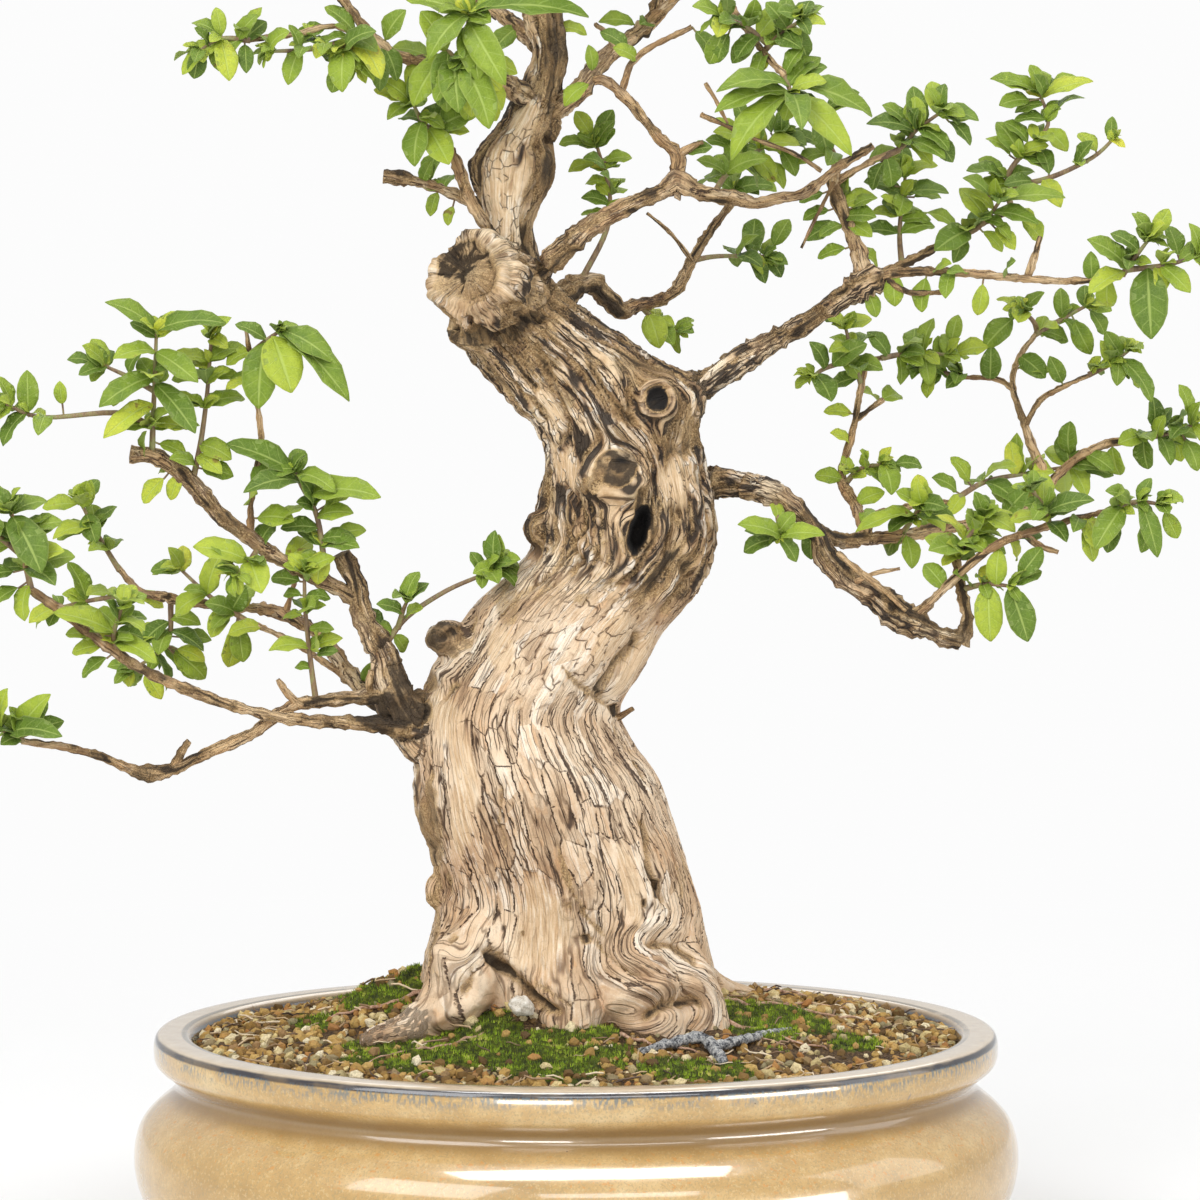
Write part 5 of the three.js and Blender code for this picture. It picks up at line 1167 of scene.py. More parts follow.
def bark_material(name, strand, tans, light):
    """Bark with strands of this width; tans run from its darkest to its palest, and light is worn edges."""
    material, tree, surface = new_material(name)
    straight = attribute(tree, "grain", "Vector")
    place = in_millimetres(tree)
    dark, grey, bare, plate, wrinkle = (
        attribute(tree, each) for each in ("dark", "grey", "bare", "plate", "wrinkle"))
    normal = tree.node("ShaderNodeNewGeometry").outputs["Normal"]
    pattern = bark_pattern(tree, straight, normal, strand, plate, wrinkle, grey)
    clouds = tree.grain_noise(place, (30, 30, 40), 3.0)
    spots = tree.grain_noise(place, (7, 7, 9), 3.0, 0.6)
    fibre = tree.grain_noise(straight, (0.8, 0.8, 13), 3.0, 0.65)
    strands = tree.grain_noise(straight, (2.6, 2.6, 22), 3.0)
    speck = tree.grain_noise(place, (0.8, 0.8, 0.8), 2.0, 0.7)
    stops = list(zip((0.25, 0.42, 0.56, 0.75), (paint(*tan) for tan in tans)))
    living = tree.ramp(clouds + 0.4 * (spots - 0.5), stops)
    aged = tree.ramp(clouds + 0.6 * (spots - 0.5), [
        (0.25, paint(146, 114, 78)), (0.42, paint(200, 166, 124)), (0.56, paint(228, 200, 162)),
        (0.75, paint(246, 228, 198))])
    colour = tree.mix(grey, living, aged)
    rusty = tree.between(spots * 0.55 + strands * 0.55, 0.58, 0.68) * (1 - grey * 0.5)
    colour = tree.mix(rusty * 0.42, colour, paint(206, 150, 92))
    lichen = tree.between(tree.grain_noise(place, (10, 10, 13), 3.0), 0.52, 0.66) * grey
    colour = tree.mix(lichen * 0.4, colour, paint(116, 108, 70))
    pale_wood = tree.ramp(fibre, [(0.32, paint(190, 152, 110)), (0.5, paint(224, 194, 154)),
                                  (0.68, paint(244, 226, 198))])
    colour = tree.mix(bare * 0.66, colour, pale_wood)
    shade = (pattern["tone"] - 0.5) * 0.5 * plate + (fibre - 0.5) * 0.5 + (strands - 0.5) * 0.4
    shade = shade + (speck - 0.5) * 0.25 + pattern["flake_tone"] * 0.5
    colour = tree.mix(tree.between(shade, 0.0, 0.3) * 0.75, colour, paint(*light))
    colour = tree.mix(tree.between(shade, 0.0, -0.32) * 0.55, colour, paint(120, 90, 62))
    lines = tree.sum("MAXIMUM", pattern["across"] * 0.75, pattern["folds"] * 0.66)
    lines = tree.sum("MAXIMUM", pattern["long"], lines)
    colour = tree.mix(pattern["fine"] * 0.62, colour, paint(104, 76, 50))
    colour = tree.mix(pattern["flakes"] * 0.62, colour, paint(66, 48, 30))
    colour = tree.mix(tree.between(lines, 0.05, 0.6) * 0.6, colour, paint(124, 90, 60))
    # The deepest part of each crack is painted near black as shade.
    deepest = tree.mix(grey, paint(62, 43, 29), paint(30, 22, 15))
    colour = tree.mix(tree.between(lines, 0.4, 0.8) * 0.9, colour, deepest)
    # These browns, and near black past 1, paint the dark attribute: the listed dark patches, the cracks' own
    # colour, and painted shade in grooves, pits, valleys and between lumps.
    dark_bark_and_shade = tree.ramp(speck * 0.6 + spots * 0.4, [(0.36, paint(82, 60, 34)), (0.49, paint(150, 119, 76)),
                                                  (0.58, paint(208, 176, 128))])
    ragged = dark + (spots - 0.5) * 0.6 + (speck - 0.5) * 0.5 + (strands - 0.5) * 0.7
    colour = tree.mix(tree.between(ragged, 0.26, 0.6) * 0.8, colour, dark_bark_and_shade)
    colour = tree.mix(tree.between(ragged, 0.66, 0.94) * 0.92, colour, paint(44, 32, 19))
    colour = tree.mix(tree.between(dark, 1.05, 1.4), colour, paint(20, 15, 11))
    finished(tree, surface, colour, 0.62 + 0.2 * fibre + 0.12 * dark, 0.3)
    height = fibre * 0.5 + speck * 0.4 + strands * 0.5 - lines * 1.2 - pattern["fine"] * 0.6
    height = height + pattern["flake_tone"] * 0.8 - pattern["flakes"] * 0.8
    bumped(tree, surface, height, 0.001, 0.9)
    return material


LOWER_TANS = [(186, 148, 112), (216, 184, 148), (234, 208, 176), (246, 230, 206)]
LIMB_TANS = [(118, 88, 58), (170, 134, 92), (204, 170, 124), (228, 202, 162)]
trunk.data.materials.append(bark_material("trunk_bark", TRUNK_STRAND, LOWER_TANS, (255, 246, 230)))
smoothed(trunk)
print("trunk bark painted")

# %% [markdown]
# ## Limbs
# The limbs are as thick as a pencil and as knobbly as fingers: at each old leaf pair there is a ring, and
# the bark between the rings flakes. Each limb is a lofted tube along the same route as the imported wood,
# with rings and lumps from noise, and the same bark tree with smaller plates.

# %% Loft the limbs
LIMB_SIDES = 14
RING_EVERY = 13.0
# Each limb starts this far along the grain from the last.
LIMB_STRETCH = 61.3
LIMB_STRAND = 2.4
LIMB_BARK = {"Crack depth": 0.5, "Roughness height": 0.45}
# Small woody bits that the solids leave out: snags, twigs and the vine on the lower limb.
SNAGS = [
    [[202, 444, -33, 1.8], [205, 453, -34, 1.6], [208, 463, -34, 1.0]],
    [[202, 329, -42, 1.8], [209, 324, -40, 1.5], [217, 321.5, -38, 1.1]],
    [[-124, 252, -25, 2.4], [-130, 258, -28, 2.0], [-134, 264, -30, 1.3]],
    [[-181, 225, -43, 2.2], [-178, 231, -46, 1.9], [-174.5, 236, -48, 1.4]],
    [[45.5, 499, -30, 2.2], [52, 503, -32, 1.6], [57, 505, -33, 0.9]],
    [[118, 321, -27, 1.4], [125, 315, -30, 1.5], [131, 310, -33, 1.5], [140, 303, -35, 1.5],
     [149, 295, -37, 1.3]],
    [[126, 308, -29, 1.3], [135, 312, -33, 1.2], [146, 314, -34, 0.9]],
    [[52, 452, 40, 1.0], [43, 464, 34, 1.0], [32, 473, 28, 0.8]],
    [[-245, 306, -74, 1.3], [-250, 326, -79, 1.1], [-254, 342, -81, 0.8]],
    [[115.5, 487, -12, 1.0], [110, 476, -16, 0.9], [105, 466, -18, 0.8], [101, 457.6, -19, 0.6]],
    [[58, 531, -30, 1.0], [64, 521, -33, 0.9], [68, 513, -34, 0.6]],
    [[56, 517, -22, 1.3], [70, 511, -26, 1.2], [81, 506, -30, 1.1], [98, 499.5, -34, 1.0],
     [110, 492, -36, 1.0]],
    [[18, 545, 8, 1.6], [14, 553, 2, 1.3], [9, 557, -4, 1.0]],
    [[139, 444, -22, 1.8], [150, 438, -28, 1.4], [166, 438, -34, 1.0]],
    [[-131, 293, 60, 1.6], [-128, 302, 56, 1.2], [-126, 310, 52, 0.9]],
    [[-92, 256, -16, 2.2], [-93, 262, -20, 1.8], [-92, 268, -22, 1.3]],
    [[12, 243, -4, 2.2], [20, 247, -6, 1.6], [26, 251, -7, 1.0]],
]


def wooden_tube(route, first, offset):
    """A knobbly tube along a route from its row first on: rings and each point's grain."""
    points, radii, lengths = even_route(route, LIMB_STEP)
    rows_before = np.searchsorted(np.linspace(0, len(route) - 1, len(points)), first)
    points, radii, lengths = points[rows_before:], radii[rows_before:], lengths[rows_before:]
    if first:
        radii = radii * np.interp(lengths - lengths[0], [0, 9], [0.86, 1.0])
    turns = np.arange(LIMB_SIDES) / LIMB_SIDES * 2 * np.pi
    rings = tube_rings(points, radii, LIMB_SIDES)
    flat = rings.reshape(-1, 3)
    phase = (lengths + offset) / RING_EVERY
    ring_lift = 0.16 * np.exp(-((phase - np.round(phase)) * RING_EVERY / 1.5) ** 2)
    wide = np.repeat(radii, LIMB_SIDES)
    lumps = 0.2 * lattice_noise(flat / np.maximum(2.4 * wide, 3)[:, None], 41)
    lumps = lumps + 0.15 * lattice_noise(flat / np.maximum(0.8 * wide, 1.2)[:, None], 43)
    swell = 1 + (np.repeat(ring_lift, LIMB_SIDES) + lumps)
    middles = np.repeat(points, LIMB_SIDES, axis=0)
    flat = middles + (flat - middles) * swell[:, None]
    girth = max(float(np.mean(radii)), 1.5)
    around = [np.tile(way(turns) * girth, len(points)) for way in (np.cos, np.sin)]
    grain = np.column_stack([*around, np.repeat(lengths + offset, LIMB_SIDES)])
    return skin(flat.reshape(rings.shape)), grain, wide


limb_parts, limb_grain, limb_radii = [], [], []
for number, route in enumerate(LIMBS + SNAGS):
    thick = thick_points(route) if number < len(LIMBS) else 0
    if thick == len(route):
        continue
    part, grain, wide = wooden_tube(route, max(0, thick - 1), LIMB_STRETCH * number)
    limb_parts.append(part)
    limb_grain.append(grain)
    limb_radii.append(wide)
limbs = object_of("limbs", mesh_of("limbs", limb_parts))
grain = np.vstack(limb_grain)
wide = np.concatenate(limb_radii)
limb_points, limb_normals = points_of(limbs.data)
patchy = lattice_noise(limb_points / 16, 51)
fine = lattice_noise(limb_points / 5, 53)
strand = lattice_noise(grain / np.array([2.4, 2.4, 24]), 55)
valley = np.exp(-(strand / 0.25) ** 2)
# The valleys along the strands are cut in and painted dark as shade, beside dark patches from noise.
weather_and_shade = {
    "wrinkle": np.zeros(len(wide)),
    "dark": np.maximum(valley * smooth_step(patchy + 0.7, 0, 0.8),
                       0.75 * smooth_step(patchy + 0.6 * fine, 0.2, 0.7)),
    "grey": smooth_step(patchy * 0.5 + 0.25 * (wide - 3.5) + 0.25, 0, 1),
    "bare": smooth_step(fine - 0.3 * patchy, 0.45, 0.9) * 0.6,
    "plate": np.clip(0.25 + 0.18 * wide, 0.2, 0.9),
}
limb_x, limb_z = lines_up(limb_points)
for *patch, darkness in DARK_PATCHES:
    radii = in_oval(limb_x, limb_z, *patch) + 0.3 * fine
    weather_and_shade["dark"] = np.maximum(weather_and_shade["dark"], darkness * smooth_step(radii, 1.2, 0.6))
put_points(limbs.data, limb_points - limb_normals * (0.16 * wide * valley)[:, None])
put_attribute(limbs.data, "grain", grain, "FLOAT_VECTOR")
for name, values in weather_and_shade.items():
    put_attribute(limbs.data, name, values)
run_tree(limbs, bark_tree("limb_bark_relief", LIMB_STRAND), LIMB_BARK)
limbs.data.materials.append(bark_material("limb_bark", LIMB_STRAND, LIMB_TANS, (226, 206, 174)))
smoothed(limbs)
print("limbs:", len(limbs.data.polygons), "faces")

# %% [markdown]
# ## Leafy shoots
# Honeysuckle carries its leaves in opposite pairs, each pair a quarter turn from the last, with a few large
# leaves and many small ones that spring from the same nodes. The list repeats the routes of the packed
# shoots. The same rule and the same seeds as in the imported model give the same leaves, so each packed leaf
# gets its fine leaf in its place.

# %% Shoots
# Each shoot: route (x, z, depth), leaf length, leaf pairs, where the pairs start. Then the largest leaves:
# from x, z to x, z; width; how far the tip leans in depth.
SPRAYS = [
  ["left_tip", [
    [[[-190, 366, -40], [-189.5, 380, -43], [-188.5, 401, -46], [-187.7, 420, -48]], 20, 3, 0.2],
    [[[-190, 378, -43], [-206, 384, -48], [-239, 382, -56], [-256, 388, -60]], 18, 3, 0.72],
    [[[-189, 394, -45], [-200, 400, -41], [-211, 405, -38]], 23, 1, 1],
  ], [
    [-188, 420, -211.5, 434, 9, -8], [-188, 420, -155.5, 424, 10, -6], [-188, 411, -208, 408, 10, -12],
    [-188, 411, -168.5, 397, 11, -12], [-188.5, 400, -214.5, 386, 11, -12], [-188.5, 397, -170, 374, 12, -12],
    [-189, 388, -212.6, 372, 10, -14],
  ]],
  ["left_second", [
    [[[-172, 353, -36], [-168, 372, -33], [-165, 394.5, -31], [-163, 420, -30]], 17, 4, 0.5],
  ], [[-170, 365, -158, 356, 8, -8]]],
  ["left_third", [
    [[[-146, 410, -35], [-139, 416, -38], [-132, 421, -41]], 14, 1, 0.9],
  ], [
    [-136, 419, -127, 392, 18, -10], [-139, 416, -146.5, 388, 16, -14], [-132, 421, -107.5, 406, 12, -8],
    [-132, 421, -105, 388, 12, -16], [-139, 417, -153, 424, 8, 2],
  ]],
  ["left_fourth", [
    [[[-112, 309, -24], [-116, 337, -28], [-123, 351, -31], [-126, 358, -33]], 18, 3, 0.3],
  ], [
    [-125, 357, -157.6, 370.5, 12, -6], [-125, 356, -107, 348, 10, -12], [-121, 346, -86.5, 346, 13, -14],
    [-124, 352, -150, 348, 11, -18],
  ]],
  ["left_under", [
    [[[-142, 324, -29], [-147, 317, -37], [-153, 311, -44]], 16, 2, 0.5],
  ], [[-147, 317, -173, 324, 12, -6], [-147, 318, -141, 302, 13, -12]]],
  ["left_upright", [
    [[[-117, 254, -22], [-119, 269, -25], [-121.6, 294.5, -28], [-122, 314, -30]], 17, 3, 0.4],
  ], []],
  ["low_left", [
    [[[-206, 275, -60], [-208, 284, -64], [-204, 297, -67]], 18, 3, 0.25],
  ], [[-208, 285, -238, 295, 11, -6], [-207, 280, -188, 271, 10, -12]]],
  ["far_left", [
    [[[-245, 305, -75], [-249, 323, -77], [-254, 340, -80]], 20, 3, 0.25],
    [[[-249, 320, -77], [-262, 330, -82], [-276, 335, -86]], 20, 2, 0.5],
  ], [[-253, 338, -240, 311, 16, -14], [-248, 316, -229, 322, 12, -12]]],
  ["bottom_left", [
    [[[-249, 236, -60], [-258, 241, -64], [-270, 247, -68]], 21, 3, 0.1],
  ], [[-252, 238, -236, 258, 11, -8], [-254, 239, -224, 239, 11, -14]]],
  ["left_back_high", [
    [[[-205, 313, 106], [-214, 328, 108], [-222, 343, 106]], 21, 3, 0.3],
  ], []],
  ["left_back_far", [
    [[[-194, 303, 99], [-216, 300, 107], [-234, 296, 114]], 22, 3, 0.35],
  ], []],
  ["left_back_near", [
    [[[-149, 291, 59], [-164, 301, 70], [-178, 314, 78]], 20, 3, 0.15],
  ], []],
  ["left_back_low", [
    [[[-182, 300, 94], [-184, 280, 97], [-200, 268, 103]], 20, 3, 0.35],
  ], []],
  ["high_left_tip", [
    [[[-145, 550, -48], [-158, 550.5, -51], [-168, 545, -54]], 18, 3, 0.1],
  ], [[-157, 550, -176, 534, 10, -4], [-150, 550, -141, 562, 8, -4]]],
  ["high_left_mid", [
    [[[-98, 554, -38], [-101, 550, -45], [-103, 545, -50]], 18, 2, 0.4],
    [[[-101, 550, -45], [-118, 546, -48], [-136, 545, -52]], 15, 3, 0.3],
  ], [[-102, 547, -104, 526, 12, -8], [-100, 551, -86, 532, 12, -10]]],
  ["high_left_big", [
    [[[-44, 536, -21], [-48, 549, -33], [-47.5, 562, -43]], 20, 1, 1],
  ], [
    [-48, 561, -66, 541, 13, -14], [-48, 556, -43, 531, 14, -16], [-47.5, 559, -26, 529, 14, -12],
    [-47.5, 562, 7, 560, 13, -6], [-47.5, 561, -77, 569, 13, 4],
  ]],
  ["high_left_low", [
    [[[-62, 540, -26], [-57, 545, -37], [-51, 539, -46]], 16, 1, 1],
  ], [
    [-57, 545, -61, 520, 14, -12], [-54, 542, -52, 517, 15, -16], [-51, 539, -42, 510, 15, -14],
    [-58, 544, -73, 520, 13, -4],
  ]],
  ["leader_left", [
    [[[-63, 508, -18], [-69, 515, -21], [-72, 521, -24]], 15, 2, 0.4],
  ], [[-66, 511, -56, 494, 13, -10], [-68, 514, -72, 493, 12, -6]]],
  ["leader_right", [
    [[[3, 444, 20], [14, 466, 26], [15, 484, 30], [9, 505, 34]], 17, 4, 0.45],
  ], []],
  ["whorl", [
    [[[93, 535, -59], [95, 530, -62], [96, 526, -64]], 17, 1, 1],
  ], [
    [95.5, 529, 62, 527, 11, -14], [96, 527, 67, 518, 10, -22], [96, 526, 69, 496, 13, -14],
    [96, 526, 124, 498, 12, -12], [95, 530, 134, 516, 13, -6], [96, 526, 100, 502, 11, -20],
    [95, 530, 110, 543, 10, 8],
  ]],
  ["whorl_upper", [
    [[[84, 545, -47], [92, 553, -54], [101, 559, -60]], 17, 3, 0.2],
    [[[86, 548, -49], [76, 556, -52], [66, 560, -54]], 17, 2, 0.5],
  ], []],
  ["arm_back", [
    [[[62, 482, -31], [68, 491, -18], [80, 500, -8], [93, 508, 0]], 19, 4, 0.3],
  ], []],
  ["right_high", [
    [[[136, 497, -15], [146, 503, -20], [152, 510, -23], [163, 518, -27]], 19, 3, 0.3],
  ], [[163, 518, 181, 514, 9, -6], [151, 509, 129, 513, 9, -8], [148, 505, 166, 497, 10, -12]]],
  ["right_second", [
    [[[146, 450, -6], [145, 466, 2], [147.5, 491, 8]], 19, 4, 0.35],
  ], []],
  ["right_third", [
    [[[171, 463, 13], [179, 466, 8], [185, 472, 4], [190, 479, 0]], 19, 3, 0.2],
  ], [[189, 478, 220, 480, 9, -4], [176, 465, 160, 456, 13, -14], [186, 473, 208, 468, 9, -8]]],
  ["right_fourth", [
    [[[195, 474, 25], [193, 489, 24], [200.5, 500.5, 23], [211, 512.5, 22], [207, 527, 22]], 19, 5, 0.25],
    [[[194, 485, 24], [212, 489, 19], [231, 498, 14], [241, 507, 10]], 12, 2, 0.6],
  ], [[207, 526, 184, 533, 8, -4], [208, 524, 232, 532, 8, -4]]],
  ["right_end", [
    [[[245, 446, -38], [250, 453, -41], [256, 461, -43]], 16, 2, 0.3],
    [[[247, 448, -39], [264, 450, -41], [278, 454, -43]], 15, 2, 0.5],
  ], [
    [256, 449, 258, 416, 17, -10], [247, 448, 228, 462, 11, -6], [262, 450, 276, 437, 9, -6],
    [246, 447, 229, 437, 10, -12],
  ]],
  ["behind_low", [
    [[[30, 431, 40], [36, 425, 46], [46, 420, 52]], 15, 2, 0.4],
  ], [[33, 428, 38, 412, 12, -6]]],
  ["behind_far", [
    [[[52, 452, 55], [64, 454, 62], [86, 454, 74]], 20, 3, 0.6],
  ], []],
  ["behind_high", [
    [[[69, 477, 73], [73, 492, 80], [77, 506, 85]], 20, 3, 0.2],
  ], []],
  ["rise_top", [
    [[[128, 397, 51], [124, 410, 50], [121, 422, 48]], 18, 3, 0.25],
    [[[124, 408, 50], [112, 404, 46], [106, 400, 42]], 13, 1, 1],
  ], []],
  ["rise_side", [
    [[[137, 408.5, 55], [152, 411, 57], [167, 410, 59]], 17, 3, 0.3],
  ], []],
  ["rise_low", [
    [[[121, 352, 34], [128, 359, 28], [138, 361, 24]], 14, 3, 0.3],
  ], []],
  ["rise_back", [
    [[[169, 344, 43], [184, 353, 52], [204, 357, 62], [222, 360, 70]], 25, 3, 0.3],
  ], []],
  ["far_rise_left", [
    [[[174, 400, 64], [165, 402, 63], [155, 405, 62]], 16, 3, 0.1],
  ], []],
  ["far_rise_top", [
    [[[206, 419, 64], [218, 426, 66], [229, 432, 67]], 19, 3, 0.1],
    [[[207, 420, 64], [205, 425, 58], [200, 430, 54]], 17, 1, 1],
  ], []],
  ["far_rise_right", [
    [[[230, 401, 56], [240, 406, 54], [248, 412, 52]], 16, 3, 0.1],
  ], [[243, 408, 259, 388, 10, -8]]],
  ["far_rise_end", [
    [[[251, 373, 64], [265, 374, 62], [278, 379, 60]], 17, 4, 0.1],
  ], []],
  ["elbow_inner", [
    [[[147, 330, 22], [152, 337, 12], [156, 343, 4]], 18, 2, 0.5],
  ], [[153, 338, 125, 330, 8, -14], [153, 338, 172, 334, 10, -10]]],
  ["elbow_mid", [
    [[[171, 316, -28], [176, 327, -31], [184, 337, -33]], 18, 4, 0.15],
  ], [[174, 323, 158, 322, 12, -14]]],
  ["elbow_hang", [
    [[[175, 305, -30], [185, 307, -36], [196, 306, -42]], 13, 2, 0.4],
  ], [[186, 307, 187, 280, 13, -4], [195, 306, 204, 280, 13, -4]]],
  ["elbow_outer", [
    [[[213, 333, -44], [211, 341, -50], [205, 349, -55]], 17, 3, 0.2],
  ], [[212, 339, 234, 345, 10, -10]]],
  ["elbow_end", [
    [[[243, 341, -47], [252, 344, -50], [263, 343, -53]], 17, 3, 0.1],
  ], [[254, 344, 262, 318, 9, -6], [246, 342, 233, 322, 12, -10]]],
  ["trunk_front", [
    [[[90, 346, -6], [91, 336, -19], [92, 328, -26]], 9, 1, 1],
  ], [
    [92, 329, 75, 331, 7, -2], [92, 328, 72, 334, 10, -12], [91.5, 331, 99, 340, 8, 0],
    [92, 328, 113, 329, 9, -8],
  ]],
  ["trunk_left", [
    [[[-86, 279, -18], [-76, 292, -14], [-58, 304, -8], [-40, 312, -6], [-34, 317, -6]], 18, 2, 0.9],
    [[[-80, 287, -16], [-78, 294, -20], [-76, 299, -24]], 18, 1, 1],
  ], []],
  ["crown_top", [
    [[[-12, 649, 0], [-12, 662, -1], [-11, 676, -2]], 19, 4, 0.15],
  ], []],
  ["crown_back", [
    [[[10, 611, 111], [14, 622, 124], [18, 632, 134]], 21, 4, 0.1],
  ], []],
  ["crown_back_left", [
    [[[-75, 587, 83], [-88, 594, 94], [-100, 598, 102]], 21, 4, 0.1],
  ], []],
  ["crown_right", [
    [[[65, 618, -16], [80, 624, -20], [94, 628, -24]], 21, 4, 0.1],
  ], []],
  ["crown_left", [
    [[[-87, 626, -2], [-104, 630, -4], [-118, 632, -6]], 21, 4, 0.1],
  ], []],
  ["crown_front", [
    [[[0, 609, -75], [2, 618, -88], [4, 624, -98]], 21, 4, 0.1],
  ], []],
  ["crown_back_right", [
    [[[33, 635, 51], [44, 644, 62], [54, 650, 70]], 21, 4, 0.1],
  ], []],
  ["crown_fork", [
    [[[47, 601, 26], [58, 612, 30], [70, 618, 34]], 21, 4, 0.1],
  ], []],
  ["crown_high_left", [
    [[[-111, 579, -43], [-122, 590, -46], [-130, 600, -48]], 21, 4, 0.1],
  ], []],
]
print(len(SPRAYS), "leafy shoots")

# %% The rule of the pairs
FIRST_SEED = 1000
LEAST_LEAF = 16.3
TOP_NODE = 0.96
# How the pairs roll, lean, rise and face. Each spread is the range of the random part.
HABIT = {"rollSpread": 0.9, "lean": 0.35, "tipLean": 0.75, "leanSpread": 0.3, "rise": -0.35, "riseSpread": 0.45,
         "faceUp": 0.6, "faceFront": 0.5, "faceOut": 0.2, "faceSpread": 0.9,
         "shortest": 0.74, "lengthSpread": 0.42, "tipLength": 0.85, "width": 0.5,
         "arch": 0.06, "archSpread": 0.12}
LARGE_HABIT = {"faceUp": 0.55, "faceFront": 0.75, "faceSpread": 0.5, "arch": 0.08, "archSpread": 0.08}
# Turns, sideways and upwards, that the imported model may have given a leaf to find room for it.
SWINGS = [(0, 0), (0.3, 0), (-0.3, 0), (0, 0.3), (0, -0.3), (0.6, 0), (-0.6, 0), (0.35, 0.35), (-0.35, 0.35),
          (0.9, 0), (-0.9, 0), (0, 0.7), (0, -0.7)]
WORD = 0xFFFFFFFF


def seeded(seed):
    """Random numbers from 0 to 1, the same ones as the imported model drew."""
    state = seed

    def draw():
        nonlocal state
        state = (state + 0x6D2B79F5) & WORD
        mixed = ((state ^ (state >> 15)) * (1 | state)) & WORD
        mixed = ((mixed + (((mixed ^ (mixed >> 7)) * (61 | mixed)) & WORD)) & WORD) ^ mixed
        return ((mixed ^ (mixed >> 14)) & WORD) / 4294967296

    return draw


def on_route(points, share):
    """Where a route is at a share of its length, and its direction there."""
    lengths = [(end - start).length for start, end in zip(points, points[1:])]
    left = share * sum(lengths)
    i = 0
    while i < len(lengths) - 1 and left > lengths[i]:
        left -= lengths[i]
        i += 1
    along = (points[i + 1] - points[i]).normalized()
    return points[i] + along * left, along


def leaf(base, direction, face, length, width, arch):
    return {"base": base, "direction": direction, "face": face, "length": length, "width": width, "arch": arch}


def node_frame(along):
    """The two directions across a shoot from which its pairs roll."""
    level = along.cross(UP)
    across = Vector((1, 0, 0)) if level.length < 0.2 else level.normalized()
    return across, across.cross(along)


def paired_leaves(points, size, pairs, start, draw):
    leaves = []
    for node in range(pairs):
        at_end = node == pairs - 1
        share = start if pairs == 1 else start + (TOP_NODE - start) * node / (pairs - 1)
        point, along = on_route(points, min(share, TOP_NODE))
        across, lift = node_frame(along)
        roll = node * math.pi / 2 + (draw() - 0.5) * HABIT["rollSpread"]
        for side in (1, -1):
            ahead, rise, longer, tilt, bend = (draw() for _ in range(5))
            out = across * (side * math.cos(roll)) + lift * (side * math.sin(roll))
            lean = HABIT["tipLean" if at_end else "lean"] + HABIT["leanSpread"] * (ahead - 0.5)
            direction = (out + along * lean + UP * (HABIT["rise"] + HABIT["riseSpread"] * rise)).normalized()
            face = UP * HABIT["faceUp"] + FRONT * HABIT["faceFront"] + out * HABIT["faceOut"]
            face = face + across * (HABIT["faceSpread"] * (tilt - 0.5))
            length = size * (HABIT["shortest"] + HABIT["lengthSpread"] * longer)
            length *= HABIT["tipLength"] if at_end else 1
            leaves.append(leaf(point, direction, face, length, length * HABIT["width"],
                               HABIT["arch"] + HABIT["archSpread"] * bend))
    return leaves


def large_leaf(placing, routes, draw):
    from_x, from_z, to_x, to_z, width, lean = placing
    nearest = None
    for route in routes:
        for (ax, az, a_depth), (bx, bz, b_depth) in zip(route, route[1:]):
            share = ((from_x - ax) * (bx - ax) + (from_z - az) * (bz - az)) / ((bx - ax) ** 2 + (bz - az) ** 2)
            share = min(1, max(0, share))
            place = (ax + share * (bx - ax), az + share * (bz - az), a_depth + share * (b_depth - a_depth))
            away = math.hypot(place[0] - from_x, place[1] - from_z)
            if nearest is None or away < nearest[0]:
                nearest = (away, place)
    x, z, depth = nearest[1]
    base = seen(x, z, depth)
    reach = seen(to_x, to_z, depth + lean) - base
    face = UP * LARGE_HABIT["faceUp"] + FRONT * LARGE_HABIT["faceFront"]
    face = face + Vector((LARGE_HABIT["faceSpread"] * (draw() - 0.5), 0, 0))
    arch = LARGE_HABIT["arch"] + LARGE_HABIT["archSpread"] * draw()
    return leaf(base, reach.normalized(), face, reach.length, width, arch)


def swung(grown_leaf, sideways, upwards):
    """The leaf turned about its foot, with its face made square to it."""
    direction = grown_leaf["direction"].copy()
    direction.rotate(Quaternion(UP, sideways))
    level = direction.cross(UP).normalized()
    direction.rotate(Quaternion(level, upwards))
    face = grown_leaf["face"].copy()
    face.rotate(Quaternion(UP, sideways))
    face.rotate(Quaternion(level, upwards))
    face = (face - direction * face.dot(direction)).normalized()
    return {**grown_leaf, "direction": direction, "face": face}


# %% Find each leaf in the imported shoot
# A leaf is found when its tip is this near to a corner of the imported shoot, in millimetres.
MATCHED = 0.3


def tip_of(grown_leaf):
    return grown_leaf["base"] + grown_leaf["direction"] * grown_leaf["length"]


def packed_leaves(name, index, shoots, large):
    """A shoot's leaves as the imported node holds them, and those that it had no room for."""
    corners = nodes[name].data.vertices
    tree = KDTree(len(corners))
    for corner in corners:
        tree.insert(corner.co / MM - POT_MIDDLE, corner.index)
    tree.balance()
    draw = seeded(FIRST_SEED + index)
    routes = [shoot[0] for shoot in shoots]
    leaves = [large_leaf(placing, routes, draw) for placing in large]
    for route, size, pairs, start in shoots:
        leaves += paired_leaves([seen(*place) for place in route], size, pairs, start, draw)
    found, spare = [], []
    for grown_leaf in leaves:
        tries = [swung(grown_leaf, *swing) for swing in SWINGS]
        gaps = [tree.find(tip_of(turned))[2] for turned in tries]
        best = min(range(len(tries)), key=lambda i: gaps[i])
        if gaps[best] < MATCHED:
            found.append(tries[best])
        else:
            spare.append(tries[0])
    return found, spare


packed = {}
for index, (name, shoots, large) in enumerate(SPRAYS):
    packed[name] = packed_leaves(name, index, shoots, large)
found_count = sum(len(found) for found, _ in packed.values())
spare_count = sum(len(spare) for _, spare in packed.values())
print(found_count, "leaves found in the packed shoots,", spare_count, "small or without room there")

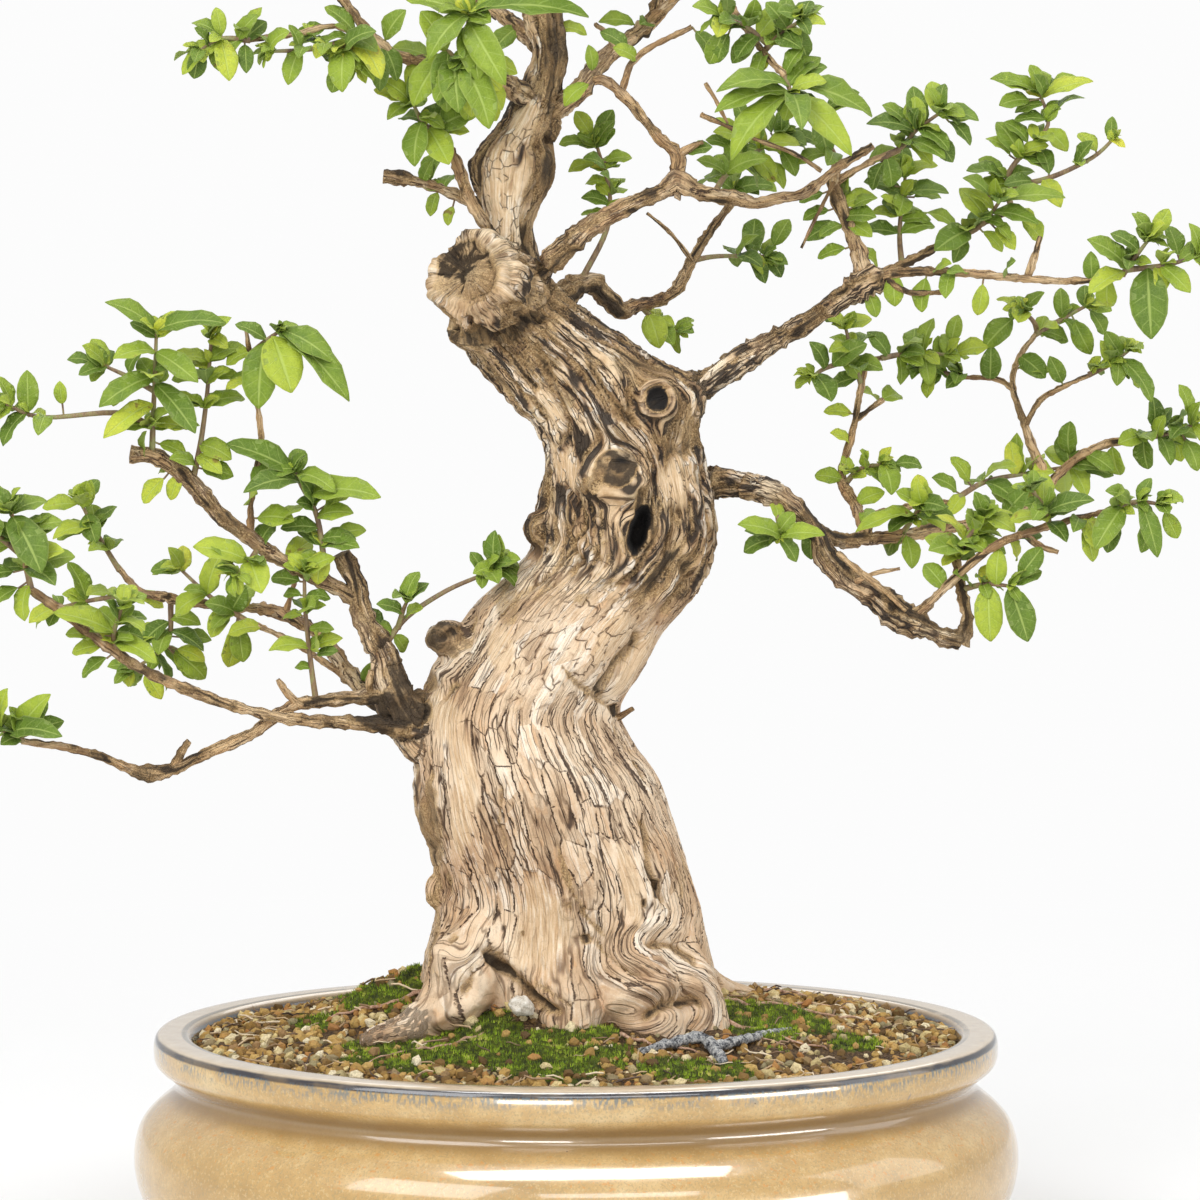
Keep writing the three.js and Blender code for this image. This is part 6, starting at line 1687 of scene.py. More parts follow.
# %% [markdown]
# ## More leaves
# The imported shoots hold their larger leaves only. The small ones crowd at the same nodes: tufts in the leaf
# axils, rosettes at the tips, and scattered leaves along the thin limbs. Tufts and rosettes follow a rule
# with a fixed seed, and the scattered ones are placed one by one where they show from the front, each on
# the nearest wood.

# %% Scattered leaves
# Where the middle of each leaf shows: x, z, length. The yellowed ones have a list of their own.
SCATTERED = [
    (-234.6, 409, 12), (-231, 396.5, 11), (-180, 367, 14), (-184, 358, 10), (-197, 407, 12),
    (-205, 393, 15), (-183, 404, 15), (-176, 388, 16), (-181, 378, 15), (-191, 364, 15), (-170, 408, 11),
    (-155, 400, 12), (-156, 410, 10), (-151, 408, 14), (-176, 399, 12), (-160, 415, 13), (-148, 399, 12),
    (-174, 360, 18), (-163, 367, 17), (-160, 357, 15), (-122, 332, 18), (-108, 338, 19), (-100, 330, 16),
    (-140, 350, 20), (-113, 322, 16), (-134, 336, 18), (-117, 342, 20), (-101, 349, 18), (-146, 342, 15),
    (-128, 321, 20), (-106, 327, 17), (-139, 329, 16), (-160, 322, 15), (-133, 357, 16), (-128, 302, 10),
    (-128, 292, 11), (-113.6, 286.5, 12), (-111, 276, 11), (-123, 269, 9), (-115, 301, 12), (-119, 309, 14),
    (-131, 309, 15), (-110, 316, 14), (-92, 268, 14), (-208, 279, 14), (-200, 284, 13), (-214, 285, 13),
    (-218, 268, 15), (-222, 284, 17), (-189, 284, 18), (-201, 297, 14), (-226, 276, 15), (-226, 330, 18),
    (-220, 338, 17), (-232, 342, 18), (-242, 330, 16), (-258, 344, 17), (-246, 341, 18), (-238, 333, 17),
    (-230, 318, 17), (-256, 322, 18), (-262, 310, 16), (-258, 300, 16), (-247, 298, 17), (-150, 275, 17),
    (-160, 290, 17), (-168, 282, 16), (-184, 290, 17), (-181, 273, 18), (-171, 268, 20), (-158, 262, 20),
    (-165, 255, 16), (-175, 290, 16), (-193, 300, 16), (-152, 300, 18), (-141, 290, 17), (-246, 247, 18),
    (-262, 238, 18), (-240, 252, 16), (-268, 252, 18), (-236, 243, 16), (-35, 315, 13), (-42, 309, 12),
    (-30, 309, 12), (-45, 317, 12), (-38, 322, 13), (-75, 290, 13), (-84, 296, 14), (-88, 287, 12),
    (-79, 280, 12), (-92, 292, 13), (-159, 559, 13), (-142, 560, 12), (-147, 541, 14), (-135.5, 547, 12),
    (-117.5, 542.5, 15), (-94, 543.6, 13), (-90, 532, 13), (-119, 555, 10), (-54, 514, 20), (-67, 517, 17),
    (-70.6, 508, 15), (-63.7, 494, 16), (-61, 480, 14), (-47, 523, 20), (-58, 529, 18), (-40, 534, 17),
    (-71, 529, 18), (-33, 519, 18), (0, 525, 15), (9, 505, 14), (2, 493, 13), (20, 497, 14), (-4, 504, 12),
    (10, 478, 14), (14, 514, 14), (3, 514, 13), (15, 487, 12), (62.5, 546, 16), (77, 547, 16),
    (57.6, 563, 14), (78, 562, 15), (91, 559, 16), (99, 549, 17), (102, 560, 15), (105, 530, 16),
    (84, 538, 15), (112, 538, 14), (88, 548, 15), (66, 492, 16), (84, 493.6, 17), (60.5, 505, 14),
    (85, 501.5, 16), (91, 507, 16), (86, 484, 15), (96, 471, 15), (110, 464, 17), (118, 470, 16),
    (125, 457, 15), (114, 455, 14), (75, 500, 16), (72, 487, 14), (80, 510, 14), (141, 518, 14),
    (153, 517, 14), (157.6, 507.7, 14), (155, 499, 14), (167, 498, 16), (146, 510, 13), (172, 508, 15),
    (160, 524, 13), (135, 489, 14), (172, 489.5, 15), (188.6, 485, 16), (146, 481, 15), (139, 473, 14),
    (152, 470, 15), (147, 496, 14), (158, 480, 14), (130, 478, 13), (171, 457, 15), (199, 472, 16),
    (181, 479, 15), (163, 470, 16), (187, 460, 14), (194.6, 459, 14), (195, 447, 14), (178, 470, 15),
    (205, 465, 15), (176, 450, 13), (194.6, 530, 14), (205, 532.6, 14), (219.6, 531, 14), (195, 522, 15),
    (213.6, 517, 15), (196, 509.5, 15), (215, 505, 15), (209, 497, 15), (204, 520, 14), (222, 497, 15),
    (188, 503, 14), (185, 494, 14), (203, 488, 15), (200, 498, 14), (228, 505, 13), (236, 457, 15),
    (247, 459, 16), (259, 461.5, 16), (253, 466, 15), (267, 461.5, 15), (238.6, 440, 16), (242, 451, 14),
    (270, 452, 15), (231, 448, 14), (262, 470, 14), (276, 462, 16), (143, 439, 15), (156, 436, 16),
    (167, 441, 15), (181, 434, 15), (160, 446, 14), (133, 432, 13), (172, 430, 14), (116, 404, 20),
    (135, 415, 16), (152, 415, 16), (165, 409, 17), (154.6, 405, 15), (110, 397, 19), (117, 384, 14),
    (140, 386, 16), (127, 408, 17), (120, 397, 18), (131, 399, 17), (145, 404, 15), (131, 391, 17),
    (108, 410, 16), (127, 424, 14), (160, 398, 15), (129, 362, 15), (140, 354, 17), (113, 355, 14),
    (172, 359, 15), (205, 355, 17), (220.5, 369, 17), (222, 378, 16), (121, 365, 14), (133, 346, 15),
    (150, 360, 14), (165, 352, 15), (196, 364, 17), (232, 363, 16), (213.6, 362, 16), (192, 350, 15),
    (227.6, 417, 18), (186, 407, 18), (206, 403, 15), (215, 404, 15), (225, 433, 17), (242, 409, 16),
    (241, 415, 15), (188, 418, 19), (197, 411, 17), (178, 412, 17), (234, 424, 15), (217, 428, 15),
    (249, 400, 16), (252, 411, 15), (205, 433, 14), (256, 367, 17), (236, 357, 16), (243, 362, 16),
    (275, 375, 16), (263.5, 376.6, 15), (278, 361, 16), (272, 392, 15), (259, 385, 15), (250, 372, 15),
    (270, 368, 15), (139, 335, 18), (149, 333, 17), (159, 336, 17), (164, 324.5, 18), (177, 329, 19),
    (192, 335, 18), (150, 320.7, 16), (161, 311, 15), (190, 314, 17), (205, 317.5, 17), (204, 310, 15),
    (149, 345, 16), (216, 331, 15), (219, 340, 16), (232, 331, 17), (241, 328, 16), (232, 319, 15),
    (249, 343, 16), (261, 340, 16), (255, 327, 17), (180, 340, 17), (170, 318, 16), (184, 321, 17),
    (198, 328, 16), (157, 328, 16), (145, 327, 16), (226, 337, 15), (240, 336, 15), (268, 333, 14),
    (174, 308, 15), (172, 346, 15), (96, 322, 14), (82, 324, 16), (106, 326, 14), (88, 336, 12),
    (-165.8, 550.1, 13), (-158.6, 542.1, 15), (-142.2, 554.5, 14), (-135.9, 547.4, 16), (-119.6, 543.9, 15),
    (-111.4, 558, 17), (-104.6, 545.7, 20), (-98.7, 538.6, 18), (-92.4, 549.2, 16), (-86.9, 534.1, 16),
    (-80.6, 527.9, 17), (-74.2, 543.9, 20), (-68.3, 535.9, 19), (-63.4, 554.5, 22), (-58.8, 527, 20),
    (-56.1, 541.2, 19), (-49.8, 530.6, 20), (-46.1, 519.1, 18), (-38.9, 523.5, 22), (-35.2, 536.8, 20),
    (-30.7, 550.1, 19), (-79.7, 557.2, 17), (-68.8, 517.3, 14), (-61.5, 511.1, 15), (-54.3, 509.3, 16),
    (-83.3, 541.2, 18), (-96.9, 554.5, 18), (-106.9, 532.4, 14), (-71.5, 525.3, 15), (-44.3, 546.5, 20),
    (-66.1, 492.4, 12), (-58.8, 485.3, 13), (-63.4, 476.4, 12), (-56.1, 471, 10), (2.8, 552.7, 15),
    (10.1, 558, 17), (16.4, 550.1, 15), (23.7, 543, 13), (29.1, 554.5, 16), (6.5, 543, 12),
    (58.2, 547.4, 15), (63.6, 540.3, 14), (70.8, 555.4, 16), (76.3, 547.4, 17), (82.6, 538.6, 15),
    (85.4, 556.3, 18), (92.6, 548.3, 18), (98.1, 541.2, 15), (99.9, 556.3, 14), (78.1, 531.5, 16),
    (69.9, 525.3, 15), (61.8, 514.6, 14), (67.2, 507.5, 15), (74.5, 501.3, 14), (56.3, 501.3, 12),
    (81.7, 494.2, 15), (89, 489.7, 16), (96.2, 493.3, 14), (105.3, 496.8, 16), (115.3, 501.3, 17),
    (122.5, 491.5, 16), (129.8, 497.7, 18), (118, 485.3, 15), (127.1, 479.1, 16), (135.2, 486.2, 15),
    (139.8, 493.3, 17), (122.5, 469.3, 14), (101.7, 505.7, 15), (92.6, 511.1, 16), (83.5, 515.5, 16),
    (109.8, 515.5, 17), (120.7, 521.7, 18), (128.9, 527.9, 17), (97.1, 476.8, 12), (104.4, 471, 13),
    (113.5, 464.8, 13),
]
YELLOWED = [
    (-90, 528, 14), (65, 557, 15), (199, 490, 15), (211, 486, 17), (240, 508, 12), (261, 442.5, 14),
    (154.6, 351, 13), (195.7, 323.5, 14), (-162, 404, 15), (-152, 396, 12), (-190, 260, 15),
    (-167, 272, 15), (-191, 347, 15), (-226, 300, 14), (-180, 350, 13), (170, 320, 13), (118, 373, 13),
]
print(len(SCATTERED) + len(YELLOWED), "scattered leaves")


# %% Tufts, rosettes and spare leaves
THIN_LIMB = 6.0
LIMB_RELUCTANCE = 4.0
LONGEST_STALK = 6.0
# The crown, above what the photo shows, has leaves along its thin limbs too.
CROWN_FROM = 582
CROWN_DENSITY = 0.75
CROWN_LEAF = (10, 22)
# Least and most length in a tuft and in a rosette, as shares of the shoot's leaf length.
TUFT = (0.45, 0.9)
ROSETTE = (0.35, 0.75)
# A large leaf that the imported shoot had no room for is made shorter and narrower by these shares.
SPARE_LENGTH = 0.72
SPARE_WIDTH = 0.8


def random_leaf(point, along, draw, least, most):
    """A small leaf that springs from a node in any direction round the shoot, mostly forward and up."""
    across, lift = node_frame(along)
    turn = 2 * math.pi * draw()
    out = across * math.cos(turn) + lift * math.sin(turn)
    direction = (out + along * (0.3 + 0.9 * draw()) + UP * (0.5 * draw() - 0.2)).normalized()
    face = UP * 0.7 + FRONT * 0.5 + out * 0.3 + across * (0.9 * (draw() - 0.5))
    length = least + (most - least) * draw() ** 1.4
    width = length * (0.52 + 0.16 * draw())
    return swung(leaf(point, direction, face, length, width, 0.05 + 0.14 * draw()), 0, 0)


def more_leaves(index, shoots, spare):
    """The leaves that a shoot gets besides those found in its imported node."""
    draw = seeded(FIRST_SEED * 7 + index)
    leaves = []
    for grown_leaf in spare:
        if grown_leaf["length"] >= LEAST_LEAF:
            grown_leaf = {**grown_leaf, "length": grown_leaf["length"] * SPARE_LENGTH,
                          "width": grown_leaf["width"] * SPARE_WIDTH}
        leaves.append(grown_leaf)
    for route, size, pairs, start in shoots:
        points = [seen(*place) for place in route]
        for node in range(pairs):
            share = start if pairs == 1 else start + (TOP_NODE - start) * node / (pairs - 1)
            point, along = on_route(points, min(share, TOP_NODE))
            for _ in range(2 + int(draw() * 3)):
                leaves.append(random_leaf(point, along, draw, TUFT[0] * size, TUFT[1] * size))
        point, along = on_route(points, 1.0)
        for _ in range(4 + int(draw() * 3)):
            leaves.append(random_leaf(point, along, draw, ROSETTE[0] * size, ROSETTE[1] * size))
    return leaves


# Every place a scattered leaf can spring from, as seen and in space, with the shoot it belongs to.
wood_places = []
for name, shoots, _ in SPRAYS:
    for route, _, _, _ in shoots:
        points = [seen(*place) for place in route]
        wood_places += [(name, on_route(points, step / 20)[0]) for step in range(2, 21)]
for route in LIMBS:
    points = [seen(*row[:3]) for row in route]
    if max(row[3] for row in route) < THIN_LIMB:
        wood_places += [("", on_route(points, step / 30)[0]) for step in range(31)]
place_lines = np.column_stack(lines_up(np.array([point for _, point in wood_places])))
shoot_names = np.array([name for name, _ in wood_places])


def placed_leaf(x, z, length, draw):
    """A leaf whose middle shows at x, z, from the nearest thin wood, and the name of the nearest shoot."""
    away = np.hypot(place_lines[:, 0] - x, place_lines[:, 1] - z)
    on_shoot = np.where(shoot_names != "", away, np.inf)
    owner = shoot_names[int(on_shoot.argmin())]
    nearest = int((away + np.where(shoot_names == "", LIMB_RELUCTANCE, 0)).argmin())
    base = wood_places[nearest][1]
    middle = seen(x, z, base.y + 8 * (draw() - 0.5))
    reach = middle - base
    if reach.length < 0.3 * length:
        reach = Vector((draw() - 0.5, draw() - 0.5, 0.3 - 0.6 * draw()))
    direction = reach.normalized()
    start = base + direction * min(max(0, reach.length - 0.5 * length), LONGEST_STALK)
    face = UP * 0.6 + FRONT * 0.7 + Vector((draw() - 0.5, 0, 0))
    width = length * (0.5 + 0.14 * draw())
    made = swung(leaf(start, direction, face, length, width, 0.06 + 0.1 * draw()), 0, 0)
    made["stalk_from"] = base
    return owner, made


def radius_at(route, share):
    """Radius of a limb at a share of its rows."""
    return float(np.interp(share * (len(route) - 1), range(len(route)), [row[3] for row in route]))


grown_leaves = {}
for index, (name, shoots, _) in enumerate(SPRAYS):
    found, spare = packed[name]
    grown_leaves[name] = found + more_leaves(index, shoots, spare)
draw = seeded(FIRST_SEED)
for x, z, length in SCATTERED:
    owner, made = placed_leaf(x, z, length, draw)
    grown_leaves[owner].append(made)
for x, z, length in YELLOWED:
    owner, made = placed_leaf(x, z, length, draw)
    grown_leaves[owner].append({**made, "yellow": True})
for route in LIMBS:
    points = [seen(*row[:3]) for row in route]
    thin = [step / 40 for step in range(8, 41) if radius_at(route, step / 40) < THIN_LIMB / 2]
    for share in thin:
        point, along = on_route(points, share)
        if point.z < CROWN_FROM or draw() > CROWN_DENSITY:
            continue
        away = [(point - place).length if name else 1e9 for name, place in wood_places]
        owner = shoot_names[int(np.argmin(away))]
        for _ in range(2 + int(draw() * 2)):
            grown_leaves[owner].append(random_leaf(point, along, draw, *CROWN_LEAF))
print(sum(len(leaves) for leaves in grown_leaves.values()), "leaves in all")

# %% [markdown]
# ## One leaf
# The blade is an oval with a short stalk, a shallow fold along the midrib and a soft arch. It is a closed
# lens with about a hundred faces, so hundreds of copies stay light. Five blades with more and more arch
# stand ready, and each leaf takes the one that fits. Its map runs across and along the blade, and the
# underside is two units further, so that the material can tell the sides apart.

# %% Blades
# Share of the length, and half width there by the width of the leaf.
BLADE_ROWS = [(0, 0.03), (0.06, 0.05), (0.12, 0.2), (0.23, 0.36), (0.38, 0.47), (0.55, 0.5), (0.71, 0.455),
              (0.85, 0.33), (0.94, 0.18), (1, 0.03)]
BLADE_COLUMNS = (-1, -0.5, 0, 0.5, 1)
BLADE_THICKNESS = 0.02
ARCHES = (0.04, 0.08, 0.12, 0.16, 0.21)
UNDERSIDE = 2.0
# The fold along the midrib, which flattens from blade to blade, and the waves of the margin.
FOLD = 0.22
FOLD_LOSS = 0.03
WAVE = 0.1
WAVE_SHIFT = 1.9


def blade_mesh(name, arch, fold, wave, wave_phase):
    mesh = bpy.data.meshes.new(name)
    shape = bmesh.new()
    layers = []
    for side in (1, -1):
        grid = []
        for share, half in BLADE_ROWS:
            row = []
            for column in BLADE_COLUMNS:
                lift = 4 * share * (1 - share) * arch + fold * half * abs(column)
                lift += wave * abs(column) * half * math.sin(share * 11 + wave_phase + column)
                thick = BLADE_THICKNESS * (1 - 0.75 * abs(column)) * (0.4 + half)
                row.append(shape.verts.new((column * half, share, lift + side * thick / 2)))
            grid.append(row)
        layers.append(grid)
    uv = shape.loops.layers.uv.new("UVMap")

    def face(corners, places):
        made = shape.faces.new(corners)
        made.smooth = True
        for loop, (across, along) in zip(made.loops, places):
            loop[uv].uv = (across, along)

    for side, grid in enumerate(layers):
        for row in range(len(BLADE_ROWS) - 1):
            for column in range(len(BLADE_COLUMNS) - 1):
                order = [(row, column), (row, column + 1), (row + 1, column + 1), (row + 1, column)]
                order = order if side == 0 else order[::-1]
                face([grid[r][c] for r, c in order],
                     [(BLADE_COLUMNS[c], BLADE_ROWS[r][0] + UNDERSIDE * side) for r, c in order])
    top, bottom = layers
    rim = [(row, 0) for row in range(len(BLADE_ROWS))]
    rim += [(len(BLADE_ROWS) - 1, column) for column in range(1, len(BLADE_COLUMNS))]
    rim += [(row, len(BLADE_COLUMNS) - 1) for row in range(len(BLADE_ROWS) - 2, -1, -1)]
    rim += [(0, column) for column in range(len(BLADE_COLUMNS) - 2, 0, -1)]
    for (ra, ca), (rb, cb) in zip(rim, rim[1:] + rim[:1]):
        face([top[ra][ca], top[rb][cb], bottom[rb][cb], bottom[ra][ca]],
             [(BLADE_COLUMNS[ca], BLADE_ROWS[ra][0])] * 4)
    bmesh.ops.recalc_face_normals(shape, faces=shape.faces)
    shape.to_mesh(mesh)
    shape.free()
    return mesh


blades = bpy.data.collections.new("blades")
for number, arch in enumerate(ARCHES):
    mesh = blade_mesh(f"blade_{number}", arch, FOLD - FOLD_LOSS * number, WAVE, WAVE_SHIFT * number)
    blades.objects.link(bpy.data.objects.new(mesh.name, mesh))

# %% [markdown]
# ## Shoots from points
# A Geometry Nodes tree turns a light seed mesh into a shoot. Its edges are twigs and become tubes. Its
# loose points are the feet of leaves and carry each leaf's turn, size, tone and blade as attributes. The
# tree ends in real meshes, because the export leaves instances out.

# %% Leaf and twig finishes
LEAF_GREENS = [(0.0, paint(62, 88, 22)), (0.3, paint(104, 131, 38)), (0.55, paint(146, 168, 50)),
               (0.78, paint(182, 196, 62)), (1.0, paint(212, 208, 66))]
SIDE_VEINS = 6.0


def leaf_material():
    material, tree, surface = new_material("honeysuckle_leaf")
    place = in_millimetres(tree)
    tone = attribute(tree, "tone")
    uv_map = tree.node("ShaderNodeUVMap", {"uv_map": "UVMap"}).outputs[0]
    corner = tree.node("ShaderNodeSeparateXYZ", None, {0: uv_map})
    across = tree.sum("ABSOLUTE", Value(tree, corner.outputs["X"]))
    along = Value(tree, corner.outputs["Y"])
    under = tree.between(along, 1.4, 1.6)
    share = along - 2.0 * under
    blotch = tree.grain_noise(place, (7, 7, 7), 3.0)
    speck = tree.grain_noise(place, (0.9, 0.9, 0.9), 2.0)
    colour = tree.ramp(tone + (blotch - 0.5) * 0.35 + (share - 0.5) * 0.06, LEAF_GREENS)
    shade = tree.between(speck, 0.35, 0.65)
    colour = tree.mix(shade * 0.14, colour, paint(66, 92, 34))
    rib = tree.between(across, 0.03, 0.13, 1.0, 0.0)
    wave = tree.sum("FRACT", (share - across * 0.17) * SIDE_VEINS)
    vein = tree.between(tree.sum("ABSOLUTE", wave - 0.5), 0.0, 0.09, 1.0, 0.0) * tree.between(across, 0.95, 0.7)
    fine = tree.node("ShaderNodeTexVoronoi", {"feature": "DISTANCE_TO_EDGE"},
                     {"Vector": scaled(tree, place, 0.62), "Scale": 1.0})
    net = tree.between(Value(tree, fine.outputs["Distance"]), 0.0, 0.12, 1.0, 0.0)
    veins = tree.sum("MAXIMUM", rib, tree.sum("MAXIMUM", vein * 0.55, net * 0.2))
    colour = tree.mix(veins * 0.5, colour, paint(186, 204, 112))
    margin = tree.between(across, 0.86, 1.0) * tree.between(share, 0.1, 0.2)
    colour = tree.mix(margin * 0.35, colour, paint(186, 200, 112))
    colour = tree.mix(under * 0.45, colour, paint(164, 182, 108))
    brown = tree.between(blotch + (tone - 0.5) * 0.2, 0.71, 0.78)
    colour = tree.mix(brown * 0.75, colour, paint(128, 96, 54))
    finished(tree, surface, colour, 0.5 + 0.16 * speck + 0.2 * under, 0.2, 0.03)
    bumped(tree, surface, veins * -1.0 + speck * 0.5, 0.0005, 0.6)
    return material


def twig_material():
    material, tree, surface = new_material("green_twig")
    place = in_millimetres(tree)
    blotch = tree.grain_noise(place, (5, 5, 9), 3.0)
    fine = tree.grain_noise(place, (0.8, 0.8, 2.5), 2.0)
    colour = tree.ramp(blotch + (fine - 0.5) * 0.4, [(0.3, paint(96, 72, 52)), (0.5, paint(138, 112, 78)),
                                                    (0.68, paint(140, 140, 84))])
    finished(tree, surface, colour, 0.6 + 0.2 * fine)
    bumped(tree, surface, fine, 0.0004, 0.6)
    return material


honeysuckle_leaf = leaf_material()
green_twig = twig_material()


# %% The tree that grows a shoot
def shoot_tree():
    group, tree, start, end = geometry_tree("leafy_shoot", {
        "Blades": "NodeSocketCollection", "Twig sides": "NodeSocketInt", "Leaf finish": "NodeSocketMaterial",
        "Twig finish": "NodeSocketMaterial"})
    seed = start.outputs["Geometry"]
    curve = tree.node("GeometryNodeMeshToCurve", None, {"Mesh": seed}).outputs[0]
    profile = tree.node("GeometryNodeCurvePrimitiveCircle", {"mode": "RADIUS"},
                        {"Resolution": start.outputs["Twig sides"], "Radius": 1.0}).outputs[0]
    twig = tree.node("GeometryNodeCurveToMesh", None,
                     {"Curve": curve, "Profile Curve": profile, "Scale": named(tree, "thickness"),
                      "Fill Caps": True}).outputs[0]
    twig = tree.node("GeometryNodeSetMaterial", None,
                     {"Geometry": twig, "Material": start.outputs["Twig finish"]}).outputs[0]
    feet = tree.node("GeometryNodeSeparateGeometry", {"domain": "POINT"},
                     {"Geometry": seed, "Selection": named(tree, "foot").socket}).outputs[0]
    choice = tree.node("GeometryNodeCollectionInfo", None,
                       {"Collection": start.outputs["Blades"], "Separate Children": True,
                        "Reset Children": True}).outputs[0]
    turn = tree.node("FunctionNodeEulerToRotation", None, {0: named(tree, "turn", "FLOAT_VECTOR")}).outputs[0]
    placed = tree.node("GeometryNodeInstanceOnPoints", None, {
        "Points": feet, "Instance": choice, "Pick Instance": True, "Instance Index": named(tree, "blade"),
        "Rotation": turn, "Scale": named(tree, "size", "FLOAT_VECTOR")}).outputs[0]
    leaves = tree.node("GeometryNodeRealizeInstances", None, {"Geometry": placed}).outputs[0]
    leaves = tree.node("GeometryNodeSetMaterial", None,
                       {"Geometry": leaves, "Material": start.outputs["Leaf finish"]}).outputs[0]
    joined = tree.node("GeometryNodeJoinGeometry")
    tree.tree.links.new(twig, joined.inputs[0])
    tree.tree.links.new(leaves, joined.inputs[0])
    tree.tree.links.new(joined.outputs[0], end.inputs["Geometry"])
    return group


leafy_shoot = shoot_tree()
print("the tree for shoots has", len(leafy_shoot.nodes), "nodes")

# %% Seeds for the tree
TWIG_FOOT = 1.5
TWIG_TIP = 0.75
STALK = 0.45
FOOT_SINK = 1.0
# Tones run from 0, old dark green, to 1, yellow. Leaves shorter than this are young, so a little paler.
SMALL_LEAF = 11
YELLOW_TONE = 0.8
SEED_FIELDS = {"thickness": "FLOAT", "foot": "FLOAT", "turn": "FLOAT_VECTOR", "size": "FLOAT_VECTOR",
               "tone": "FLOAT", "blade": "FLOAT"}


def twig_points(route):
    """Smooth points along a shoot with their radii."""
    rows = eased(route, 5)
    points = [seen(*row) for row in rows]
    radii = np.linspace(TWIG_FOOT, TWIG_TIP, len(points))
    return points, radii


def shoot_seed(name, shoots, leaves, draw):
    """The seed mesh of a shoot: twigs as edges, the feet of leaves as loose points with their attributes."""
    points, edges = [], []
    values = {key: [] for key in SEED_FIELDS}

    def add(point, thickness=0.0, foot=0.0, turn=(0, 0, 0), size=(0, 0, 0), tone=0.0, blade=0.0):
        points.append((point + POT_MIDDLE) * MM)
        for key, value in zip(values, (thickness * MM, foot, turn, size, tone, blade)):
            values[key].append(value)

    lines = [twig_points(route) for route, _, _, _ in shoots]
    stalked = [(grown["stalk_from"], grown["base"]) for grown in leaves if "stalk_from" in grown]
    lines += [(list(ends), [STALK, STALK]) for ends in stalked if (ends[0] - ends[1]).length > 1]
    for line_points, radii in lines:
        for step, (point, radius) in enumerate(zip(line_points, radii)):
            if step:
                edges.append((len(points) - 1, len(points)))
            add(point, thickness=radius)
    young = draw()
    for grown in leaves:
        side = grown["direction"].cross(grown["face"])
        euler = Matrix((side, grown["direction"], grown["face"])).transposed().to_euler()
        tone = 0.16 + 0.56 * draw() ** 1.2 + 0.16 * (young - 0.5) + (0.22 if draw() < 0.05 else 0)
        if grown["length"] < SMALL_LEAF:
            tone += 0.14
        if "yellow" in grown:
            tone = YELLOW_TONE
        arch = min(range(len(ARCHES)), key=lambda i: abs(ARCHES[i] - grown["arch"]))
        add(grown["base"] - grown["direction"] * FOOT_SINK, foot=1.0, turn=tuple(euler),
            size=(grown["width"] * MM, grown["length"] * MM, grown["length"] * MM), tone=tone, blade=arch)
    mesh = bpy.data.meshes.new(name)
    mesh.from_pydata(points, edges, [])
    for key, kind in SEED_FIELDS.items():
        put_attribute(mesh, key, values[key], kind)
    return object_of(name, mesh)


# %% Grow the shoots
shoots_made = []
for index, (name, shoots, _) in enumerate(SPRAYS):
    seed = shoot_seed(f"{name}_leaves", shoots, grown_leaves[name], seeded(FIRST_SEED * 3 + index))
    run_tree(seed, leafy_shoot, {"Blades": blades, "Twig sides": 7, "Leaf finish": honeysuckle_leaf,
                                 "Twig finish": green_twig})
    shoots_made.append((seed, name))
print("faces in all shoots:", sum(len(piece.data.polygons) for piece, _ in shoots_made))

# %% [markdown]
# ## The pot
# The pot is thrown stoneware, pressed oval, with a rolled rim, a neck and a full belly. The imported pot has
# flat facets, so the same profile is swept again with smooth curves. Feet and drains are cut as on the real
# one.

# %% Pot profile
RIM_HALF_LENGTH = 191.5
RIM_HALF_DEPTH = 153
# Over the lip and down the outside, then the inside from the floor up. Each point: how far out from the rim's
# oval, and how high.
POT_PROFILE = [
    (-16.6, 103.2), (-14.8, 104.5), (-11.5, 105), (-4.5, 105), (-1.8, 104.2), (-0.4, 102), (0, 98),
    (-0.4, 93.5), (-2.2, 90.4), (-6.2, 87.2), (-9.6, 84.2), (-10.2, 82), (-9.2, 79.4), (-5.4, 75.6),
    (-0.5, 71.6), (4.6, 66.2), (7.6, 60), (9.1, 52), (9.0, 44), (7.2, 35), (3.5, 27), (-1.6, 19.6),
    (-7.5, 14), (-14, 10.8), (-20, 10),
]
POT_INNER = [(-24, 20), (-14, 23.5), (-7.5, 32), (-3, 42), (-2.2, 51), (-4.2, 60), (-9.4, 68.5), (-15.5, 74.5),
             (-19.6, 80), (-20.4, 88), (-19.6, 96), (-18, 101)]
POT_STEPS = 180
FLOOR_UNDERSIDE = 10
FLOOR_TOP = 20
FOOT_OUTSIDE = [(-23, 0), (-22, 1.2), (-20.5, 6), (-19, 11.5)]
FOOT_INSIDE = [(-43, 11.5), (-42.5, 1.2), (-41.5, 0)]
FOOT_GAP_LENGTH = 160
FOOT_GAP_DEPTH = 100
DRAIN_X = 72
DRAIN_RADIUS = 11
WOBBLE = 0.35


def oval(outset, height, steps=POT_STEPS):
    turns = np.arange(steps) / steps * 2 * np.pi
    wobble = WOBBLE * np.sin(3 * turns + 0.7) + WOBBLE * 0.6 * np.sin(5 * turns + height / 18)
    long, deep = (half + outset + wobble - WOBBLE * 1.6 for half in (RIM_HALF_LENGTH, RIM_HALF_DEPTH))
    return np.column_stack([long * np.cos(turns), deep * np.sin(turns), np.full(steps, height)])


def smooth_profile(profile, steps):
    """Soft curve through a profile's points."""
    rows = np.array(profile, float)
    return eased(np.column_stack([rows, rows[:, :1] * 0, rows[:, :1] * 0]), steps)[:, :2]


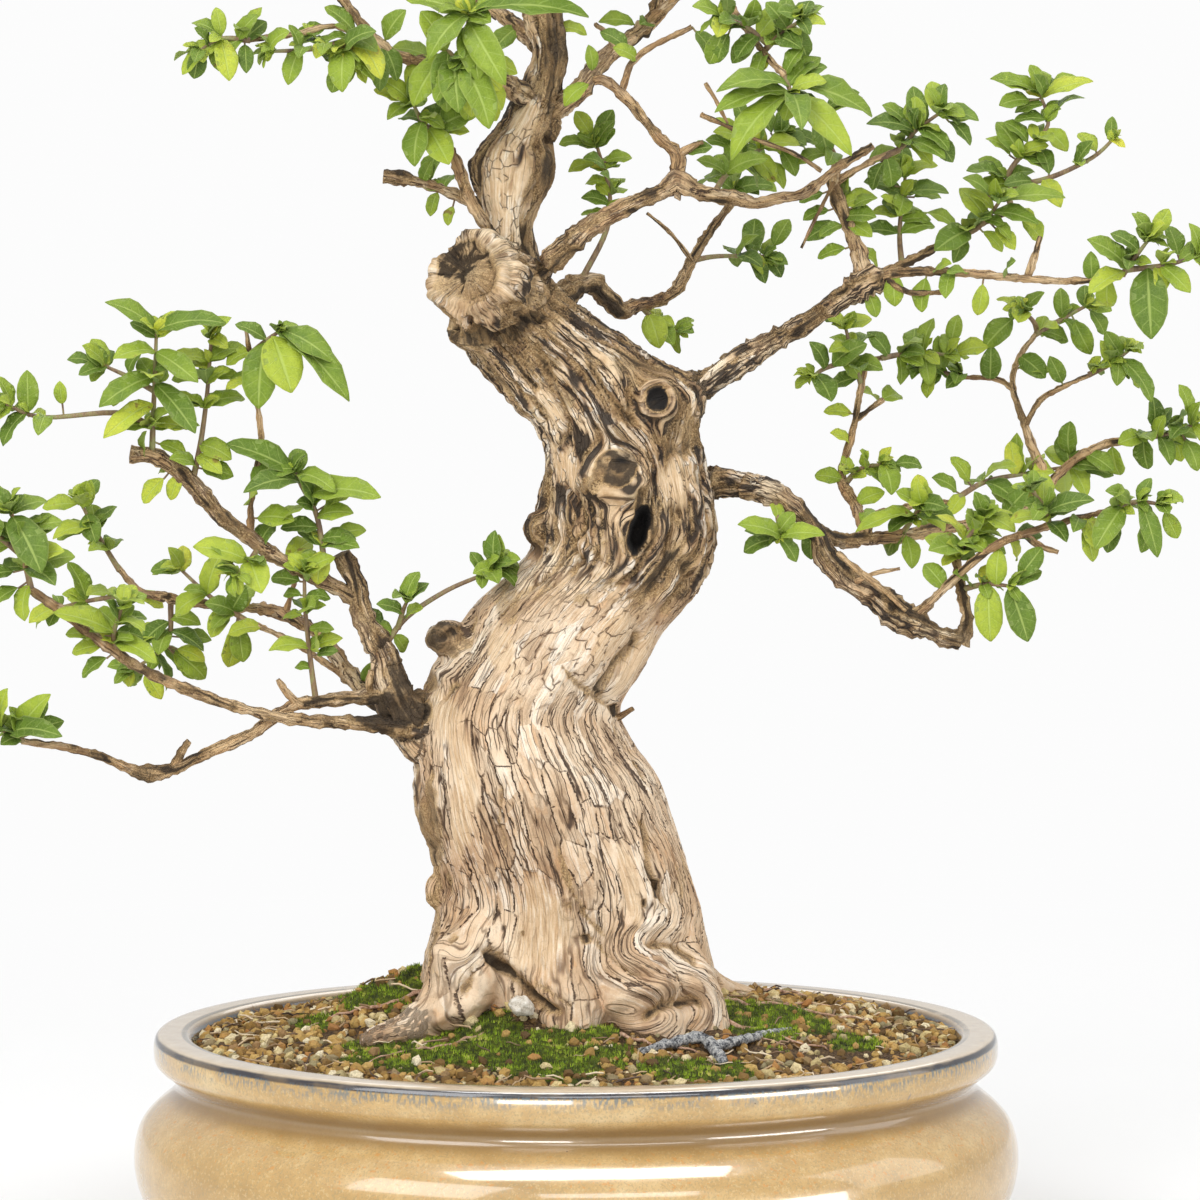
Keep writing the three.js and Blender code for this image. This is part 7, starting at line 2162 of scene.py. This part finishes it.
def foot(side_x, side_y):
    """One of the four feet: an arc of the foot ring, closed at both ends."""
    section = FOOT_OUTSIDE + FOOT_INSIDE
    ring = np.array([oval(*row) for row in section])
    turns = [step for step in range(POT_STEPS) if ring[0][step][0] * side_x > FOOT_GAP_LENGTH / 2
             and ring[0][step][1] * side_y > FOOT_GAP_DEPTH / 2]
    turns.sort(key=lambda step: math.atan2(ring[0][step][1] * side_y, ring[0][step][0] * side_x))
    return skin(ring.transpose(1, 0, 2)[turns])


def faced_out(mesh, *more):
    """Joins more meshes to a mesh and turns all its faces outwards."""
    shape = bmesh.new()
    for each in (mesh, *more):
        shape.from_mesh(each)
    bmesh.ops.recalc_face_normals(shape, faces=shape.faces)
    shape.to_mesh(mesh)
    shape.free()


outside = smooth_profile(POT_PROFILE[::-1], 3)
inside = smooth_profile(POT_INNER[::-1], 3)
wall = skin(np.array([oval(*row) for row in outside] + [oval(*row) for row in inside]))
feet = [foot(side_x, side_y) for side_x in (-1, 1) for side_y in (-1, 1)]
bowl = object_of("glazed_pot", mesh_of("glazed_pot", [wall]))
drill = object_of("drill", mesh_of("drill", [
    skin(tube_rings(np.array([[x, 0, z] for z in (FLOOR_UNDERSIDE - 3, 15, FLOOR_TOP + 3)], float),
                    np.full(3, DRAIN_RADIUS), 32)) for x in (-DRAIN_X, DRAIN_X)]))
faced_out(bowl.data)
faced_out(drill.data)
cut = bowl.modifiers.new("drains", "BOOLEAN")
cut.operation = "DIFFERENCE"
cut.solver = "EXACT"
cut.object = drill
applied(bowl)
bpy.data.objects.remove(drill)
faced_out(bowl.data, mesh_of("feet", feet))
for face in bowl.data.polygons:
    face.use_smooth = len(face.vertices) < 5
print("pot:", len(bowl.data.polygons), "faces")

# %% [markdown]
# ## Glaze
# The glaze is a warm ochre over a pale body. It has run: on the lip it is thin and cream, it broke
# blue-black along the lip's edges, and a few blue runs go down from them. Its surface is full of fine pale
# and orange specks, pinholes and tiny black spots, all under a clear gloss.

# %% Glaze paint
def glaze_material():
    material, tree, surface = new_material("ochre_glaze")
    place = in_millimetres(tree)
    corner = tree.node("ShaderNodeSeparateXYZ", None, {0: place})
    height = Value(tree, corner.outputs["Z"])
    centred = tree.vector("SUBTRACT", place, tuple(POT_MIDDLE))
    split = tree.node("ShaderNodeSeparateXYZ", None, {0: centred})
    x, y = Value(tree, split.outputs["X"]), Value(tree, split.outputs["Y"])
    reach = tree.sum("SQRT", (x / RIM_HALF_LENGTH) ** 2 + (y / RIM_HALF_DEPTH) ** 2)
    clouds = tree.grain_noise(place, (60, 60, 22), 3.0)
    mottle = tree.grain_noise(place, (9, 9, 7), 3.0, 0.6)
    fine = tree.grain_noise(place, (1.6, 1.6, 1.6), 3.0, 0.65)
    runs = tree.grain_noise(place, (5, 5, 60), 2.0)
    wander = (tree.grain_noise(place, (14, 14, 14), 2.0) - 0.5) * 3.0
    colour = tree.ramp(clouds * 0.65 + mottle * 0.35, [
        (0.36, paint(178, 144, 90)), (0.47, paint(192, 157, 100)), (0.56, paint(200, 166, 110)),
        (0.68, paint(212, 184, 134))])
    freckle = tree.grain_noise(place, (0.9, 0.9, 1.1), 2.0, 0.6)
    colour = tree.mix(tree.between(freckle, 0.5, 0.64) * 0.42, colour, paint(148, 136, 100))
    colour = tree.mix(tree.between(fine, 0.54, 0.66) * 0.35, colour, paint(222, 196, 144))
    rusty = tree.between(tree.grain_noise(place, (2.6, 2.6, 2.0), 2.0), 0.61, 0.68)
    rusty = rusty * tree.between(height, 84, 74) * tree.between(height, 56, 64)
    colour = tree.mix(rusty * 0.5, colour, paint(206, 138, 62))
    # Painted shade: a darker ochre band round the neck, under the rolled rim.
    neck_painted_shade = tree.between(tree.sum("ABSOLUTE", height - 82.5 + wander * 0.3), 3.0, 8.5, 1.0, 0.0)
    colour = tree.mix(neck_painted_shade * 0.82, colour, paint(138, 108, 64))
    lip = tree.between(height + wander * 0.25, 102.6, 104.6)
    cream = tree.mix(mottle, paint(196, 176, 150), paint(224, 212, 194))
    colour = tree.mix(lip * 0.85, colour, cream)
    thin = tree.between(tree.grain_noise(place, (22, 22, 6), 3.0), 0.34, 0.5)
    outer_line = tree.between(tree.sum("ABSOLUTE", height - 102.9 + wander * 0.22), 0.7, 1.7, 1.0, 0.0)
    outer_line = outer_line * tree.between(reach, 0.955, 0.972)
    inner_line = tree.between(height, 104.9, 101.5) * tree.between(reach, 0.935, 0.915)
    inner_line = inner_line * tree.between(height + wander, 95, 98)
    worn = tree.between(tree.sum("ABSOLUTE", reach - 0.924), 0.003, 0.009, 1.0, 0.0)
    worn = worn * tree.between(height, 98, 101)
    colour = tree.mix(worn * (0.3 + 0.5 * thin), colour, paint(92, 82, 60))
    colour = tree.mix(outer_line * (0.8 + 0.18 * thin), colour, paint(30, 32, 44))
    colour = tree.mix(inner_line * 0.92, colour, paint(34, 38, 54))
    bleed = tree.between(height + wander, 94, 101) * tree.between(height, 103, 101.4) * thin
    spot_field = tree.grain_noise(place, (1.3, 1.3, 3.4), 2.0)
    bleed = bleed * tree.between(spot_field, 0.42, 0.6)
    colour = tree.mix(bleed * 0.7, colour, paint(84, 110, 122))
    drip = tree.between(runs, 0.66, 0.74) * tree.between(height, 62, 94) * tree.between(x, 110, 140)
    colour = tree.mix(drip * 0.5, colour, paint(92, 108, 122))
    holes = tree.node("ShaderNodeTexVoronoi", {"feature": "F1"},
                      {"Vector": scaled(tree, place, 0.16), "Scale": 1.0})
    tint = Value(tree, holes.outputs["Color"])
    hole = tree.between(Value(tree, holes.outputs["Distance"]) + (tint - 0.5) * 0.1, 0.03, 0.1, 1.0, 0.0)
    black = hole * tree.between(tint, 0.66, 0.7)
    colour = tree.mix(black * 0.85, colour, paint(52, 40, 34))
    finished(tree, surface, colour, 0.14 + 0.08 * fine + 0.08 * mottle)
    bumped(tree, surface, clouds * 0.5 + fine * 0.05 - black * 0.3 - hole * 0.1 + mottle * 0.12, 0.0011, 0.35)
    surface.inputs["Coat Weight"].default_value = 0.8
    surface.inputs["Coat Roughness"].default_value = 0.045
    return material


bowl.data.materials.clear()
bowl.data.materials.append(glaze_material())
print("glaze painted")

# %% [markdown]
# ## Soil
# The pot is filled to a finger's breadth under the lip with baked clay, pumice and lava in grains of a few
# millimetres, mounded towards the trunk. Under the grains lies a dark rough bed with the same mounds as the
# packed soil. Moss has spread over it in patches, which are given where they show from the front.

# %% The bed
SOIL_EDGE = 99
SOIL_OUTSET = -20.6
MOUNDS = [(0, 0, 105, 88, 22), (-76, 18, 30, 34, 17), (-26, -38, 18, 18, 8), (95, 45, 45, 40, 6)]
# The bed's side inside the pot, from the floor up: how far out from the rim's oval, and how high.
BED_SIDE = [(-25, 20.6), (-10, 31), (-3, 50), (-10, 68), (-20.8, 80)]
BED_SIDES = 220
BED_RINGS = 64
# Moss where it shows: x, z; half width, half height; tilt in degrees.
MOSS = [
    (-92, 119, 22, 7, 0), (-68, 127, 14, 7, 0), (-58, 95, 50, 10, 3), (-6, 90, 48, 9, 0),
    (-2, 101, 34, 4, 0), (-50, 104, 26, 5, 0), (46, 86, 30, 5, 0), (90, 106, 27, 8, -4),
    (60, 84, 28, 4.5, 0), (127, 98, 12, 4, 0), (-120, 106, 10, 4, 0), (-42, 109, 14, 4, 0),
    (72, 113, 14, 5, 0), (-20, 140, 60, 9, 0), (60, 132, 50, 6, 0),
]
# Bare fine earth with few grains, where it shows: x, z; half width, half height; tilt in degrees.
EARTH = [
    (44, 100, 26, 6, 0), (24, 104, 20, 4, 0), (112, 92, 30, 6, 0), (-100, 100, 16, 5, 0),
    (70, 96, 26, 5, 0),
]


def soil_height(x, y):
    return SOIL_EDGE + sum(rise * np.exp(-((x - mx) / sx) ** 2 - ((y - my) / sy) ** 2)
                           for mx, my, sx, sy, rise in MOUNDS)


def bed_ring(share):
    ring = oval(SOIL_OUTSET, 0, BED_SIDES) * np.array([share, share, 1])
    noise = lattice_noise(ring / 9, 61) * 1.4 + lattice_noise(ring / 3, 63) * 0.7
    ring[:, 2] = soil_height(ring[:, 0], ring[:, 1]) + noise * min(1, 12 * (1.02 - share))
    return ring


bed_rings = [oval(outset, height, BED_SIDES) for outset, height in BED_SIDE]
bed_rings += [bed_ring(share) for share in np.linspace(1, 0.02, BED_RINGS)]
bed = object_of("soil_bed", mesh_of("soil_bed", [skin(np.array(bed_rings))]))
bed_points, bed_normals = points_of(bed.data)
bed_x, bed_z = lines_up(bed_points)
moss = np.zeros(len(bed_points))
for patch in MOSS:
    radii = in_oval(bed_x, bed_z, *patch) + 0.4 * lattice_noise(bed_points / 13, 71)
    radii += 0.25 * lattice_noise(bed_points / 5, 73)
    moss = np.maximum(moss, smooth_step(radii, 1.1, 0.75))
upward = bed_normals[:, 2] > 0.5
moss *= upward
earth = np.zeros(len(bed_points))
for patch in EARTH:
    radii = in_oval(bed_x, bed_z, *patch) + 0.4 * lattice_noise(bed_points / 8, 77)
    earth = np.maximum(earth, smooth_step(radii, 1.15, 0.6))
wood_bark = BVHTree.FromObject(trunk, bpy.context.evaluated_depsgraph_get())


def under_wood(point):
    """Whether the first thing above a place of the bed is the underside of the wood."""
    _, normal, _, distance = wood_bark.ray_cast((Vector(point) + POT_MIDDLE) * MM, UP)
    return normal is not None and normal.z > 0 and distance > 3 * MM


open_bed = np.array([float(up and not under_wood(point)) for point, up in zip(bed_points, upward)])
swell = moss * (1.6 + 1.1 * lattice_noise(bed_points / 4, 75))
put_points(bed.data, bed_points + np.outer(swell, (0, 0, 1)))
put_attribute(bed.data, "moss", moss)
put_attribute(bed.data, "gravel", open_bed * (1 - 0.88 * moss) * (1 - 0.75 * earth))
put_attribute(bed.data, "tufts", open_bed * moss)
smoothed(bed)
print("bed:", len(bed.data.polygons), "faces,", round(float(moss[upward].mean()) * 100), "% moss")

# %% [markdown]
# ## Grains, tufts and straws
# Thousands of grains come from six angular stones of twenty faces each, strewn by a Geometry Nodes tree
# that keeps them a few millimetres apart. The same tree strews tufts of moss and bits of straw. A field on
# the bed says how thick each of them lies.

# %% Little shapes to strew
def collection_of(name, meshes):
    made = bpy.data.collections.new(name)
    for mesh in meshes:
        made.objects.link(bpy.data.objects.new(mesh.name, mesh))
    return made


def grain_mesh(number):
    """An angular stone, about one unit across."""
    draw = seeded(500 + number)
    shape = bmesh.new()
    bmesh.ops.create_icosphere(shape, subdivisions=1, radius=0.5)
    for corner in shape.verts:
        corner.co *= 0.78 + 0.44 * draw()
    mesh = bpy.data.meshes.new(f"grain_{number}")
    shape.to_mesh(mesh)
    shape.free()
    return mesh


def tuft_mesh(number):
    """A tuft of seven closed little spikes that lean apart, one unit high."""
    draw = seeded(700 + number)
    points, faces = [], []
    for _ in range(7):
        turn, away = 2 * math.pi * draw(), 0.5 * draw() ** 0.7
        foot = Vector((away * math.cos(turn), away * math.sin(turn), -0.25))
        lean_x = 0.5 * math.cos(turn) * away + 0.3 * (draw() - 0.5)
        tip = foot + Vector((lean_x, 0.5 * math.sin(turn) * away, 0))
        tip.z = 0.55 + 0.5 * draw()
        first = len(points)
        points += [foot + Vector((0.15 * math.cos(turn + side), 0.15 * math.sin(turn + side), 0))
                   for side in (0, 2.1, 4.2)] + [tip]
        faces += [tuple(first + corner for corner in face)
                  for face in ((0, 2, 1), (0, 1, 3), (1, 2, 3), (2, 0, 3))]
    mesh = bpy.data.meshes.new(f"tuft_{number}")
    mesh.from_pydata(points, [], faces)
    return mesh


def straw_mesh(number):
    """A bent straw, one unit long, lying along X."""
    draw = seeded(900 + number)
    bend, lift = 0.3 * (draw() - 0.5), 0.08 * draw()
    middles = np.array([
        [share - 0.5, bend * math.sin(math.pi * share), lift * math.sin(2 * math.pi * share) + 0.03]
        for share in (0, 0.25, 0.5, 0.75, 1)])
    points, faces = skin(tube_rings(middles, np.array([0.03, 0.038, 0.034, 0.03, 0.018]), 4))
    mesh = bpy.data.meshes.new(f"straw_{number}")
    mesh.from_pydata(points.tolist(), [], faces)
    return mesh


grains = collection_of("grains", [grain_mesh(number) for number in range(6)])
tufts = collection_of("tufts", [tuft_mesh(number) for number in range(4)])
straws = collection_of("straws", [straw_mesh(number) for number in range(4)])


# %% The tree that strews
def strewing_tree():
    sizes = ("Spacing", "Least size", "Most size", "Flat", "Tilt", "Lift", "Share")
    group, tree, start, end = geometry_tree("strew", {
        "Shapes": "NodeSocketCollection", "Field": "NodeSocketString",
        **dict.fromkeys(sizes, "NodeSocketFloat"), "Seed": "NodeSocketInt", "Finish": "NodeSocketMaterial"})
    number = {key: Value(tree, start.outputs[key]) for key in (*sizes, "Seed")}
    field = tree.node("GeometryNodeInputNamedAttribute", {"data_type": "FLOAT"},
                      {"Name": start.outputs["Field"]})
    strewn = tree.node("GeometryNodeDistributePointsOnFaces", {"distribute_method": "POISSON"}, {
        "Mesh": start.outputs["Geometry"], "Distance Min": number["Spacing"],
        "Density Max": 2.4 / (number["Spacing"] * number["Spacing"]),
        "Density Factor": Value(tree, field.outputs[0]) * number["Share"], "Seed": number["Seed"]})

    def random(low, high, seed):
        drawn = tree.node("FunctionNodeRandomValue", {"data_type": "FLOAT"}, {2: low, 3: high, "Seed": seed})
        return Value(tree, drawn.outputs[1])

    tilt = number["Tilt"]
    turn = tree.node("ShaderNodeCombineXYZ", None, {
        0: random(-1.0, 1.0, 11) * tilt, 1: random(-1.0, 1.0, 12) * tilt, 2: random(0.0, 6.283, 13)}).outputs[0]
    size = number["Least size"] + (number["Most size"] - number["Least size"]) * random(0.0, 1.0, 14) ** 1.5
    shape = tree.node("ShaderNodeCombineXYZ", None, {
        0: size, 1: size * random(0.75, 1.0, 15), 2: size * number["Flat"]}).outputs[0]
    rotation = tree.node("FunctionNodeEulerToRotation", None, {0: turn}).outputs[0]
    choice = tree.node("GeometryNodeCollectionInfo", None, {
        "Collection": start.outputs["Shapes"], "Separate Children": True, "Reset Children": True})
    lifted = tree.node("ShaderNodeCombineXYZ", None, {2: size * number["Lift"]}).outputs[0]
    points = tree.node("GeometryNodeSetPosition", None,
                       {"Geometry": strewn.outputs["Points"], "Offset": lifted})
    placed = tree.node("GeometryNodeInstanceOnPoints", None, {
        "Points": points.outputs[0], "Instance": choice.outputs[0], "Pick Instance": True, "Rotation": rotation,
        "Scale": shape}).outputs[0]
    toned = tree.node("GeometryNodeStoreNamedAttribute", {"data_type": "FLOAT", "domain": "INSTANCE"}, {
        "Geometry": placed, "Name": "tone", "Value": random(0.0, 1.0, 16)}).outputs[0]
    real = tree.node("GeometryNodeRealizeInstances", None, {"Geometry": toned}).outputs[0]
    painted = tree.node("GeometryNodeSetMaterial", None,
                        {"Geometry": real, "Material": start.outputs["Finish"]})
    tree.tree.links.new(painted.outputs[0], end.inputs["Geometry"])
    return group


strew = strewing_tree()


def strewn(name, field, shapes, material, sizes):
    """Copies of the shapes over the bed's field, as a piece."""
    made = object_of(name, bed.data.copy())
    made.data.materials.clear()
    run_tree(made, strew, {"Shapes": shapes, "Field": field, "Finish": material, **sizes})
    for attribute_name in ("moss", "gravel", "tufts"):
        if attribute_name in made.data.attributes:
            made.data.attributes.remove(made.data.attributes[attribute_name])
    print(name + ":", len(made.data.polygons), "faces")
    return made


# %% Finishes of the soil
def grain_material():
    material, tree, surface = new_material("soil_grains")
    place = in_millimetres(tree)
    tone = attribute(tree, "tone")
    fine = tree.grain_noise(place, (0.9, 0.9, 0.9), 3.0, 0.7)
    spot = tree.grain_noise(place, (2.2, 2.2, 2.2), 2.0)
    colour = tree.ramp(tone, [
        (0.0, paint(84, 62, 32)), (0.16, paint(128, 98, 50)), (0.34, paint(172, 136, 72)),
        (0.52, paint(200, 166, 98)), (0.66, paint(168, 114, 58)), (0.76, paint(140, 132, 100)),
        (0.88, paint(220, 198, 138)), (1.0, paint(240, 228, 196))])
    colour = tree.mix(tree.between(fine, 0.4, 0.7) * 0.45, colour, paint(110, 84, 56))
    colour = tree.mix(tree.between(spot, 0.58, 0.75) * 0.35, colour, paint(120, 118, 66))
    finished(tree, surface, colour, 0.75 + 0.2 * fine, 0.25)
    bumped(tree, surface, fine, 0.0006, 0.7)
    return material


def bed_material():
    material, tree, surface = new_material("soil_bed")
    place = in_millimetres(tree)
    fine = tree.grain_noise(place, (1.1, 1.1, 1.1), 3.0, 0.7)
    lumps = tree.grain_noise(place, (4, 4, 4), 3.0)
    colour = tree.ramp(fine, [(0.3, paint(46, 34, 22)), (0.5, paint(84, 64, 42)), (0.7, paint(140, 112, 76))])
    green = tree.ramp(lumps * 0.5 + fine * 0.5, [(0.32, paint(34, 40, 8)), (0.5, paint(74, 82, 18)),
                                                 (0.66, paint(120, 132, 34))])
    colour = tree.mix(tree.between(attribute(tree, "moss"), 0.25, 0.6), colour, green)
    finished(tree, surface, colour, 0.85 + 0.1 * fine, 0.2)
    bumped(tree, surface, fine + lumps, 0.0016, 1.0)
    return material


def moss_material():
    material, tree, surface = new_material("moss")
    place = in_millimetres(tree)
    tone = attribute(tree, "tone")
    patch = tree.grain_noise(place, (9, 9, 9), 3.0)
    fine = tree.grain_noise(place, (0.7, 0.7, 0.7), 2.0)
    colour = tree.ramp(patch + (tone - 0.5) * 0.3 + (fine - 0.5) * 0.3, [
        (0.28, paint(44, 50, 10)), (0.42, paint(84, 100, 14)), (0.55, paint(122, 148, 20)),
        (0.68, paint(164, 186, 46)), (0.8, paint(200, 190, 104))])
    finished(tree, surface, colour, 0.7 + 0.2 * fine, 0.2, 0.2)
    return material


def straw_material():
    material, tree, surface = new_material("straw")
    place = in_millimetres(tree)
    fine = tree.grain_noise(place, (0.8, 0.8, 0.8), 2.0)
    colour = tree.ramp(attribute(tree, "tone") + (fine - 0.5) * 0.3, [
        (0.15, paint(74, 54, 38)), (0.5, paint(140, 110, 78)), (0.75, paint(196, 168, 128)),
        (0.95, paint(224, 206, 176))])
    finished(tree, surface, colour, 0.65 + 0.2 * fine)
    bumped(tree, surface, fine, 0.0003, 0.5)
    return material


bed.data.materials.append(bed_material())
grain_finish, moss_finish, straw_finish = grain_material(), moss_material(), straw_material()

# %% Strew them
soil_grains = strewn("soil_grains", "gravel", grains, grain_finish, {
    "Spacing": 3.1 * MM, "Least size": 2.2 * MM, "Most size": 7.4 * MM,
    "Tilt": 1.2, "Flat": 0.76, "Lift": 0.1, "Share": 1.0, "Seed": 5})
moss_tufts = strewn("moss_tufts", "tufts", tufts, moss_finish, {
    "Spacing": 1.75 * MM, "Least size": 1.3 * MM, "Most size": 2.7 * MM,
    "Tilt": 0.35, "Flat": 0.85, "Lift": 0.05, "Share": 1.0, "Seed": 7})
straw_bits = strewn("straw_bits", "gravel", straws, straw_finish, {
    "Spacing": 6.0 * MM, "Least size": 4.0 * MM, "Most size": 15.0 * MM,
    "Tilt": 0.3, "Flat": 1.0, "Lift": 0.14, "Share": 0.9, "Seed": 9})

# %% [markdown]
# ## Rootlets, stone and dead root
# Hair roots run over the soil to the right of the trunk. A pale stone leans on the root flare, and a forked
# piece of dead root, dark grey and rough, lies in front. All three follow given lists.

# %% Small things on the soil
# Routes of rootlets: x, y; and their radius at the foot.
ROOTLETS = [
    ([(58, -20), (72, -34), (84, -38), (98, -50), (112, -52)], 1.1),
    ([(72, -34), (80, -46), (94, -54)], 0.7),
    ([(60, 8), (78, 6), (96, 14), (118, 10), (138, 18)], 1.2),
    ([(96, 14), (108, 26), (126, 32)], 0.7),
    ([(56, 30), (74, 44), (96, 50), (112, 64), (128, 66)], 1.3),
    ([(96, 50), (108, 44), (124, 48)], 0.8),
    ([(20, -62), (34, -74), (50, -76), (60, -88)], 0.9),
    ([(34, -74), (42, -86), (40, -96)], 0.6),
    ([(-40, -60), (-58, -72), (-74, -74), (-92, -84)], 0.9),
    ([(-66, -10), (-88, -14), (-104, -6), (-122, -10)], 1.2),
    ([(-64, 30), (-86, 44), (-104, 46), (-120, 58)], 1.1),
    ([(0, 62), (-14, 84), (-10, 100), (-24, 112)], 1.1),
    ([(30, 58), (44, 80), (60, 88), (66, 104)], 1.0),
]
DEAD_ROOT = [
    [(29, 94.3, -82, 1.6), (42, 98, -76, 2.3), (56.3, 101, -68, 2.6), (62, 97, -76, 2.6), (67, 89.5, -92, 2.2)],
    [(62, 97, -76, 2.2), (72, 99, -66, 2.2), (84, 102, -46, 1.8), (97, 104.5, -28, 1.3)],
]
STONE = (-24.5, 115, -58, 5.5, 5, 4.5)


def rooted(route, radius, number):
    """A rootlet that lies on the soil and dips into it at its end."""
    rows = eased([(x, y) for x, y in route], 7)
    bumps = lattice_noise(np.column_stack([rows, rows[:, :1]]) / 6, 80 + number)
    heights = soil_height(rows[:, 0], rows[:, 1]) + 2.0 + 1.2 * bumps
    points = np.column_stack([rows, heights])
    points[-1, 2] -= 2
    shares = np.linspace(0, 1, len(points))
    radii = radius * (1 - 0.7 * shares) * (1 + 0.25 * lattice_noise(points / 3, 90 + number))
    return skin(tube_rings(points, radii, 6))


def lumpy(points, faces, middle_of, amount, size, seed):
    """Moves points from their middles by noise."""
    away = points - middle_of
    lump = lattice_noise(points / size, seed) + 0.5 * lattice_noise(points / (size * 0.45), seed + 1)
    return middle_of + away * (1 + amount * lump)[:, None], faces


def weathered(name, tones):
    """The finish of a rootlet, a dead root or a stone, with tones from its darkest to its palest."""
    material, tree, surface = new_material(name)
    place = in_millimetres(tree)
    blotch = tree.grain_noise(place, (3, 3, 3), 3.0, 0.6)
    fine = tree.grain_noise(place, (0.7, 0.7, 0.7), 3.0, 0.65)
    colour = tree.ramp(blotch * 0.6 + fine * 0.4, tones)
    finished(tree, surface, colour, 0.7 + 0.25 * fine, 0.25)
    bumped(tree, surface, fine + blotch, 0.0008, 0.8)
    return material


ROOTLET_TONES = [(0.35, paint(132, 96, 76)), (0.5, paint(186, 148, 122)), (0.65, paint(220, 192, 166))]
DEAD_TONES = [(0.4, paint(36, 38, 42)), (0.47, paint(120, 122, 126)), (0.55, paint(182, 182, 180)),
              (0.66, paint(232, 229, 222))]
STONE_TONES = [(0.35, paint(176, 164, 146)), (0.5, paint(222, 214, 200)), (0.65, paint(244, 240, 232))]
rootlet_parts = [rooted(route, radius, number) for number, (route, radius) in enumerate(ROOTLETS)]
rootlets = object_of("rootlets", mesh_of("rootlets", rootlet_parts))
rootlets.data.materials.append(weathered("rootlet_bark", ROOTLET_TONES))
root_parts = []
for number, route in enumerate(DEAD_ROOT):
    points, radii, _ = even_route(route, 0.9)
    flat, faces = skin(tube_rings(points, radii, 14))
    root_parts.append(lumpy(flat, faces, np.repeat(points, 14, axis=0), 0.3, 2.6, 100 + number))
dead_wood = object_of("dead_wood", mesh_of("dead_wood", root_parts))
dead_wood.data.materials.append(weathered("dead_wood", DEAD_TONES))
stone_points, stone_faces = skin(swelling(*STONE, rows=22, sides=32))
stone_middle = np.tile(np.array(seen(*STONE[:3])), (len(stone_points), 1))
white_stone = object_of("white_stone", mesh_of("white_stone", [
    lumpy(stone_points, stone_faces, stone_middle, 0.26, 2.8, 120)]))
white_stone.data.materials.append(weathered("white_stone", STONE_TONES))
for piece in (rootlets, dead_wood, white_stone):
    smoothed(piece)
print("rootlets, dead root and stone made")

# %% Pieces
dressed = [
    (trunk, ["trunk"], "bark"), (limbs, ["trunk"], "bark"), (bowl, ["pot"], "glaze"), (bed, ["soil"], "soil"),
    (soil_grains, ["soil"], "soil"), (moss_tufts, [], "moss"), (straw_bits, [], "deadwood"),
    (rootlets, [], "deadwood"), (dead_wood, ["dead_root"], "deadwood"), (white_stone, ["stone_white"], "stone"),
]
dressed += [(piece, [name], "leaf") for piece, name in shoots_made]

# %% [markdown]
# ## Attach the pieces
# Every piece rides on the part's one body, the imported nodes that it stands for are hidden, and it
# lies in its mesh with its object at the origin. The boxes before and after go to a small file, to
# compare the sizes.

# %% Dress the frame
for piece, replaced, finish in dressed:
    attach(piece, "root")
    if replaced:
        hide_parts(*replaced)
print(len(dressed), "pieces dressed")
